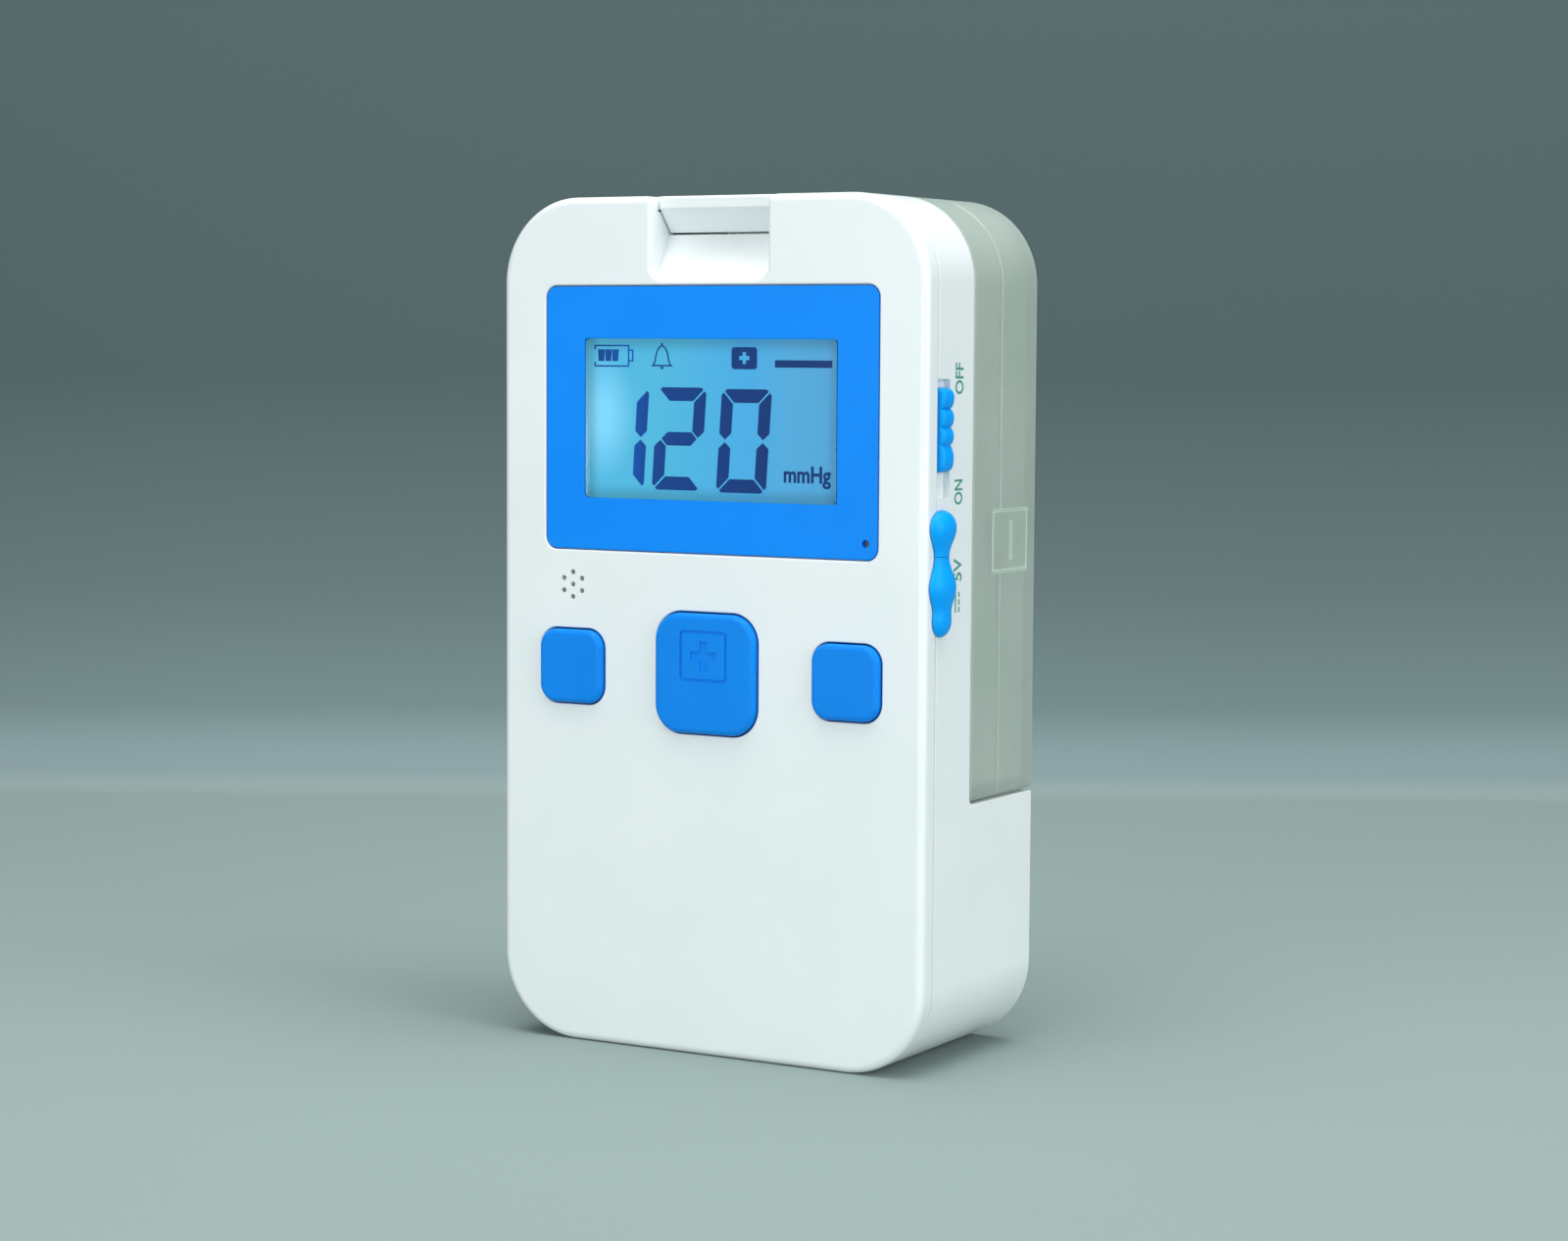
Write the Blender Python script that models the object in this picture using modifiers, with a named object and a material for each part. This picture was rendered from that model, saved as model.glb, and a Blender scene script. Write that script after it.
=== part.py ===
"""Negative pressure wound therapy pump: a hand-held case, the works inside it and its canister.

Metres, +Z up. The front with its display faces -Y, and the switch side is +X.
The origin is the middle of the flat base, halfway from the front face to the canister's back.
"""
import math

import bmesh
import bpy
from mathutils import Matrix, Vector

# Case: its outer sizes follow from what it holds, and are worked out below
CORNER_RADIUS = 0.0130
WALL = 0.0020
FRONT_WALL = 0.0022
COVER_DEPTH = 0.0034
FRONT_FILLET = 0.0012
BACK_FILLET = 0.0008
LEDGE_FILLET = 0.0013
BAY_FILLET = 0.0010

# Fits
CLEARANCE = 0.0003
SEAM = 0.0002
SLIDE_GAP = 0.00015
OVERRUN = 0.0010
TOUCH = 0.000005

# Display
DISPLAY_TOP_MARGIN = 0.0135
DISPLAY_SIDE_MARGIN = 0.0080
BEZEL_SIDE_BAND = 0.0069
BEZEL_TOP_BAND = 0.0079
DISPLAY_CORNER = 0.0018
BEZEL_THICKNESS = 0.0010
BEZEL_INSET = 0.0001
WINDOW_WIDTH = 0.0442
WINDOW_HEIGHT = 0.0243
WINDOW_CORNER = 0.0005
LENS_INSET = 0.0001
LCD_MARGIN = 0.0026
LCD_THICKNESS = 0.0018
BACKLIGHT_THICKNESS = 0.0026

# Indicator in the bezel's lower right corner
INDICATOR_INSET = 0.0020
INDICATOR_RAISE = 0.0024
INDICATOR_RADIUS = 0.0006
LED_SIZE = 0.0016
LED_HEIGHT = 0.0011

# Buttons
BUTTON_ROW_DROP = 0.0181
BUTTON_ROW_RISE = 0.0189
SIDE_BUTTON_INSET = 0.0049
SIDE_BUTTON_SIZE = 0.0113
SIDE_BUTTON_CORNER = 0.0028
PUMP_BUTTON_WIDTH = 0.0175
PUMP_BUTTON_HEIGHT = 0.0182
PUMP_BUTTON_CORNER = 0.0043
BUTTON_PROUD = 0.0010
BUTTON_EDGE = 0.0007
BUTTON_GAP = 0.00025
BUTTON_LIP = 0.0008
BUTTON_LIP_THICKNESS = 0.0008
BUTTON_TRAVEL = 0.0005
SWITCH_SIZE = 0.0060
SWITCH_FLOOR = 0.0004
PLUNGER_RADIUS = 0.0016
PLUNGER_LENGTH = 0.0014

# Sound holes and buzzer
SOUND_DROP = 0.0055
SOUND_RING_RADIUS = 0.0019
SOUND_HOLE_RADIUS = 0.0004
SOUND_HOLES_ROUND = 6
BUZZER_RADIUS = 0.0045
BUZZER_HEIGHT = 0.0030

# Main board
BOARD_SIDE_MARGIN = 0.0070
BOARD_THICKNESS = 0.0012
BOARD_TOP_MARGIN = 0.0160
BOARD_BOTTOM_RISE = 0.0066
BOARD_NOTCH_MARGIN = 0.0010
STANDOFF_RADIUS = 0.0015
STANDOFF_X = 0.0260
STANDOFF_INSET = 0.0080

# Finger recess and release latch
RECESS_WIDTH = 0.0204
RECESS_DROP = 0.0125
RECESS_CORNER = 0.0020
RECESS_FLARE = 0.0015
RECESS_FLARE_REACH = 0.0040
SCOOP_DEPTH = 0.0054
SCOOP_HOLLOW = 0.0007
SCOOP_WALL = 0.0012
LIP_DROP = 0.0054
LIP_FLAT = 0.0012
LATCH_GAP = 0.0003
NOSE_DEPTH = 0.0022
NOSE_HEIGHT = 0.0018
NOSE_EDGE = 0.0004
LATCH_PLATE = 0.0024
LATCH_TAIL_INSET = 0.0003
LATCH_PIN_RADIUS = 0.0006
LATCH_PIN_SET_IN = 0.0016
LATCH_PIN_DROP = 0.0030
LATCH_BARREL_RADIUS = 0.0013
LATCH_RUNNING = 0.0001
TONGUE_WIDTH = 0.0100
TONGUE_THICKNESS = 0.0012
TONGUE_REACH = 0.0016
TONGUE_SWING = 0.0015
EAR_THICKNESS = 0.0016
EAR_DEPTH = 0.0032
EAR_DROP = 0.0024

# Slide switch on the right side
SLOT_TOP_DROP = 0.0271
SLOT_LENGTH = 0.0174
SLOT_WIDTH = 0.0037
SLOT_RECESS = 0.0010
KNOB_LENGTH = 0.01235
KNOB_PROUD = 0.0010
KNOB_TOP_GAP = 0.0012
KNOB_SCALLOP = 0.0004
KNOB_VALLEY_SHARES = (0.0, 0.25, 0.47, 0.68, 1.0)
KNOB_EDGE = 0.0004
NECK_LENGTH = 0.0032
NECK_WIDTH = 0.0020
NECK_REACH = 0.0026
LEVER_SIZE = 0.0008
LEVER_LENGTH = 0.0060
SWITCH_BODY_LENGTH = 0.0150
SWITCH_BODY_WIDTH = 0.0060
SWITCH_BODY_HEIGHT = 0.0030

# Charging port and its rubber cover
PORT_DROP = 0.0130
PORT_HOLE_RADIUS = 0.0021
JACK_WIDTH = 0.0042
JACK_HEIGHT = 0.0060
JACK_LENGTH = 0.0104
JACK_BORE_RADIUS = 0.00165
JACK_BORE_DEPTH = 0.0080
COVER_HEAD_RISE = 0.0088
COVER_TOP_RISE = 0.0114
COVER_NECK_RISE = 0.0046
COVER_TAIL_FALL = 0.0072
COVER_HEAD_WIDTH = 0.0068
COVER_NECK_WIDTH = 0.0039
COVER_LOBE_WIDTH = 0.0070
COVER_WAIST_WIDTH = 0.0046
COVER_TAIL_WIDTH = 0.0049
COVER_HEAD_PROUD = 0.0019
COVER_NECK_PROUD = 0.0010
COVER_LOBE_PROUD = 0.0019
COVER_TAIL_PROUD = 0.0014
COVER_PLUG_RADIUS = 0.0015
COVER_PLUG_LENGTH = 0.0016
COVER_STEM_RADIUS = 0.0012
HINGE_SLIT = 0.0003

# Screws that hold the case together, and their posts
SCREW_INSET = 0.0060
SCREW_TOP_DROP = 0.0120
SCREW_LEDGE_DROP = 0.0079
POST_RADIUS = 0.0027
POST_MEETING_DEPTH = 0.0076
SCREW_SEAT_INSET = 0.0016
SCREW_HEAD_RADIUS = 0.0017
SCREW_HEAD_HEIGHT = 0.0011
SCREW_SHAFT_RADIUS = 0.0009
SCREW_SHAFT_LENGTH = 0.0088

# Battery
CELL_RADIUS = 0.0091
CELL_LENGTH = 0.0498
CRADLE_THICKNESS = 0.0016
CRADLE_SPACING = 0.0300
CRADLE_HEIGHT = 0.0075
CRADLE_DEPTH = 0.0090

# Vacuum pump: motor
MOTOR_WIDTH = 0.0180
MOTOR_HEIGHT = 0.0132
MOTOR_LENGTH = 0.0240
MOTOR_WALL = 0.0010
MOTOR_RIGHT = 0.0150
END_CAP_THICKNESS = 0.0018
ARMATURE_RADIUS = 0.0052
ARMATURE_LENGTH = 0.0160
SHAFT_RADIUS = 0.0010
SHAFT_GAP = 0.0001
SHAFT_HOLE_RADIUS = 0.0016
SLEEVE_WALL = 0.0009
SLEEVE_LENGTH = 0.0160
SHELF_THICKNESS = 0.0016
SHELF_REACH = 0.0040
SHELF_SPACING = 0.0100

# Vacuum pump: crank and head
PUMP_LIFT = 0.0010
CRANK_REACH = 0.0091
CRANKCASE_LENGTH = 0.0140
CRANKCASE_HEIGHT = 0.0144
CRANKCASE_WALL = 0.0015
CRANKCASE_FRONT_DEPTH = 0.0150
CRANKCASE_EDGE = 0.0015
CRANK_THROW = 0.0006
HUB_RADIUS = 0.0034
HUB_LENGTH = 0.0040
HUB_FLOOR = 0.0010
CRANK_PIN_RADIUS = 0.0011
CRANK_PIN_LENGTH = 0.0034
ROD_EYE_WALL = 0.0013
ROD_THICKNESS = 0.0024
ROD_ARM_WIDTH = 0.0022
ROD_FOOT_WIDTH = 0.0056
ROD_FOOT_THICKNESS = 0.0012
DIAPHRAGM_THICKNESS = 0.0014
DIAPHRAGM_GROOVE = 0.0006
VALVE_PLATE_THICKNESS = 0.0016
VALVE_SHEET_THICKNESS = 0.0005
HEAD_THICKNESS = 0.0034
VALVE_HOLE_RADIUS = 0.0010
PORT_PITCH = 0.0074
NIPPLE_RADIUS = 0.0012
NIPPLE_LENGTH = 0.0030
PUMP_SCREW_RADIUS = 0.0006
PUMP_SCREW_HEAD_RADIUS = 0.0011
PUMP_SCREW_HEAD_HEIGHT = 0.0007
PUMP_SCREW_INSET = 0.0017

# Tubes, sensor and manifold, in the room behind the board
LINE_ROOM = 0.0053
TUBE_RADIUS = 0.0016
MANIFOLD_X = -0.0200
MANIFOLD_DROP = 0.0180
MANIFOLD_SIZE = 0.0080
MANIFOLD_THICKNESS = 0.0034
SPIGOT_RADIUS = 0.0025
SPIGOT_REACH = 0.0016
SPIGOT_BORE = 0.0011
SEAL_WALL = 0.0007
SEAL_GAP = 0.0002
SENSOR_SIZE = 0.0070
SENSOR_THICKNESS = 0.0034
SENSOR_NIPPLE_RADIUS = 0.0009
SENSOR_NIPPLE_LENGTH = 0.0013
SENSOR_LOWER = 0.0025
SILENCER_RADIUS = 0.0023
SILENCER_LENGTH = 0.0120
SILENCER_RISE = 0.0037
WIRE_RADIUS = 0.0006
LEAD_BEND = 0.0020
LEAD_LANDING_INSET = 0.0100
LEAD_LANDING_PITCH = 0.0060

# Canister
CANISTER_WALL = 0.0020
CANISTER_BACK_WALL = 0.0029
CANISTER_FRONT_ROOM = 0.0093
CANISTER_FOOT_RADIUS = 0.0010
CANISTER_EDGE = 0.0007
CLIP_TOP_DROP = 0.0470
CLIP_HEIGHT = 0.0090
CLIP_LENGTH = 0.0113
CLIP_BACK_INSET = 0.0034
CLIP_THICKNESS = 0.0008
CATCH_INSET = 0.0053
CATCH_WIDTH = 0.0007
CATCH_HEIGHT = 0.0058
CATCH_CUT = 0.0004
SOCKET_RADIUS = 0.0042
FILTER_RADIUS = 0.0056
FILTER_THICKNESS = 0.0018
FILTER_RING_WALL = 0.0010
CONNECTOR_DROP = 0.0300
CONNECTOR_BORE = 0.0011
CONNECTOR_STEM = 0.0018
CONNECTOR_FLANGE = 0.0034
CONNECTOR_FLANGE_THICKNESS = 0.0012
CONNECTOR_BARB = 0.0024
CONNECTOR_TIP = 0.0018
CONNECTOR_LENGTH = 0.0090

# Roundness of the faceted shapes
CORNER_STEPS = 7
FILLET_STEPS = 2
SMALL_ROUND = 12
ROUND = 20
COVER_RINGS = 9
COVER_ARC = 6

# Outer sizes of the whole object, canister included
DISPLAY_WIDTH = WINDOW_WIDTH + 2 * BEZEL_SIDE_BAND
DISPLAY_HEIGHT = WINDOW_HEIGHT + 2 * BEZEL_TOP_BAND
WIDTH = DISPLAY_WIDTH + 2 * DISPLAY_SIDE_MARGIN
CELL_Z = WALL + CLEARANCE + CELL_RADIUS
MOTOR_Z = CELL_Z + CELL_RADIUS + PUMP_LIFT + SLEEVE_WALL + CLEARANCE + MOTOR_HEIGHT / 2
LEDGE_HEIGHT = MOTOR_Z + MOTOR_HEIGHT / 2 + CLEARANCE + SLEEVE_WALL + CLEARANCE + WALL
BUTTON_ROW = LEDGE_HEIGHT + BUTTON_ROW_RISE
DISPLAY_BOTTOM = BUTTON_ROW + BUTTON_ROW_DROP
DISPLAY_TOP = DISPLAY_BOTTOM + DISPLAY_HEIGHT
HEIGHT = DISPLAY_TOP + DISPLAY_TOP_MARGIN
MOTOR_DEPTH = CRANKCASE_FRONT_DEPTH + CRANK_REACH
DEPTH = MOTOR_DEPTH + MOTOR_WIDTH / 2 + CLEARANCE + SLEEVE_WALL + CLEARANCE + WALL

# Places that several pieces share
FRONT = -DEPTH / 2
SIDE = WIDTH / 2
DISPLAY_MIDDLE = (DISPLAY_TOP + DISPLAY_BOTTOM) / 2
SIDE_BUTTON_X = DISPLAY_WIDTH / 2 - SIDE_BUTTON_INSET
SOUND_X = -SIDE_BUTTON_X
SOUND_HEIGHT = DISPLAY_BOTTOM - SOUND_DROP
POCKET_DEPTH = BEZEL_INSET + BEZEL_THICKNESS + SEAM
LCD_FRONT = POCKET_DEPTH + TOUCH
LCD_WIDTH = WINDOW_WIDTH + 2 * LCD_MARGIN
LCD_HEIGHT = WINDOW_HEIGHT + 2 * LCD_MARGIN
BACKLIGHT_FRONT = LCD_FRONT + LCD_THICKNESS + CLEARANCE
BOARD_FRONT = BACKLIGHT_FRONT + BACKLIGHT_THICKNESS + CLEARANCE
BOARD_BACK = BOARD_FRONT + BOARD_THICKNESS
BOARD_WIDTH = WIDTH - 2 * BOARD_SIDE_MARGIN
UPPER_DEPTH = BOARD_BACK + LINE_ROOM + WALL
BOARD_TOP = HEIGHT - BOARD_TOP_MARGIN
BOARD_BOTTOM = LEDGE_HEIGHT + BOARD_BOTTOM_RISE
HOUSING_FRONT = COVER_DEPTH + SEAM
UPPER_INNER = UPPER_DEPTH - WALL
BASE_INNER = DEPTH - WALL
SCREW_X = SIDE - SCREW_INSET
SCREW_SEAT_DEPTH = UPPER_DEPTH - SCREW_SEAT_INSET
CANISTER_FRONT = UPPER_DEPTH + CLEARANCE
CANISTER_SPLIT_DEPTH = UPPER_DEPTH + CANISTER_FRONT_ROOM
CLIP_TOP_HEIGHT = HEIGHT - CLIP_TOP_DROP
CLIP_BACK_DEPTH = DEPTH - CLIP_BACK_INSET
CLIP_FRONT_DEPTH = CLIP_BACK_DEPTH - CLIP_LENGTH
CATCH_DEPTH = CLIP_BACK_DEPTH - CATCH_INSET
CONNECTOR_DEPTH = (CANISTER_SPLIT_DEPTH + DEPTH) / 2
CANISTER_BOTTOM = LEDGE_HEIGHT + CLEARANCE
RECESS_FLOOR = HEIGHT - RECESS_DROP
LIP_HEIGHT = HEIGHT - LIP_DROP
LATCH_PIN_DEPTH = UPPER_INNER - LATCH_PIN_SET_IN
LATCH_PIN_HEIGHT = HEIGHT - LATCH_PIN_DROP
SLOT_TOP = HEIGHT - SLOT_TOP_DROP
SLOT_BOTTOM = SLOT_TOP - SLOT_LENGTH
PORT_HEIGHT = SLOT_BOTTOM - PORT_DROP
PORT_DEPTH = FRONT_WALL + SEAM + JACK_WIDTH / 2
KNOB_TOP = SLOT_TOP - KNOB_TOP_GAP
KNOB_BOTTOM = KNOB_TOP - KNOB_LENGTH
KNOB_TRAVEL = KNOB_BOTTOM - SLOT_BOTTOM - SLIDE_GAP
KNOB_DEPTH = HOUSING_FRONT + SLOT_WIDTH / 2
KNOB_MIDDLE = (KNOB_TOP + KNOB_BOTTOM) / 2
COVER_HINGE_HEIGHT = PORT_HEIGHT + COVER_NECK_RISE
COVER_HINGE_X = SIDE + SLIDE_GAP + COVER_NECK_PROUD
MOTOR_LEFT = MOTOR_RIGHT - MOTOR_LENGTH
CRANKCASE_RIGHT = MOTOR_LEFT - CLEARANCE
CRANKCASE_LEFT = CRANKCASE_RIGHT - CRANKCASE_LENGTH
CRANKCASE_X = (CRANKCASE_LEFT + CRANKCASE_RIGHT) / 2
CRANKCASE_BOTTOM = MOTOR_Z - CRANKCASE_HEIGHT / 2
CRANKCASE_TOP = MOTOR_Z + CRANKCASE_HEIGHT / 2
DIAPHRAGM_FRONT = CRANKCASE_FRONT_DEPTH - CLEARANCE - DIAPHRAGM_THICKNESS
VALVE_PLATE_FRONT = DIAPHRAGM_FRONT - CLEARANCE - VALVE_PLATE_THICKNESS
VALVE_SHEET_FRONT = VALVE_PLATE_FRONT - CLEARANCE - VALVE_SHEET_THICKNESS
HEAD_BACK = VALVE_SHEET_FRONT - CLEARANCE
HEAD_FRONT = HEAD_BACK - HEAD_THICKNESS
NIPPLE_DEPTH = (HEAD_FRONT + HEAD_BACK) / 2
NIPPLE_TOP = CRANKCASE_TOP + NIPPLE_LENGTH
HUB_RIGHT = CRANKCASE_RIGHT - CRANKCASE_WALL - CLEARANCE
HUB_LEFT = HUB_RIGHT - HUB_LENGTH
MANIFOLD_Z = HEIGHT - MANIFOLD_DROP
MANIFOLD_BACK = UPPER_INNER - CLEARANCE
MANIFOLD_FRONT = MANIFOLD_BACK - MANIFOLD_THICKNESS
MANIFOLD_BOTTOM = MANIFOLD_Z - MANIFOLD_SIZE / 2
TUBE_DEPTH = UPPER_INNER - CLEARANCE - TUBE_RADIUS
CELL_DEPTH = BASE_INNER - CLEARANCE - CELL_RADIUS
CONNECTOR_Z = HEIGHT - CONNECTOR_DROP
CANISTER_INNER_BACK = DEPTH - CANISTER_BACK_WALL

X, Y, Z = range(3)


def clear_scene():
    for obj in list(bpy.data.objects):
        bpy.data.objects.remove(obj, do_unlink=True)


def new_collection(name):
    collection = bpy.data.collections.new(name)
    bpy.context.scene.collection.children.link(collection)
    return collection


def plastic(name, color, roughness, metallic=0.0, alpha=1.0):
    """A Principled material with the piece's own colour, roughness and metallic value."""
    material = bpy.data.materials.new(name)
    material.use_nodes = True
    shader = material.node_tree.nodes["Principled BSDF"]
    shader.inputs["Base Color"].default_value = (*color, 1.0)
    shader.inputs["Roughness"].default_value = roughness
    shader.inputs["Metallic"].default_value = metallic
    shader.inputs["Alpha"].default_value = alpha
    material.diffuse_color = (*color, alpha)
    return material


def y_at(depth):
    """The Y of a plane at some depth behind the front face."""
    return FRONT + depth


def box(low, high):
    """A box between two corners, each given as x, depth behind the front face, z."""
    shape = bmesh.new()
    bmesh.ops.create_cube(shape, size=1.0)
    start = Vector((low[X], y_at(low[Y]), low[Z]))
    end = Vector((high[X], y_at(high[Y]), high[Z]))
    bmesh.ops.scale(shape, vec=end - start, verts=shape.verts)
    bmesh.ops.translate(shape, vec=(start + end) / 2, verts=shape.verts)
    return shape


def everywhere(middle):
    return True


def round_edges(shape, axis, radius, steps, where=everywhere):
    """Rounds the edges along one axis whose middles pass the test."""
    chosen = []
    for edge in shape.edges:
        run = edge.verts[1].co - edge.verts[0].co
        middle = (edge.verts[0].co + edge.verts[1].co) / 2
        if abs(run[axis]) > run.length - TOUCH and where(middle):
            chosen.append(edge)
    bmesh.ops.bevel(shape, geom=chosen, offset=radius, offset_type="OFFSET", segments=steps,
                    profile=0.5, affect="EDGES", clamp_overlap=True)
    return shape


def round_rim(shape, axis, side, radius, steps):
    """Rounds the rim of the flat end at the low (-1) or the high (1) side of an axis."""
    level = side * max(side * vert.co[axis] for vert in shape.verts)
    rim = [edge for edge in shape.edges
           if all(abs(vert.co[axis] - level) < TOUCH for vert in edge.verts)]
    bmesh.ops.bevel(shape, geom=rim, offset=radius, offset_type="OFFSET", segments=steps,
                    profile=0.5, affect="EDGES", clamp_overlap=True)
    return shape


def slab(low, high, corner, axis=Y, steps=CORNER_STEPS, where=everywhere):
    """A box whose edges along one axis are rounded."""
    return round_edges(box(low, high), axis, corner, steps, where)


def turn_to(axis):
    """The turn that takes +Z to an axis."""
    if axis == X:
        return Matrix.Rotation(math.radians(90), 4, "Y")
    if axis == Y:
        return Matrix.Rotation(math.radians(-90), 4, "X")
    return Matrix.Identity(4)


def rod(start, length, radius, axis, steps=SMALL_ROUND):
    """A round rod from a start point (x, depth, z) along an axis."""
    shape = bmesh.new()
    bmesh.ops.create_cone(shape, cap_ends=True, segments=steps, radius1=radius, radius2=radius,
                          depth=length)
    shape.transform(turn_to(axis))
    middle = Vector((start[X], y_at(start[Y]), start[Z]))
    middle[axis] += length / 2
    bmesh.ops.translate(shape, vec=middle, verts=shape.verts)
    return shape


def rounded_outline(corners, steps):
    """Points of an outline whose corners (a, b, radius) are rounded by arcs."""
    points = []
    count = len(corners)
    for index, (a, b, radius) in enumerate(corners):
        here = Vector((a, b))
        if radius <= 0:
            points.append(here)
            continue
        back = (Vector(corners[index - 1][:2]) - here).normalized()
        ahead = (Vector(corners[(index + 1) % count][:2]) - here).normalized()
        half = back.angle(ahead) / 2
        centre = here + (back + ahead).normalized() * radius / math.sin(half)
        start = here + back * radius / math.tan(half) - centre
        end = here + ahead * radius / math.tan(half) - centre
        sweep = start.angle_signed(end)
        for step in range(steps + 1):
            spoke = start.copy()
            spoke.rotate(Matrix.Rotation(-sweep * step / steps, 2))
            points.append(centre + spoke)
    return points


def curve_shape(curve):
    """The closed mesh of a curve, its caps welded on. The curve is removed."""
    holder = bpy.data.objects.new("outline", curve)
    bpy.context.scene.collection.objects.link(holder)
    graph = bpy.context.evaluated_depsgraph_get()
    mesh = bpy.data.meshes.new_from_object(holder.evaluated_get(graph))
    shape = bmesh.new()
    shape.from_mesh(mesh)
    bmesh.ops.remove_doubles(shape, verts=shape.verts, dist=TOUCH)
    bmesh.ops.recalc_face_normals(shape, faces=shape.faces)
    if shape.calc_volume(signed=True) < 0:
        bmesh.ops.reverse_faces(shape, faces=shape.faces)
    bpy.data.objects.remove(holder)
    bpy.data.curves.remove(curve)
    bpy.data.meshes.remove(mesh)
    return shape


def plate(outline, axis, low, high):
    """A flat outline pushed from low to high along an axis.

    The outline's pairs are (depth, z) along X, (x, z) along Y and (x, depth) along Z.
    """
    curve = bpy.data.curves.new("outline", "CURVE")
    curve.dimensions = "2D"
    curve.fill_mode = "BOTH"
    curve.extrude = (high - low) / 2
    spline = curve.splines.new("POLY")
    spline.points.add(len(outline) - 1)
    for point, (a, b) in zip(spline.points, outline):
        point.co = (a, b, 0.0, 1.0)
    spline.use_cyclic_u = True
    shape = curve_shape(curve)
    middle = (low + high) / 2
    if axis == X:
        place = Matrix(((0, 0, 1, middle), (1, 0, 0, FRONT), (0, 1, 0, 0), (0, 0, 0, 1)))
    elif axis == Y:
        place = Matrix(((1, 0, 0, 0), (0, 0, -1, y_at(middle)), (0, 1, 0, 0), (0, 0, 0, 1)))
    else:
        place = Matrix(((1, 0, 0, 0), (0, 1, 0, FRONT), (0, 0, 1, middle), (0, 0, 0, 1)))
    shape.transform(place)
    return shape


class Maker:
    """Puts finished shapes in the model, and cutting or joining shapes beside it."""

    def __init__(self):
        self.parts = new_collection("npwt_pump")
        self.cutters = new_collection("npwt_pump_cutters")

    def place(self, name, shape, origin, collection):
        """An object with its origin at (x, depth, z) from a shape made in world space."""
        point = Vector((origin[X], y_at(origin[Y]), origin[Z]))
        bmesh.ops.translate(shape, vec=-point, verts=shape.verts)
        mesh = bpy.data.meshes.new(name)
        shape.to_mesh(mesh)
        shape.free()
        mesh.shade_smooth()
        mesh.set_sharp_from_angle(angle=math.radians(35))
        obj = bpy.data.objects.new(name, mesh)
        obj.location = point
        collection.objects.link(obj)
        return obj

    def part(self, name, shape, material, origin=(0.0, DEPTH / 2, 0.0)):
        obj = self.place(name, shape, origin, self.parts)
        obj.data.materials.append(material)
        return obj

    def tool(self, name, shape):
        obj = self.place(name, shape, (0.0, DEPTH / 2, 0.0), self.cutters)
        return self.hide(obj)

    def hide(self, obj):
        obj.hide_render = True
        obj.display_type = "WIRE"
        return obj

    def cut(self, target, name, shape):
        return self.combine(target, self.tool(name, shape), "DIFFERENCE")

    def join(self, target, name, shape):
        return self.combine(target, self.tool(name, shape), "UNION")

    def keep(self, target, name, shape):
        return self.combine(target, self.tool(name, shape), "INTERSECT")

    def combine(self, target, tool, operation):
        boolean = target.modifiers.new(tool.name, "BOOLEAN")
        boolean.operation = operation
        boolean.solver = "EXACT"
        boolean.object = tool
        return tool

    def turned(self, name, profile, axis, start, material, steps=ROUND):
        """A profile of (radius, distance) pairs turned about an axis through a start point.

        The pairs run down the outer side, from the far end to the near one.
        """
        mesh = bpy.data.meshes.new(name)
        verts = [(radius, 0.0, along) for radius, along in profile]
        closed = profile[0][0] > 0
        edges = [(i, i + 1) for i in range(len(verts) - 1)]
        if closed:
            edges.append((len(verts) - 1, 0))
        mesh.from_pydata(verts, edges, [])
        obj = bpy.data.objects.new(name, mesh)
        obj.location = (start[X], y_at(start[Y]), start[Z])
        obj.rotation_euler = turn_to(axis).to_euler()
        self.parts.objects.link(obj)
        screw = obj.modifiers.new("turn", "SCREW")
        screw.axis = "Z"
        screw.steps = steps
        screw.render_steps = steps
        screw.use_merge_vertices = True
        screw.merge_threshold = TOUCH
        screw.use_smooth_shade = False
        obj.data.materials.append(material)
        return obj

    def wire(self, name, points, radius, material):
        """A bent round wire or tube through points (x, depth, z)."""
        curve = bpy.data.curves.new(name, "CURVE")
        curve.dimensions = "3D"
        curve.bevel_depth = radius
        curve.bevel_resolution = 2
        curve.use_fill_caps = True
        spline = curve.splines.new("POLY")
        spline.points.add(len(points) - 1)
        for point, place in zip(spline.points, points):
            point.co = (place[X], y_at(place[Y]), place[Z], 1.0)
        return self.part(name, curve_shape(curve), material, points[0])


def smooth_route(knots, steps):
    """Points of a smooth curve through knots (x, depth, z)."""
    places = [Vector(knot) for knot in knots]
    runs = [after - before for before, after in zip(places, places[1:])]
    ways = [runs[0]]
    for before, after in zip(runs, runs[1:]):
        way = (before.normalized() + after.normalized()).normalized()
        ways.append(way * min(before.length, after.length))
    ways.append(runs[-1])
    route = []
    for index in range(len(runs)):
        start, end = places[index], places[index + 1]
        leave, arrive = ways[index], ways[index + 1]
        for step in range(steps):
            t = step / steps
            route.append(start * (1 + 2 * t) * (1 - t) ** 2 + leave * t * (1 - t) ** 2
                         + end * t * t * (3 - 2 * t) - arrive * t * t * (1 - t))
    route.append(places[-1])
    return route


def at_bottom(middle):
    return middle[Z] < LEDGE_HEIGHT / 2


def at_canister_top(middle):
    return middle[Z] > (HEIGHT + LEDGE_HEIGHT) / 2


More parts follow.
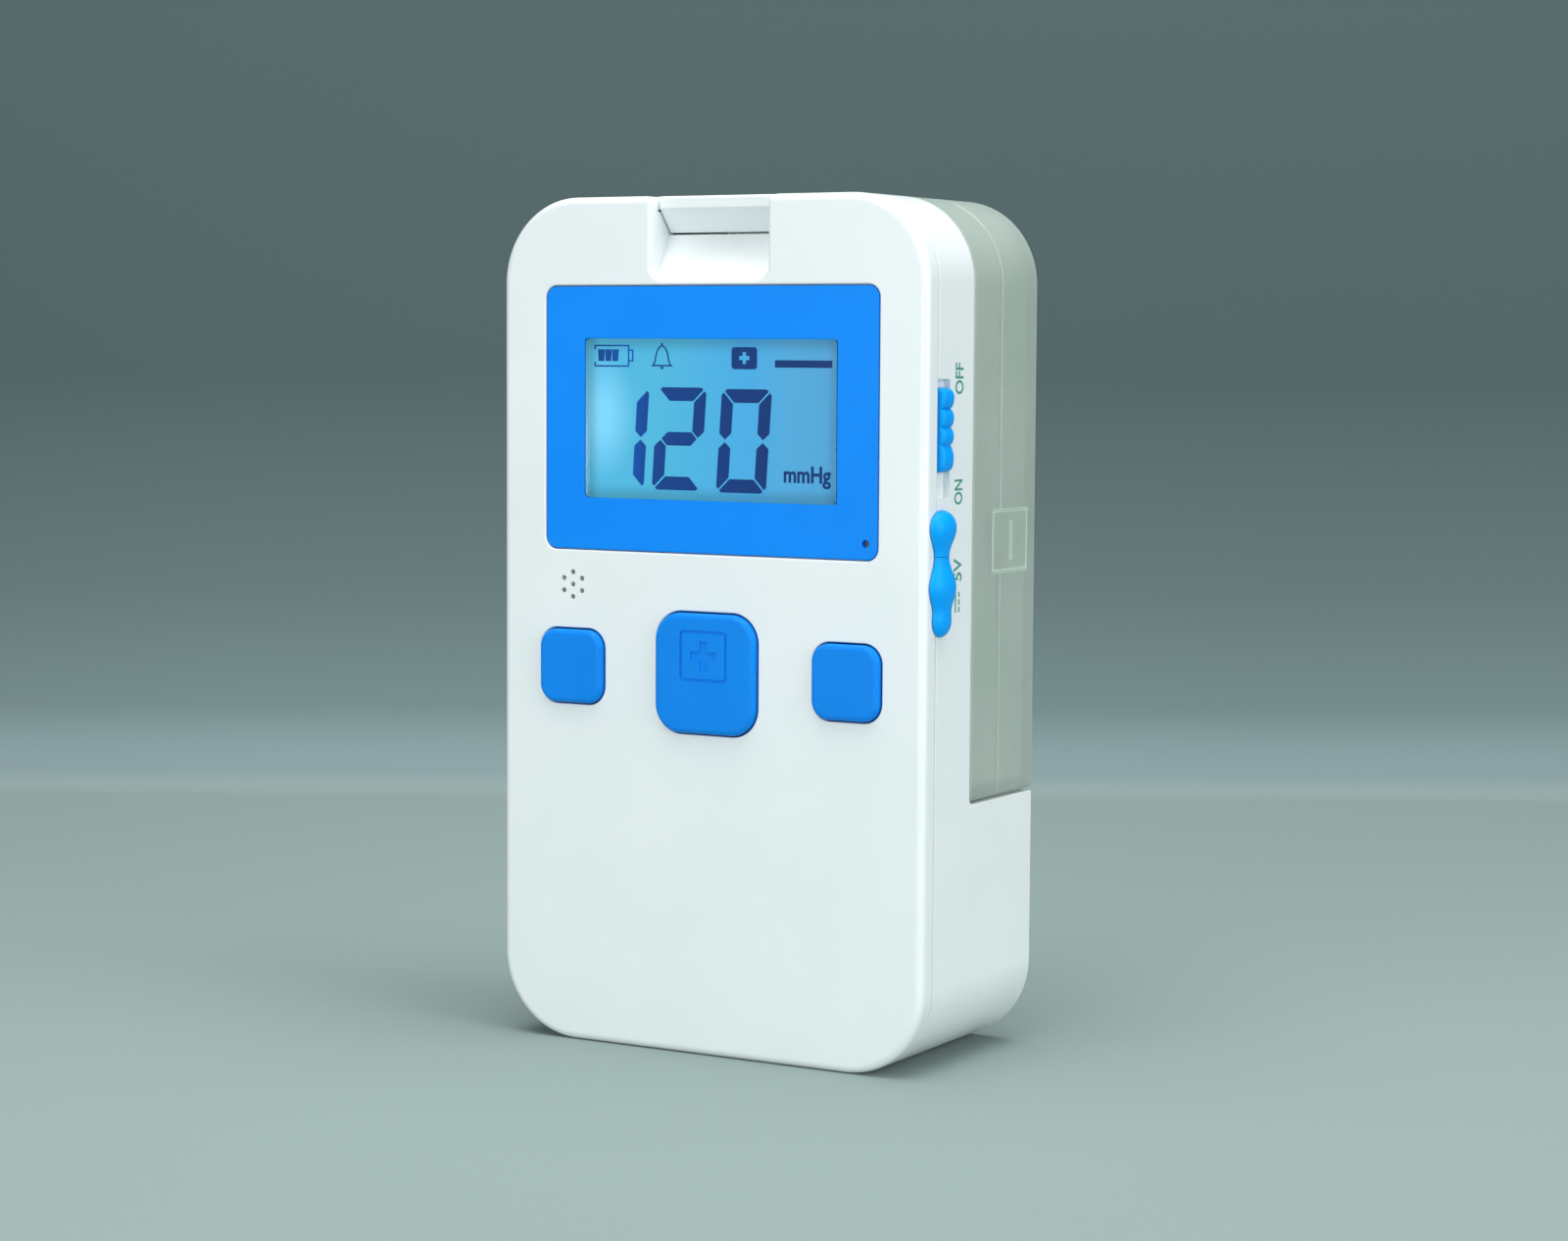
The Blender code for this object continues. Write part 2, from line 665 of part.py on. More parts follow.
def recess_shape(maker):
    """The finger recess: a hollow with round lower corners, flared at the top, over a curved ramp."""
    half = RECESS_WIDTH / 2
    wide = half + RECESS_FLARE_REACH
    above = HEIGHT + OVERRUN
    rim = HEIGHT + TOUCH
    outline = rounded_outline([
        (-half, RECESS_FLOOR, RECESS_CORNER), (half, RECESS_FLOOR, RECESS_CORNER),
        (half, rim, RECESS_FLARE), (wide, rim, 0.0), (wide, above, 0.0),
        (-wide, above, 0.0), (-wide, rim, 0.0), (-half, rim, RECESS_FLARE)], FILLET_STEPS + 2)
    recess = maker.tool("recess_outline", plate(outline, Y, -OVERRUN, SCOOP_DEPTH))
    start = Vector((0.0, RECESS_FLOOR))
    end = Vector((SCOOP_DEPTH, LIP_HEIGHT - CLEARANCE))
    sag = Vector((end.y - start.y, start.x - end.x)).normalized() * SCOOP_HOLLOW
    ramp = []
    for step in range(CORNER_STEPS):
        t = step / (CORNER_STEPS - 1)
        ramp.append(start.lerp(end, t) + sag * 4 * t * (1 - t))
    ramp.append(Vector((SCOOP_DEPTH + OVERRUN, end.y)))
    ramp.append(Vector((SCOOP_DEPTH + OVERRUN, above + OVERRUN)))
    ramp.append(Vector((-2 * OVERRUN, above + OVERRUN)))
    ramp.append(Vector((-2 * OVERRUN, RECESS_FLOOR)))
    maker.keep(recess, "recess_ramp", plate(ramp, X, -wide - OVERRUN, wide + OVERRUN))
    return recess


def display_box(width, height, near, far, corner):
    return slab((-width / 2, near, DISPLAY_MIDDLE - height / 2),
                (width / 2, far, DISPLAY_MIDDLE + height / 2), corner, steps=FILLET_STEPS + 1)


def button_sizes():
    """Each button's name, middle, width, height and corner radius."""
    side = (SIDE_BUTTON_SIZE, SIDE_BUTTON_SIZE, SIDE_BUTTON_CORNER)
    pump = (PUMP_BUTTON_WIDTH, PUMP_BUTTON_HEIGHT, PUMP_BUTTON_CORNER)
    return (("vac", -SIDE_BUTTON_X, *side), ("pump", 0.0, *pump), ("mode", SIDE_BUTTON_X, *side))


def button_slab(x, width, height, corner, grow, near, far):
    return slab((x - width / 2 - grow, near, BUTTON_ROW - height / 2 - grow),
                (x + width / 2 + grow, far, BUTTON_ROW + height / 2 + grow), corner + grow, steps=4)


def indicator_place():
    return DISPLAY_WIDTH / 2 - INDICATOR_INSET, DISPLAY_BOTTOM + INDICATOR_RAISE


def screw_places():
    """Names and (x, z) of the four case screws."""
    top = HEIGHT - SCREW_TOP_DROP
    low = LEDGE_HEIGHT - SCREW_LEDGE_DROP
    return (("top_left", -SCREW_X, top), ("top_right", SCREW_X, top),
            ("base_left", -SCREW_X, low), ("base_right", SCREW_X, low))


def port_opening():
    """The round hole for the charging plug, through the side wall across the seam."""
    return rod((SIDE - WALL - OVERRUN, PORT_DEPTH, PORT_HEIGHT), WALL + 2 * OVERRUN,
               PORT_HOLE_RADIUS, X, ROUND)


def stem_opening():
    """The hole that holds the rubber cover's stem."""
    return rod((SIDE - WALL - OVERRUN, PORT_DEPTH, PORT_HEIGHT + COVER_HEAD_RISE),
               WALL + 2 * OVERRUN, COVER_STEM_RADIUS + CLEARANCE, X)


def sound_holes():
    """One hole in the middle and a ring of holes round it, as rods."""
    drill = FRONT_WALL + 2 * OVERRUN
    holes = rod((SOUND_X, -OVERRUN, SOUND_HEIGHT), drill, SOUND_HOLE_RADIUS, Y, 8)
    for index in range(SOUND_HOLES_ROUND):
        angle = 2 * math.pi * index / SOUND_HOLES_ROUND
        place = (SOUND_X + SOUND_RING_RADIUS * math.sin(angle), -OVERRUN,
                 SOUND_HEIGHT + SOUND_RING_RADIUS * math.cos(angle))
        hole = rod(place, drill, SOUND_HOLE_RADIUS, Y, 8)
        mesh = bpy.data.meshes.new("sound_hole")
        hole.to_mesh(mesh)
        hole.free()
        holes.from_mesh(mesh)
        bpy.data.meshes.remove(mesh)
    return holes


def make_front_cover(maker, white):
    outer = slab((-SIDE, 0.0, 0.0), (SIDE, COVER_DEPTH, HEIGHT), CORNER_RADIUS)
    round_rim(outer, Y, -1, FRONT_FILLET, FILLET_STEPS)
    cover = maker.part("front_cover", outer, white)
    inner = slab((-SIDE + WALL, FRONT_WALL, WALL),
                 (SIDE - WALL, COVER_DEPTH + OVERRUN, HEIGHT - WALL), CORNER_RADIUS - WALL)
    maker.cut(cover, "cover_inside", inner)
    half = RECESS_WIDTH / 2 + SCOOP_WALL
    scoop = slab((-half, FRONT_WALL / 2, RECESS_FLOOR - SCOOP_WALL),
                 (half, SCOOP_DEPTH + SCOOP_WALL, LIP_HEIGHT - CLEARANCE), RECESS_CORNER,
                 steps=FILLET_STEPS, where=lambda middle: middle[Z] < RECESS_FLOOR)
    maker.join(cover, "scoop_back", scoop)
    for name, x, z in screw_places():
        post = rod((x, FRONT_WALL / 2, z), POST_MEETING_DEPTH - CLEARANCE - FRONT_WALL / 2,
                   POST_RADIUS, Y)
        maker.join(cover, "front_post_" + name, post)
    maker.combine(cover, recess_shape(maker), "DIFFERENCE")
    maker.cut(cover, "display_pocket", display_box(
        DISPLAY_WIDTH + 2 * SLIDE_GAP, DISPLAY_HEIGHT + 2 * SLIDE_GAP, -OVERRUN, POCKET_DEPTH,
        DISPLAY_CORNER))
    maker.cut(cover, "lcd_opening", display_box(
        LCD_WIDTH + 2 * CLEARANCE, LCD_HEIGHT + 2 * CLEARANCE, POCKET_DEPTH / 2,
        FRONT_WALL + OVERRUN, WINDOW_CORNER))
    for name, x, width, height, corner in button_sizes():
        hole = button_slab(x, width, height, corner, BUTTON_GAP, -OVERRUN, FRONT_WALL + OVERRUN)
        maker.cut(cover, name + "_button_hole", hole)
    maker.cut(cover, "sound_holes", sound_holes())
    drill = FRONT_WALL + 2 * OVERRUN
    x, z = indicator_place()
    maker.cut(cover, "indicator_hole", rod((x, -OVERRUN, z), drill, INDICATOR_RADIUS, Y, 8))
    for name, x, z in screw_places():
        depth = SCREW_SEAT_DEPTH - SCREW_SHAFT_LENGTH - CLEARANCE
        hole = rod((x, depth, z), POST_MEETING_DEPTH + OVERRUN - depth,
                   SCREW_SHAFT_RADIUS + CLEARANCE, Y)
        maker.cut(cover, "front_screw_hole_" + name, hole)
    maker.cut(cover, "cover_port_hole", port_opening())
    maker.cut(cover, "cover_stem_hole", stem_opening())
    return cover


def make_rear_housing(maker, white):
    profile = rounded_outline([
        (HOUSING_FRONT, 0.0, 0.0), (DEPTH, 0.0, BACK_FILLET), (DEPTH, LEDGE_HEIGHT, LEDGE_FILLET),
        (UPPER_DEPTH, LEDGE_HEIGHT, BAY_FILLET), (UPPER_DEPTH, HEIGHT, BACK_FILLET / 2),
        (HOUSING_FRONT, HEIGHT, 0.0)], FILLET_STEPS)
    housing = maker.part("rear_housing", plate(profile, X, -SIDE, SIDE), white)
    round_shape = slab((-SIDE - TOUCH, 0.0, -TOUCH), (SIDE + TOUCH, DEPTH + OVERRUN, HEIGHT + TOUCH),
                       CORNER_RADIUS)
    maker.keep(housing, "case_outline", round_shape)
    upper = slab((-SIDE + WALL, 0.0, WALL), (SIDE - WALL, UPPER_INNER, HEIGHT - WALL),
                 CORNER_RADIUS - WALL)
    maker.cut(housing, "upper_inside", upper)
    base = slab((-SIDE + WALL, UPPER_INNER / 2, WALL), (SIDE - WALL, BASE_INNER, LEDGE_HEIGHT - WALL),
                CORNER_RADIUS - WALL, where=at_bottom)
    maker.cut(housing, "base_inside", base)
    add_rear_posts(maker, housing)
    add_cradles(maker, housing)
    add_latch_seat(maker, housing)
    cut_side_wall(maker, housing)
    maker.cut(housing, "spigot_hole", rod((MANIFOLD_X, UPPER_INNER - OVERRUN, MANIFOLD_Z),
                                          WALL + 2 * OVERRUN, SPIGOT_RADIUS + CLEARANCE, Y))
    return housing


def add_rear_posts(maker, housing):
    """Posts for the case screws and short standoffs for the board."""
    for name, x, z in screw_places():
        back = UPPER_DEPTH if z > LEDGE_HEIGHT else DEPTH
        post = rod((x, POST_MEETING_DEPTH, z), back - WALL / 2 - POST_MEETING_DEPTH, POST_RADIUS, Y)
        maker.join(housing, "rear_post_" + name, post)
        seat = rod((x, SCREW_SEAT_DEPTH, z), back + OVERRUN - SCREW_SEAT_DEPTH,
                   SCREW_HEAD_RADIUS + CLEARANCE, Y)
        maker.cut(housing, "screw_seat_" + name, seat)
        hole = rod((x, POST_MEETING_DEPTH - OVERRUN, z),
                   SCREW_SEAT_DEPTH - POST_MEETING_DEPTH + 2 * OVERRUN,
                   SCREW_SHAFT_RADIUS + CLEARANCE, Y)
        maker.cut(housing, "rear_screw_hole_" + name, hole)
    for x in (-STANDOFF_X, STANDOFF_X):
        for z in (BOARD_BOTTOM + STANDOFF_INSET, DISPLAY_MIDDLE):
            standoff = rod((x, BOARD_BACK + CLEARANCE, z),
                           UPPER_DEPTH - WALL / 2 - BOARD_BACK - CLEARANCE, STANDOFF_RADIUS, Y, 10)
            maker.join(housing, "board_standoff", standoff)


def add_cradles(maker, housing):
    """Two ribs hollowed to the battery's round, and two shelves under the motor's sleeve."""
    for side in (-1, 1):
        x = side * CRADLE_SPACING / 2
        rib = box((x - CRADLE_THICKNESS / 2, CELL_DEPTH - CELL_RADIUS - WALL, WALL / 2),
                  (x + CRADLE_THICKNESS / 2, CELL_DEPTH - CELL_RADIUS + CRADLE_DEPTH, CRADLE_HEIGHT))
        maker.join(housing, "cradle_rib", rib)
    hollow = rod((-CELL_LENGTH / 2 - OVERRUN, CELL_DEPTH, CELL_Z), CELL_LENGTH + 2 * OVERRUN,
                 CELL_RADIUS + CLEARANCE, X, ROUND + SMALL_ROUND)
    maker.cut(housing, "cradle_hollow", hollow)
    sleeve_bottom = MOTOR_Z - MOTOR_HEIGHT / 2 - CLEARANCE - SLEEVE_WALL
    middle = (MOTOR_LEFT + MOTOR_RIGHT) / 2
    for side in (-1, 1):
        x = middle + side * SHELF_SPACING / 2
        shelf = box((x - SHELF_THICKNESS / 2, BASE_INNER - SHELF_REACH,
                     sleeve_bottom - CLEARANCE - SHELF_THICKNESS),
                    (x + SHELF_THICKNESS / 2, DEPTH - WALL / 2, sleeve_bottom - CLEARANCE))
        maker.join(housing, "motor_shelf", shelf)


def add_latch_seat(maker, housing):
    """The latch's opening in the top, two ears for its pin and the slot for its tongue."""
    half = RECESS_WIDTH / 2
    for side in (-1, 1):
        x = side * (half + EAR_THICKNESS / 2)
        ear = box((x - EAR_THICKNESS / 2, LATCH_PIN_DEPTH - EAR_DEPTH / 2, LATCH_PIN_HEIGHT - EAR_DROP / 2),
                  (x + EAR_THICKNESS / 2, UPPER_DEPTH - WALL / 2, HEIGHT - WALL / 2))
        maker.join(housing, "latch_ear", ear)
    opening = box((-half, HOUSING_FRONT - OVERRUN, HEIGHT - WALL - OVERRUN),
                  (half, UPPER_INNER, HEIGHT + OVERRUN))
    maker.cut(housing, "latch_opening", opening)
    pin_hole = rod((-half - EAR_THICKNESS - OVERRUN, LATCH_PIN_DEPTH, LATCH_PIN_HEIGHT),
                   2 * (half + EAR_THICKNESS + OVERRUN), LATCH_PIN_RADIUS + LATCH_RUNNING, X)
    maker.cut(housing, "latch_pin_hole", pin_hole)
    maker.cut(housing, "tongue_slot", tongue_slot(UPPER_INNER - OVERRUN, UPPER_DEPTH + OVERRUN))


def tongue_slot(near, far):
    """Room for the latch's tongue, at rest and swung down."""
    top = LATCH_PIN_HEIGHT + CLEARANCE
    return box((-TONGUE_WIDTH / 2 - CLEARANCE, near, top - 2 * TONGUE_THICKNESS - TONGUE_SWING),
               (TONGUE_WIDTH / 2 + CLEARANCE, far, top))


def cut_side_wall(maker, housing):
    """The knob's recess and slot, and the holes for the charging plug and the cover's stem."""
    recess = box((SIDE - SLOT_RECESS, HOUSING_FRONT - OVERRUN, SLOT_BOTTOM),
                 (SIDE + OVERRUN, HOUSING_FRONT + SLOT_WIDTH, SLOT_TOP))
    maker.cut(housing, "knob_recess", recess)
    half = NECK_LENGTH / 2 + CLEARANCE
    slot = box((SIDE - WALL - OVERRUN, KNOB_DEPTH - NECK_WIDTH / 2 - CLEARANCE,
                KNOB_MIDDLE - half - KNOB_TRAVEL),
               (SIDE, KNOB_DEPTH + NECK_WIDTH / 2 + CLEARANCE, KNOB_MIDDLE + half))
    maker.cut(housing, "knob_slot", slot)
    maker.cut(housing, "housing_port_hole", port_opening())
    maker.cut(housing, "housing_stem_hole", stem_opening())


def make_display(maker, blue, clear, glass, glow, red):
    bezel = maker.part("display_bezel", display_box(
        DISPLAY_WIDTH, DISPLAY_HEIGHT, BEZEL_INSET, BEZEL_INSET + BEZEL_THICKNESS, DISPLAY_CORNER), blue)
    maker.cut(bezel, "window_opening", display_box(
        WINDOW_WIDTH, WINDOW_HEIGHT, -OVERRUN, BEZEL_INSET + BEZEL_THICKNESS + OVERRUN, WINDOW_CORNER))
    x, z = indicator_place()
    maker.cut(bezel, "indicator_window",
              rod((x, -OVERRUN, z), POCKET_DEPTH + OVERRUN, INDICATOR_RADIUS, Y))
    maker.part("display_lens", display_box(
        WINDOW_WIDTH - 2 * SLIDE_GAP, WINDOW_HEIGHT - 2 * SLIDE_GAP, BEZEL_INSET + LENS_INSET,
        BEZEL_INSET + BEZEL_THICKNESS, WINDOW_CORNER), clear)
    maker.part("lcd_panel", display_box(
        LCD_WIDTH, LCD_HEIGHT, LCD_FRONT, LCD_FRONT + LCD_THICKNESS, WINDOW_CORNER), glass)
    maker.part("lcd_backlight", display_box(
        LCD_WIDTH + 2 * CLEARANCE, LCD_HEIGHT + 2 * CLEARANCE, BACKLIGHT_FRONT,
        BACKLIGHT_FRONT + BACKLIGHT_THICKNESS, WINDOW_CORNER), glow)
    maker.part("indicator_led", box(
        (x - LED_SIZE / 2, BOARD_FRONT - CLEARANCE - LED_HEIGHT, z - LED_SIZE / 2),
        (x + LED_SIZE / 2, BOARD_FRONT - CLEARANCE, z + LED_SIZE / 2)), red)


def make_buttons(maker, blue, steel, black):
    """Three buttons, each on a plunger that slides in its switch body."""
    lip_front = FRONT_WALL + CLEARANCE
    lip_back = lip_front + BUTTON_LIP_THICKNESS
    plunger_front = lip_back + CLEARANCE
    body_front = lip_back + BUTTON_TRAVEL + SEAM
    body_back = BOARD_FRONT - CLEARANCE
    for name, x, width, height, corner in button_sizes():
        cap = button_slab(x, width, height, corner, 0.0, -BUTTON_PROUD, lip_back)
        round_rim(cap, Y, -1, BUTTON_EDGE, FILLET_STEPS)
        button = maker.part(name + "_button", cap, blue, (x, 0.0, BUTTON_ROW))
        lip = button_slab(x, width, height, corner, BUTTON_LIP, lip_front, lip_back)
        maker.join(button, name + "_button_lip", lip)
        maker.part(name + "_plunger",
                   rod((x, plunger_front, BUTTON_ROW), PLUNGER_LENGTH, PLUNGER_RADIUS, Y), black,
                   (x, plunger_front, BUTTON_ROW))
        half = SWITCH_SIZE / 2
        body = maker.part(name + "_switch", box((x - half, body_front, BUTTON_ROW - half),
                                                (x + half, body_back, BUTTON_ROW + half)), steel)
        well = rod((x, body_front - OVERRUN, BUTTON_ROW),
                   body_back - SWITCH_FLOOR - body_front + OVERRUN, PLUNGER_RADIUS + CLEARANCE, Y)
        maker.cut(body, name + "_switch_well", well)


def make_board(maker, green, black):
    half = BOARD_WIDTH / 2
    board = maker.part("main_board", box((-half, BOARD_FRONT, BOARD_BOTTOM),
                                         (half, BOARD_BACK, BOARD_TOP)), green)
    notch_left = SIDE - WALL - CLEARANCE - JACK_LENGTH - BOARD_NOTCH_MARGIN
    notch_half = JACK_HEIGHT / 2 + BOARD_NOTCH_MARGIN
    maker.cut(board, "jack_notch", box((notch_left, BOARD_FRONT - OVERRUN, PORT_HEIGHT - notch_half),
                                       (half + OVERRUN, BOARD_BACK + OVERRUN, PORT_HEIGHT + notch_half)))
    buzzer_front = BOARD_FRONT - CLEARANCE - BUZZER_HEIGHT
    maker.part("buzzer", rod((SOUND_X, buzzer_front, SOUND_HEIGHT), BUZZER_HEIGHT, BUZZER_RADIUS, Y,
                             ROUND), black)


def knob_outline():
    """The knob's side view, (x, z): four round ridges along its outer face."""
    inner = SIDE - SLOT_RECESS + SLIDE_GAP
    outer = SIDE + KNOB_PROUD
    points = [Vector((inner, KNOB_BOTTOM)), Vector((outer - KNOB_SCALLOP, KNOB_BOTTOM))]
    shares = KNOB_VALLEY_SHARES[::-1]
    for start_share, end_share in zip(shares, shares[1:]):
        start = KNOB_TOP - start_share * KNOB_LENGTH
        end = KNOB_TOP - end_share * KNOB_LENGTH
        for step in range(1, 5):
            t = step / 5
            swell = math.sin(math.pi * t) ** 0.5
            points.append(Vector((outer - KNOB_SCALLOP + KNOB_SCALLOP * swell, start + (end - start) * t)))
        points.append(Vector((outer - KNOB_SCALLOP, end)))
    points.append(Vector((inner, KNOB_TOP)))
    return points


def make_power_switch(maker, blue, steel, black):
    near = HOUSING_FRONT + SEAM
    far = HOUSING_FRONT + SLOT_WIDTH - SLIDE_GAP
    knob = maker.part("power_knob", plate(knob_outline(), Y, near, far), blue,
                      (SIDE, KNOB_DEPTH, KNOB_MIDDLE))
    half = NECK_LENGTH / 2
    neck_in = SIDE - WALL - (NECK_REACH - WALL / 2)
    neck = box((neck_in, KNOB_DEPTH - NECK_WIDTH / 2, KNOB_MIDDLE - half),
               (SIDE, KNOB_DEPTH + NECK_WIDTH / 2, KNOB_MIDDLE + half))
    maker.join(knob, "knob_neck", neck)
    lever_half = LEVER_SIZE / 2
    socket = box((neck_in - OVERRUN, KNOB_DEPTH - lever_half - SLIDE_GAP, KNOB_MIDDLE - LEVER_SIZE - SLIDE_GAP),
                 (SIDE - SLOT_RECESS, KNOB_DEPTH + lever_half + SLIDE_GAP, KNOB_MIDDLE + LEVER_SIZE + SLIDE_GAP))
    maker.cut(knob, "lever_socket", socket)
    lever_out = SIDE - SLOT_RECESS - CLEARANCE
    lever_in = lever_out - LEVER_LENGTH
    maker.part("switch_lever", box((lever_in, KNOB_DEPTH - lever_half, KNOB_MIDDLE - LEVER_SIZE),
                                   (lever_out, KNOB_DEPTH + lever_half, KNOB_MIDDLE + LEVER_SIZE)),
               black, (lever_in, KNOB_DEPTH, KNOB_MIDDLE))
    body_right = neck_in - CLEARANCE
    body_back = BOARD_FRONT - CLEARANCE
    middle = KNOB_MIDDLE - KNOB_TRAVEL / 2
    body = maker.part("slide_switch", box(
        (body_right - SWITCH_BODY_WIDTH, body_back - SWITCH_BODY_HEIGHT, middle - SWITCH_BODY_LENGTH / 2),
        (body_right, body_back, middle + SWITCH_BODY_LENGTH / 2)), steel)
    way = box((lever_in - CLEARANCE, KNOB_DEPTH - lever_half - CLEARANCE,
               KNOB_MIDDLE - LEVER_SIZE - KNOB_TRAVEL - CLEARANCE),
              (body_right + OVERRUN, body_back + OVERRUN, KNOB_MIDDLE + LEVER_SIZE + CLEARANCE))
    maker.cut(body, "lever_way", way)


def make_jack(maker, black):
    right = SIDE - WALL - CLEARANCE
    half_width = JACK_WIDTH / 2
    half_height = JACK_HEIGHT / 2
    jack = maker.part("dc_jack", box((right - JACK_LENGTH, PORT_DEPTH - half_width, PORT_HEIGHT - half_height),
                                     (right, PORT_DEPTH + half_width, PORT_HEIGHT + half_height)), black)
    bore = rod((right - JACK_BORE_DEPTH, PORT_DEPTH, PORT_HEIGHT), JACK_BORE_DEPTH + OVERRUN,
               JACK_BORE_RADIUS, X)
    maker.cut(jack, "jack_bore", bore)


def cover_loft(sections):
    """A rubber blob between half-oval sections (z, width, proud) that stands on the side wall."""
    shape = bmesh.new()
    foot = SIDE + SLIDE_GAP
    rings = []
    for z, width, proud in sections:
        ring = []
        for step in range(COVER_ARC + 1):
            angle = math.pi * step / COVER_ARC
            place = (foot + proud * math.sin(angle), y_at(PORT_DEPTH) - width / 2 * math.cos(angle), z)
            ring.append(shape.verts.new(place))
        rings.append(ring)
    for low, high in zip(rings, rings[1:]):
        for index in range(COVER_ARC + 1):
            after = (index + 1) % (COVER_ARC + 1)
            shape.faces.new((low[index], low[after], high[after], high[index]))
    shape.faces.new(rings[0][::-1])
    shape.faces.new(rings[-1])
    bmesh.ops.recalc_face_normals(shape, faces=shape.faces)
    return shape


def blend_sections(start, end):
    """Sections from one (z, width, proud) to another, eased at both ends."""
    sections = []
    for step in range(COVER_RINGS):
        t = step / (COVER_RINGS - 1)
        ease = (1 - math.cos(math.pi * t)) / 2
        z = start[0] + (end[0] - start[0]) * t
        sections.append((z, start[1] + (end[1] - start[1]) * ease, start[2] + (end[2] - start[2]) * ease))
    return sections


def cap_sections(start, end_z):
    """Sections that close a lobe towards its rounded end."""
    z, width, proud = start
    sections = []
    for step in range(1, COVER_ARC):
        angle = math.pi / 2 * step / COVER_ARC
        sections.append((z + (end_z - z) * math.sin(angle), width * math.cos(angle), proud * math.cos(angle)))
    return sections


def make_port_cover(maker, rubber):
    head = (PORT_HEIGHT + COVER_HEAD_RISE, COVER_HEAD_WIDTH, COVER_HEAD_PROUD)
    neck_top = (COVER_HINGE_HEIGHT + HINGE_SLIT, COVER_NECK_WIDTH, COVER_NECK_PROUD)
    neck_low = (COVER_HINGE_HEIGHT - HINGE_SLIT, COVER_NECK_WIDTH, COVER_NECK_PROUD)
    lobe = (PORT_HEIGHT, COVER_LOBE_WIDTH, COVER_LOBE_PROUD)
    waist = (PORT_HEIGHT - COVER_TAIL_FALL / 2, COVER_WAIST_WIDTH, COVER_TAIL_PROUD)
    tail = (PORT_HEIGHT - COVER_TAIL_FALL + COVER_TAIL_WIDTH / 2, COVER_TAIL_WIDTH, COVER_TAIL_PROUD)
    anchor_sections = blend_sections(neck_top, head) + cap_sections(head, PORT_HEIGHT + COVER_TOP_RISE)
    anchor = maker.part("port_cover_anchor", cover_loft(anchor_sections), rubber,
                        (SIDE, PORT_DEPTH, PORT_HEIGHT + COVER_HEAD_RISE))
    stem = rod((SIDE - WALL + CLEARANCE, PORT_DEPTH, PORT_HEIGHT + COVER_HEAD_RISE),
               WALL - CLEARANCE + COVER_HEAD_PROUD / 2, COVER_STEM_RADIUS, X)
    maker.join(anchor, "cover_stem", stem)
    flap_sections = cap_sections(tail, PORT_HEIGHT - COVER_TAIL_FALL)[::-1]
    flap_sections += blend_sections(tail, waist)[:-1] + blend_sections(waist, lobe)[:-1]
    flap_sections += blend_sections(lobe, neck_low)
    flap = maker.part("port_cover_flap", cover_loft(flap_sections), rubber,
                      (COVER_HINGE_X, PORT_DEPTH, COVER_HINGE_HEIGHT))
    plug = rod((SIDE - COVER_PLUG_LENGTH, PORT_DEPTH, PORT_HEIGHT), COVER_PLUG_LENGTH + COVER_LOBE_PROUD / 2,
               COVER_PLUG_RADIUS, X)
    maker.join(flap, "cover_plug", plug)


def make_case_screws(maker, steel):
    """Pan-head screws that enter from the back, their heads on the rear posts' seats."""
    seat = SCREW_SEAT_DEPTH + TOUCH
    profile = ((0.0, SCREW_HEAD_HEIGHT), (SCREW_HEAD_RADIUS, SCREW_HEAD_HEIGHT),
               (SCREW_HEAD_RADIUS, 0.0), (SCREW_SHAFT_RADIUS, 0.0),
               (SCREW_SHAFT_RADIUS, -SCREW_SHAFT_LENGTH), (0.0, -SCREW_SHAFT_LENGTH))
    for name, x, z in screw_places():
        maker.turned("case_screw_" + name, profile, Y, (x, seat + SEAM, z), steel, SMALL_ROUND)


def make_battery(maker, wrap):
    maker.part("battery_cell", rod((-CELL_LENGTH / 2, CELL_DEPTH, CELL_Z), CELL_LENGTH, CELL_RADIUS, X,
                                   ROUND + SMALL_ROUND), wrap)


def motor_outline(grow):
    """A round can with flats above and below, (depth, z)."""
    radius = MOTOR_WIDTH / 2 + grow
    flat = MOTOR_HEIGHT / 2 + grow
    limit = math.asin(flat / radius)
    points = []
    for side in (0, 1):
        for step in range(CORNER_STEPS + 1):
            angle = math.pi * side - limit + 2 * limit * step / CORNER_STEPS
            points.append(Vector((MOTOR_DEPTH + radius * math.cos(angle), MOTOR_Z + radius * math.sin(angle))))
    return points


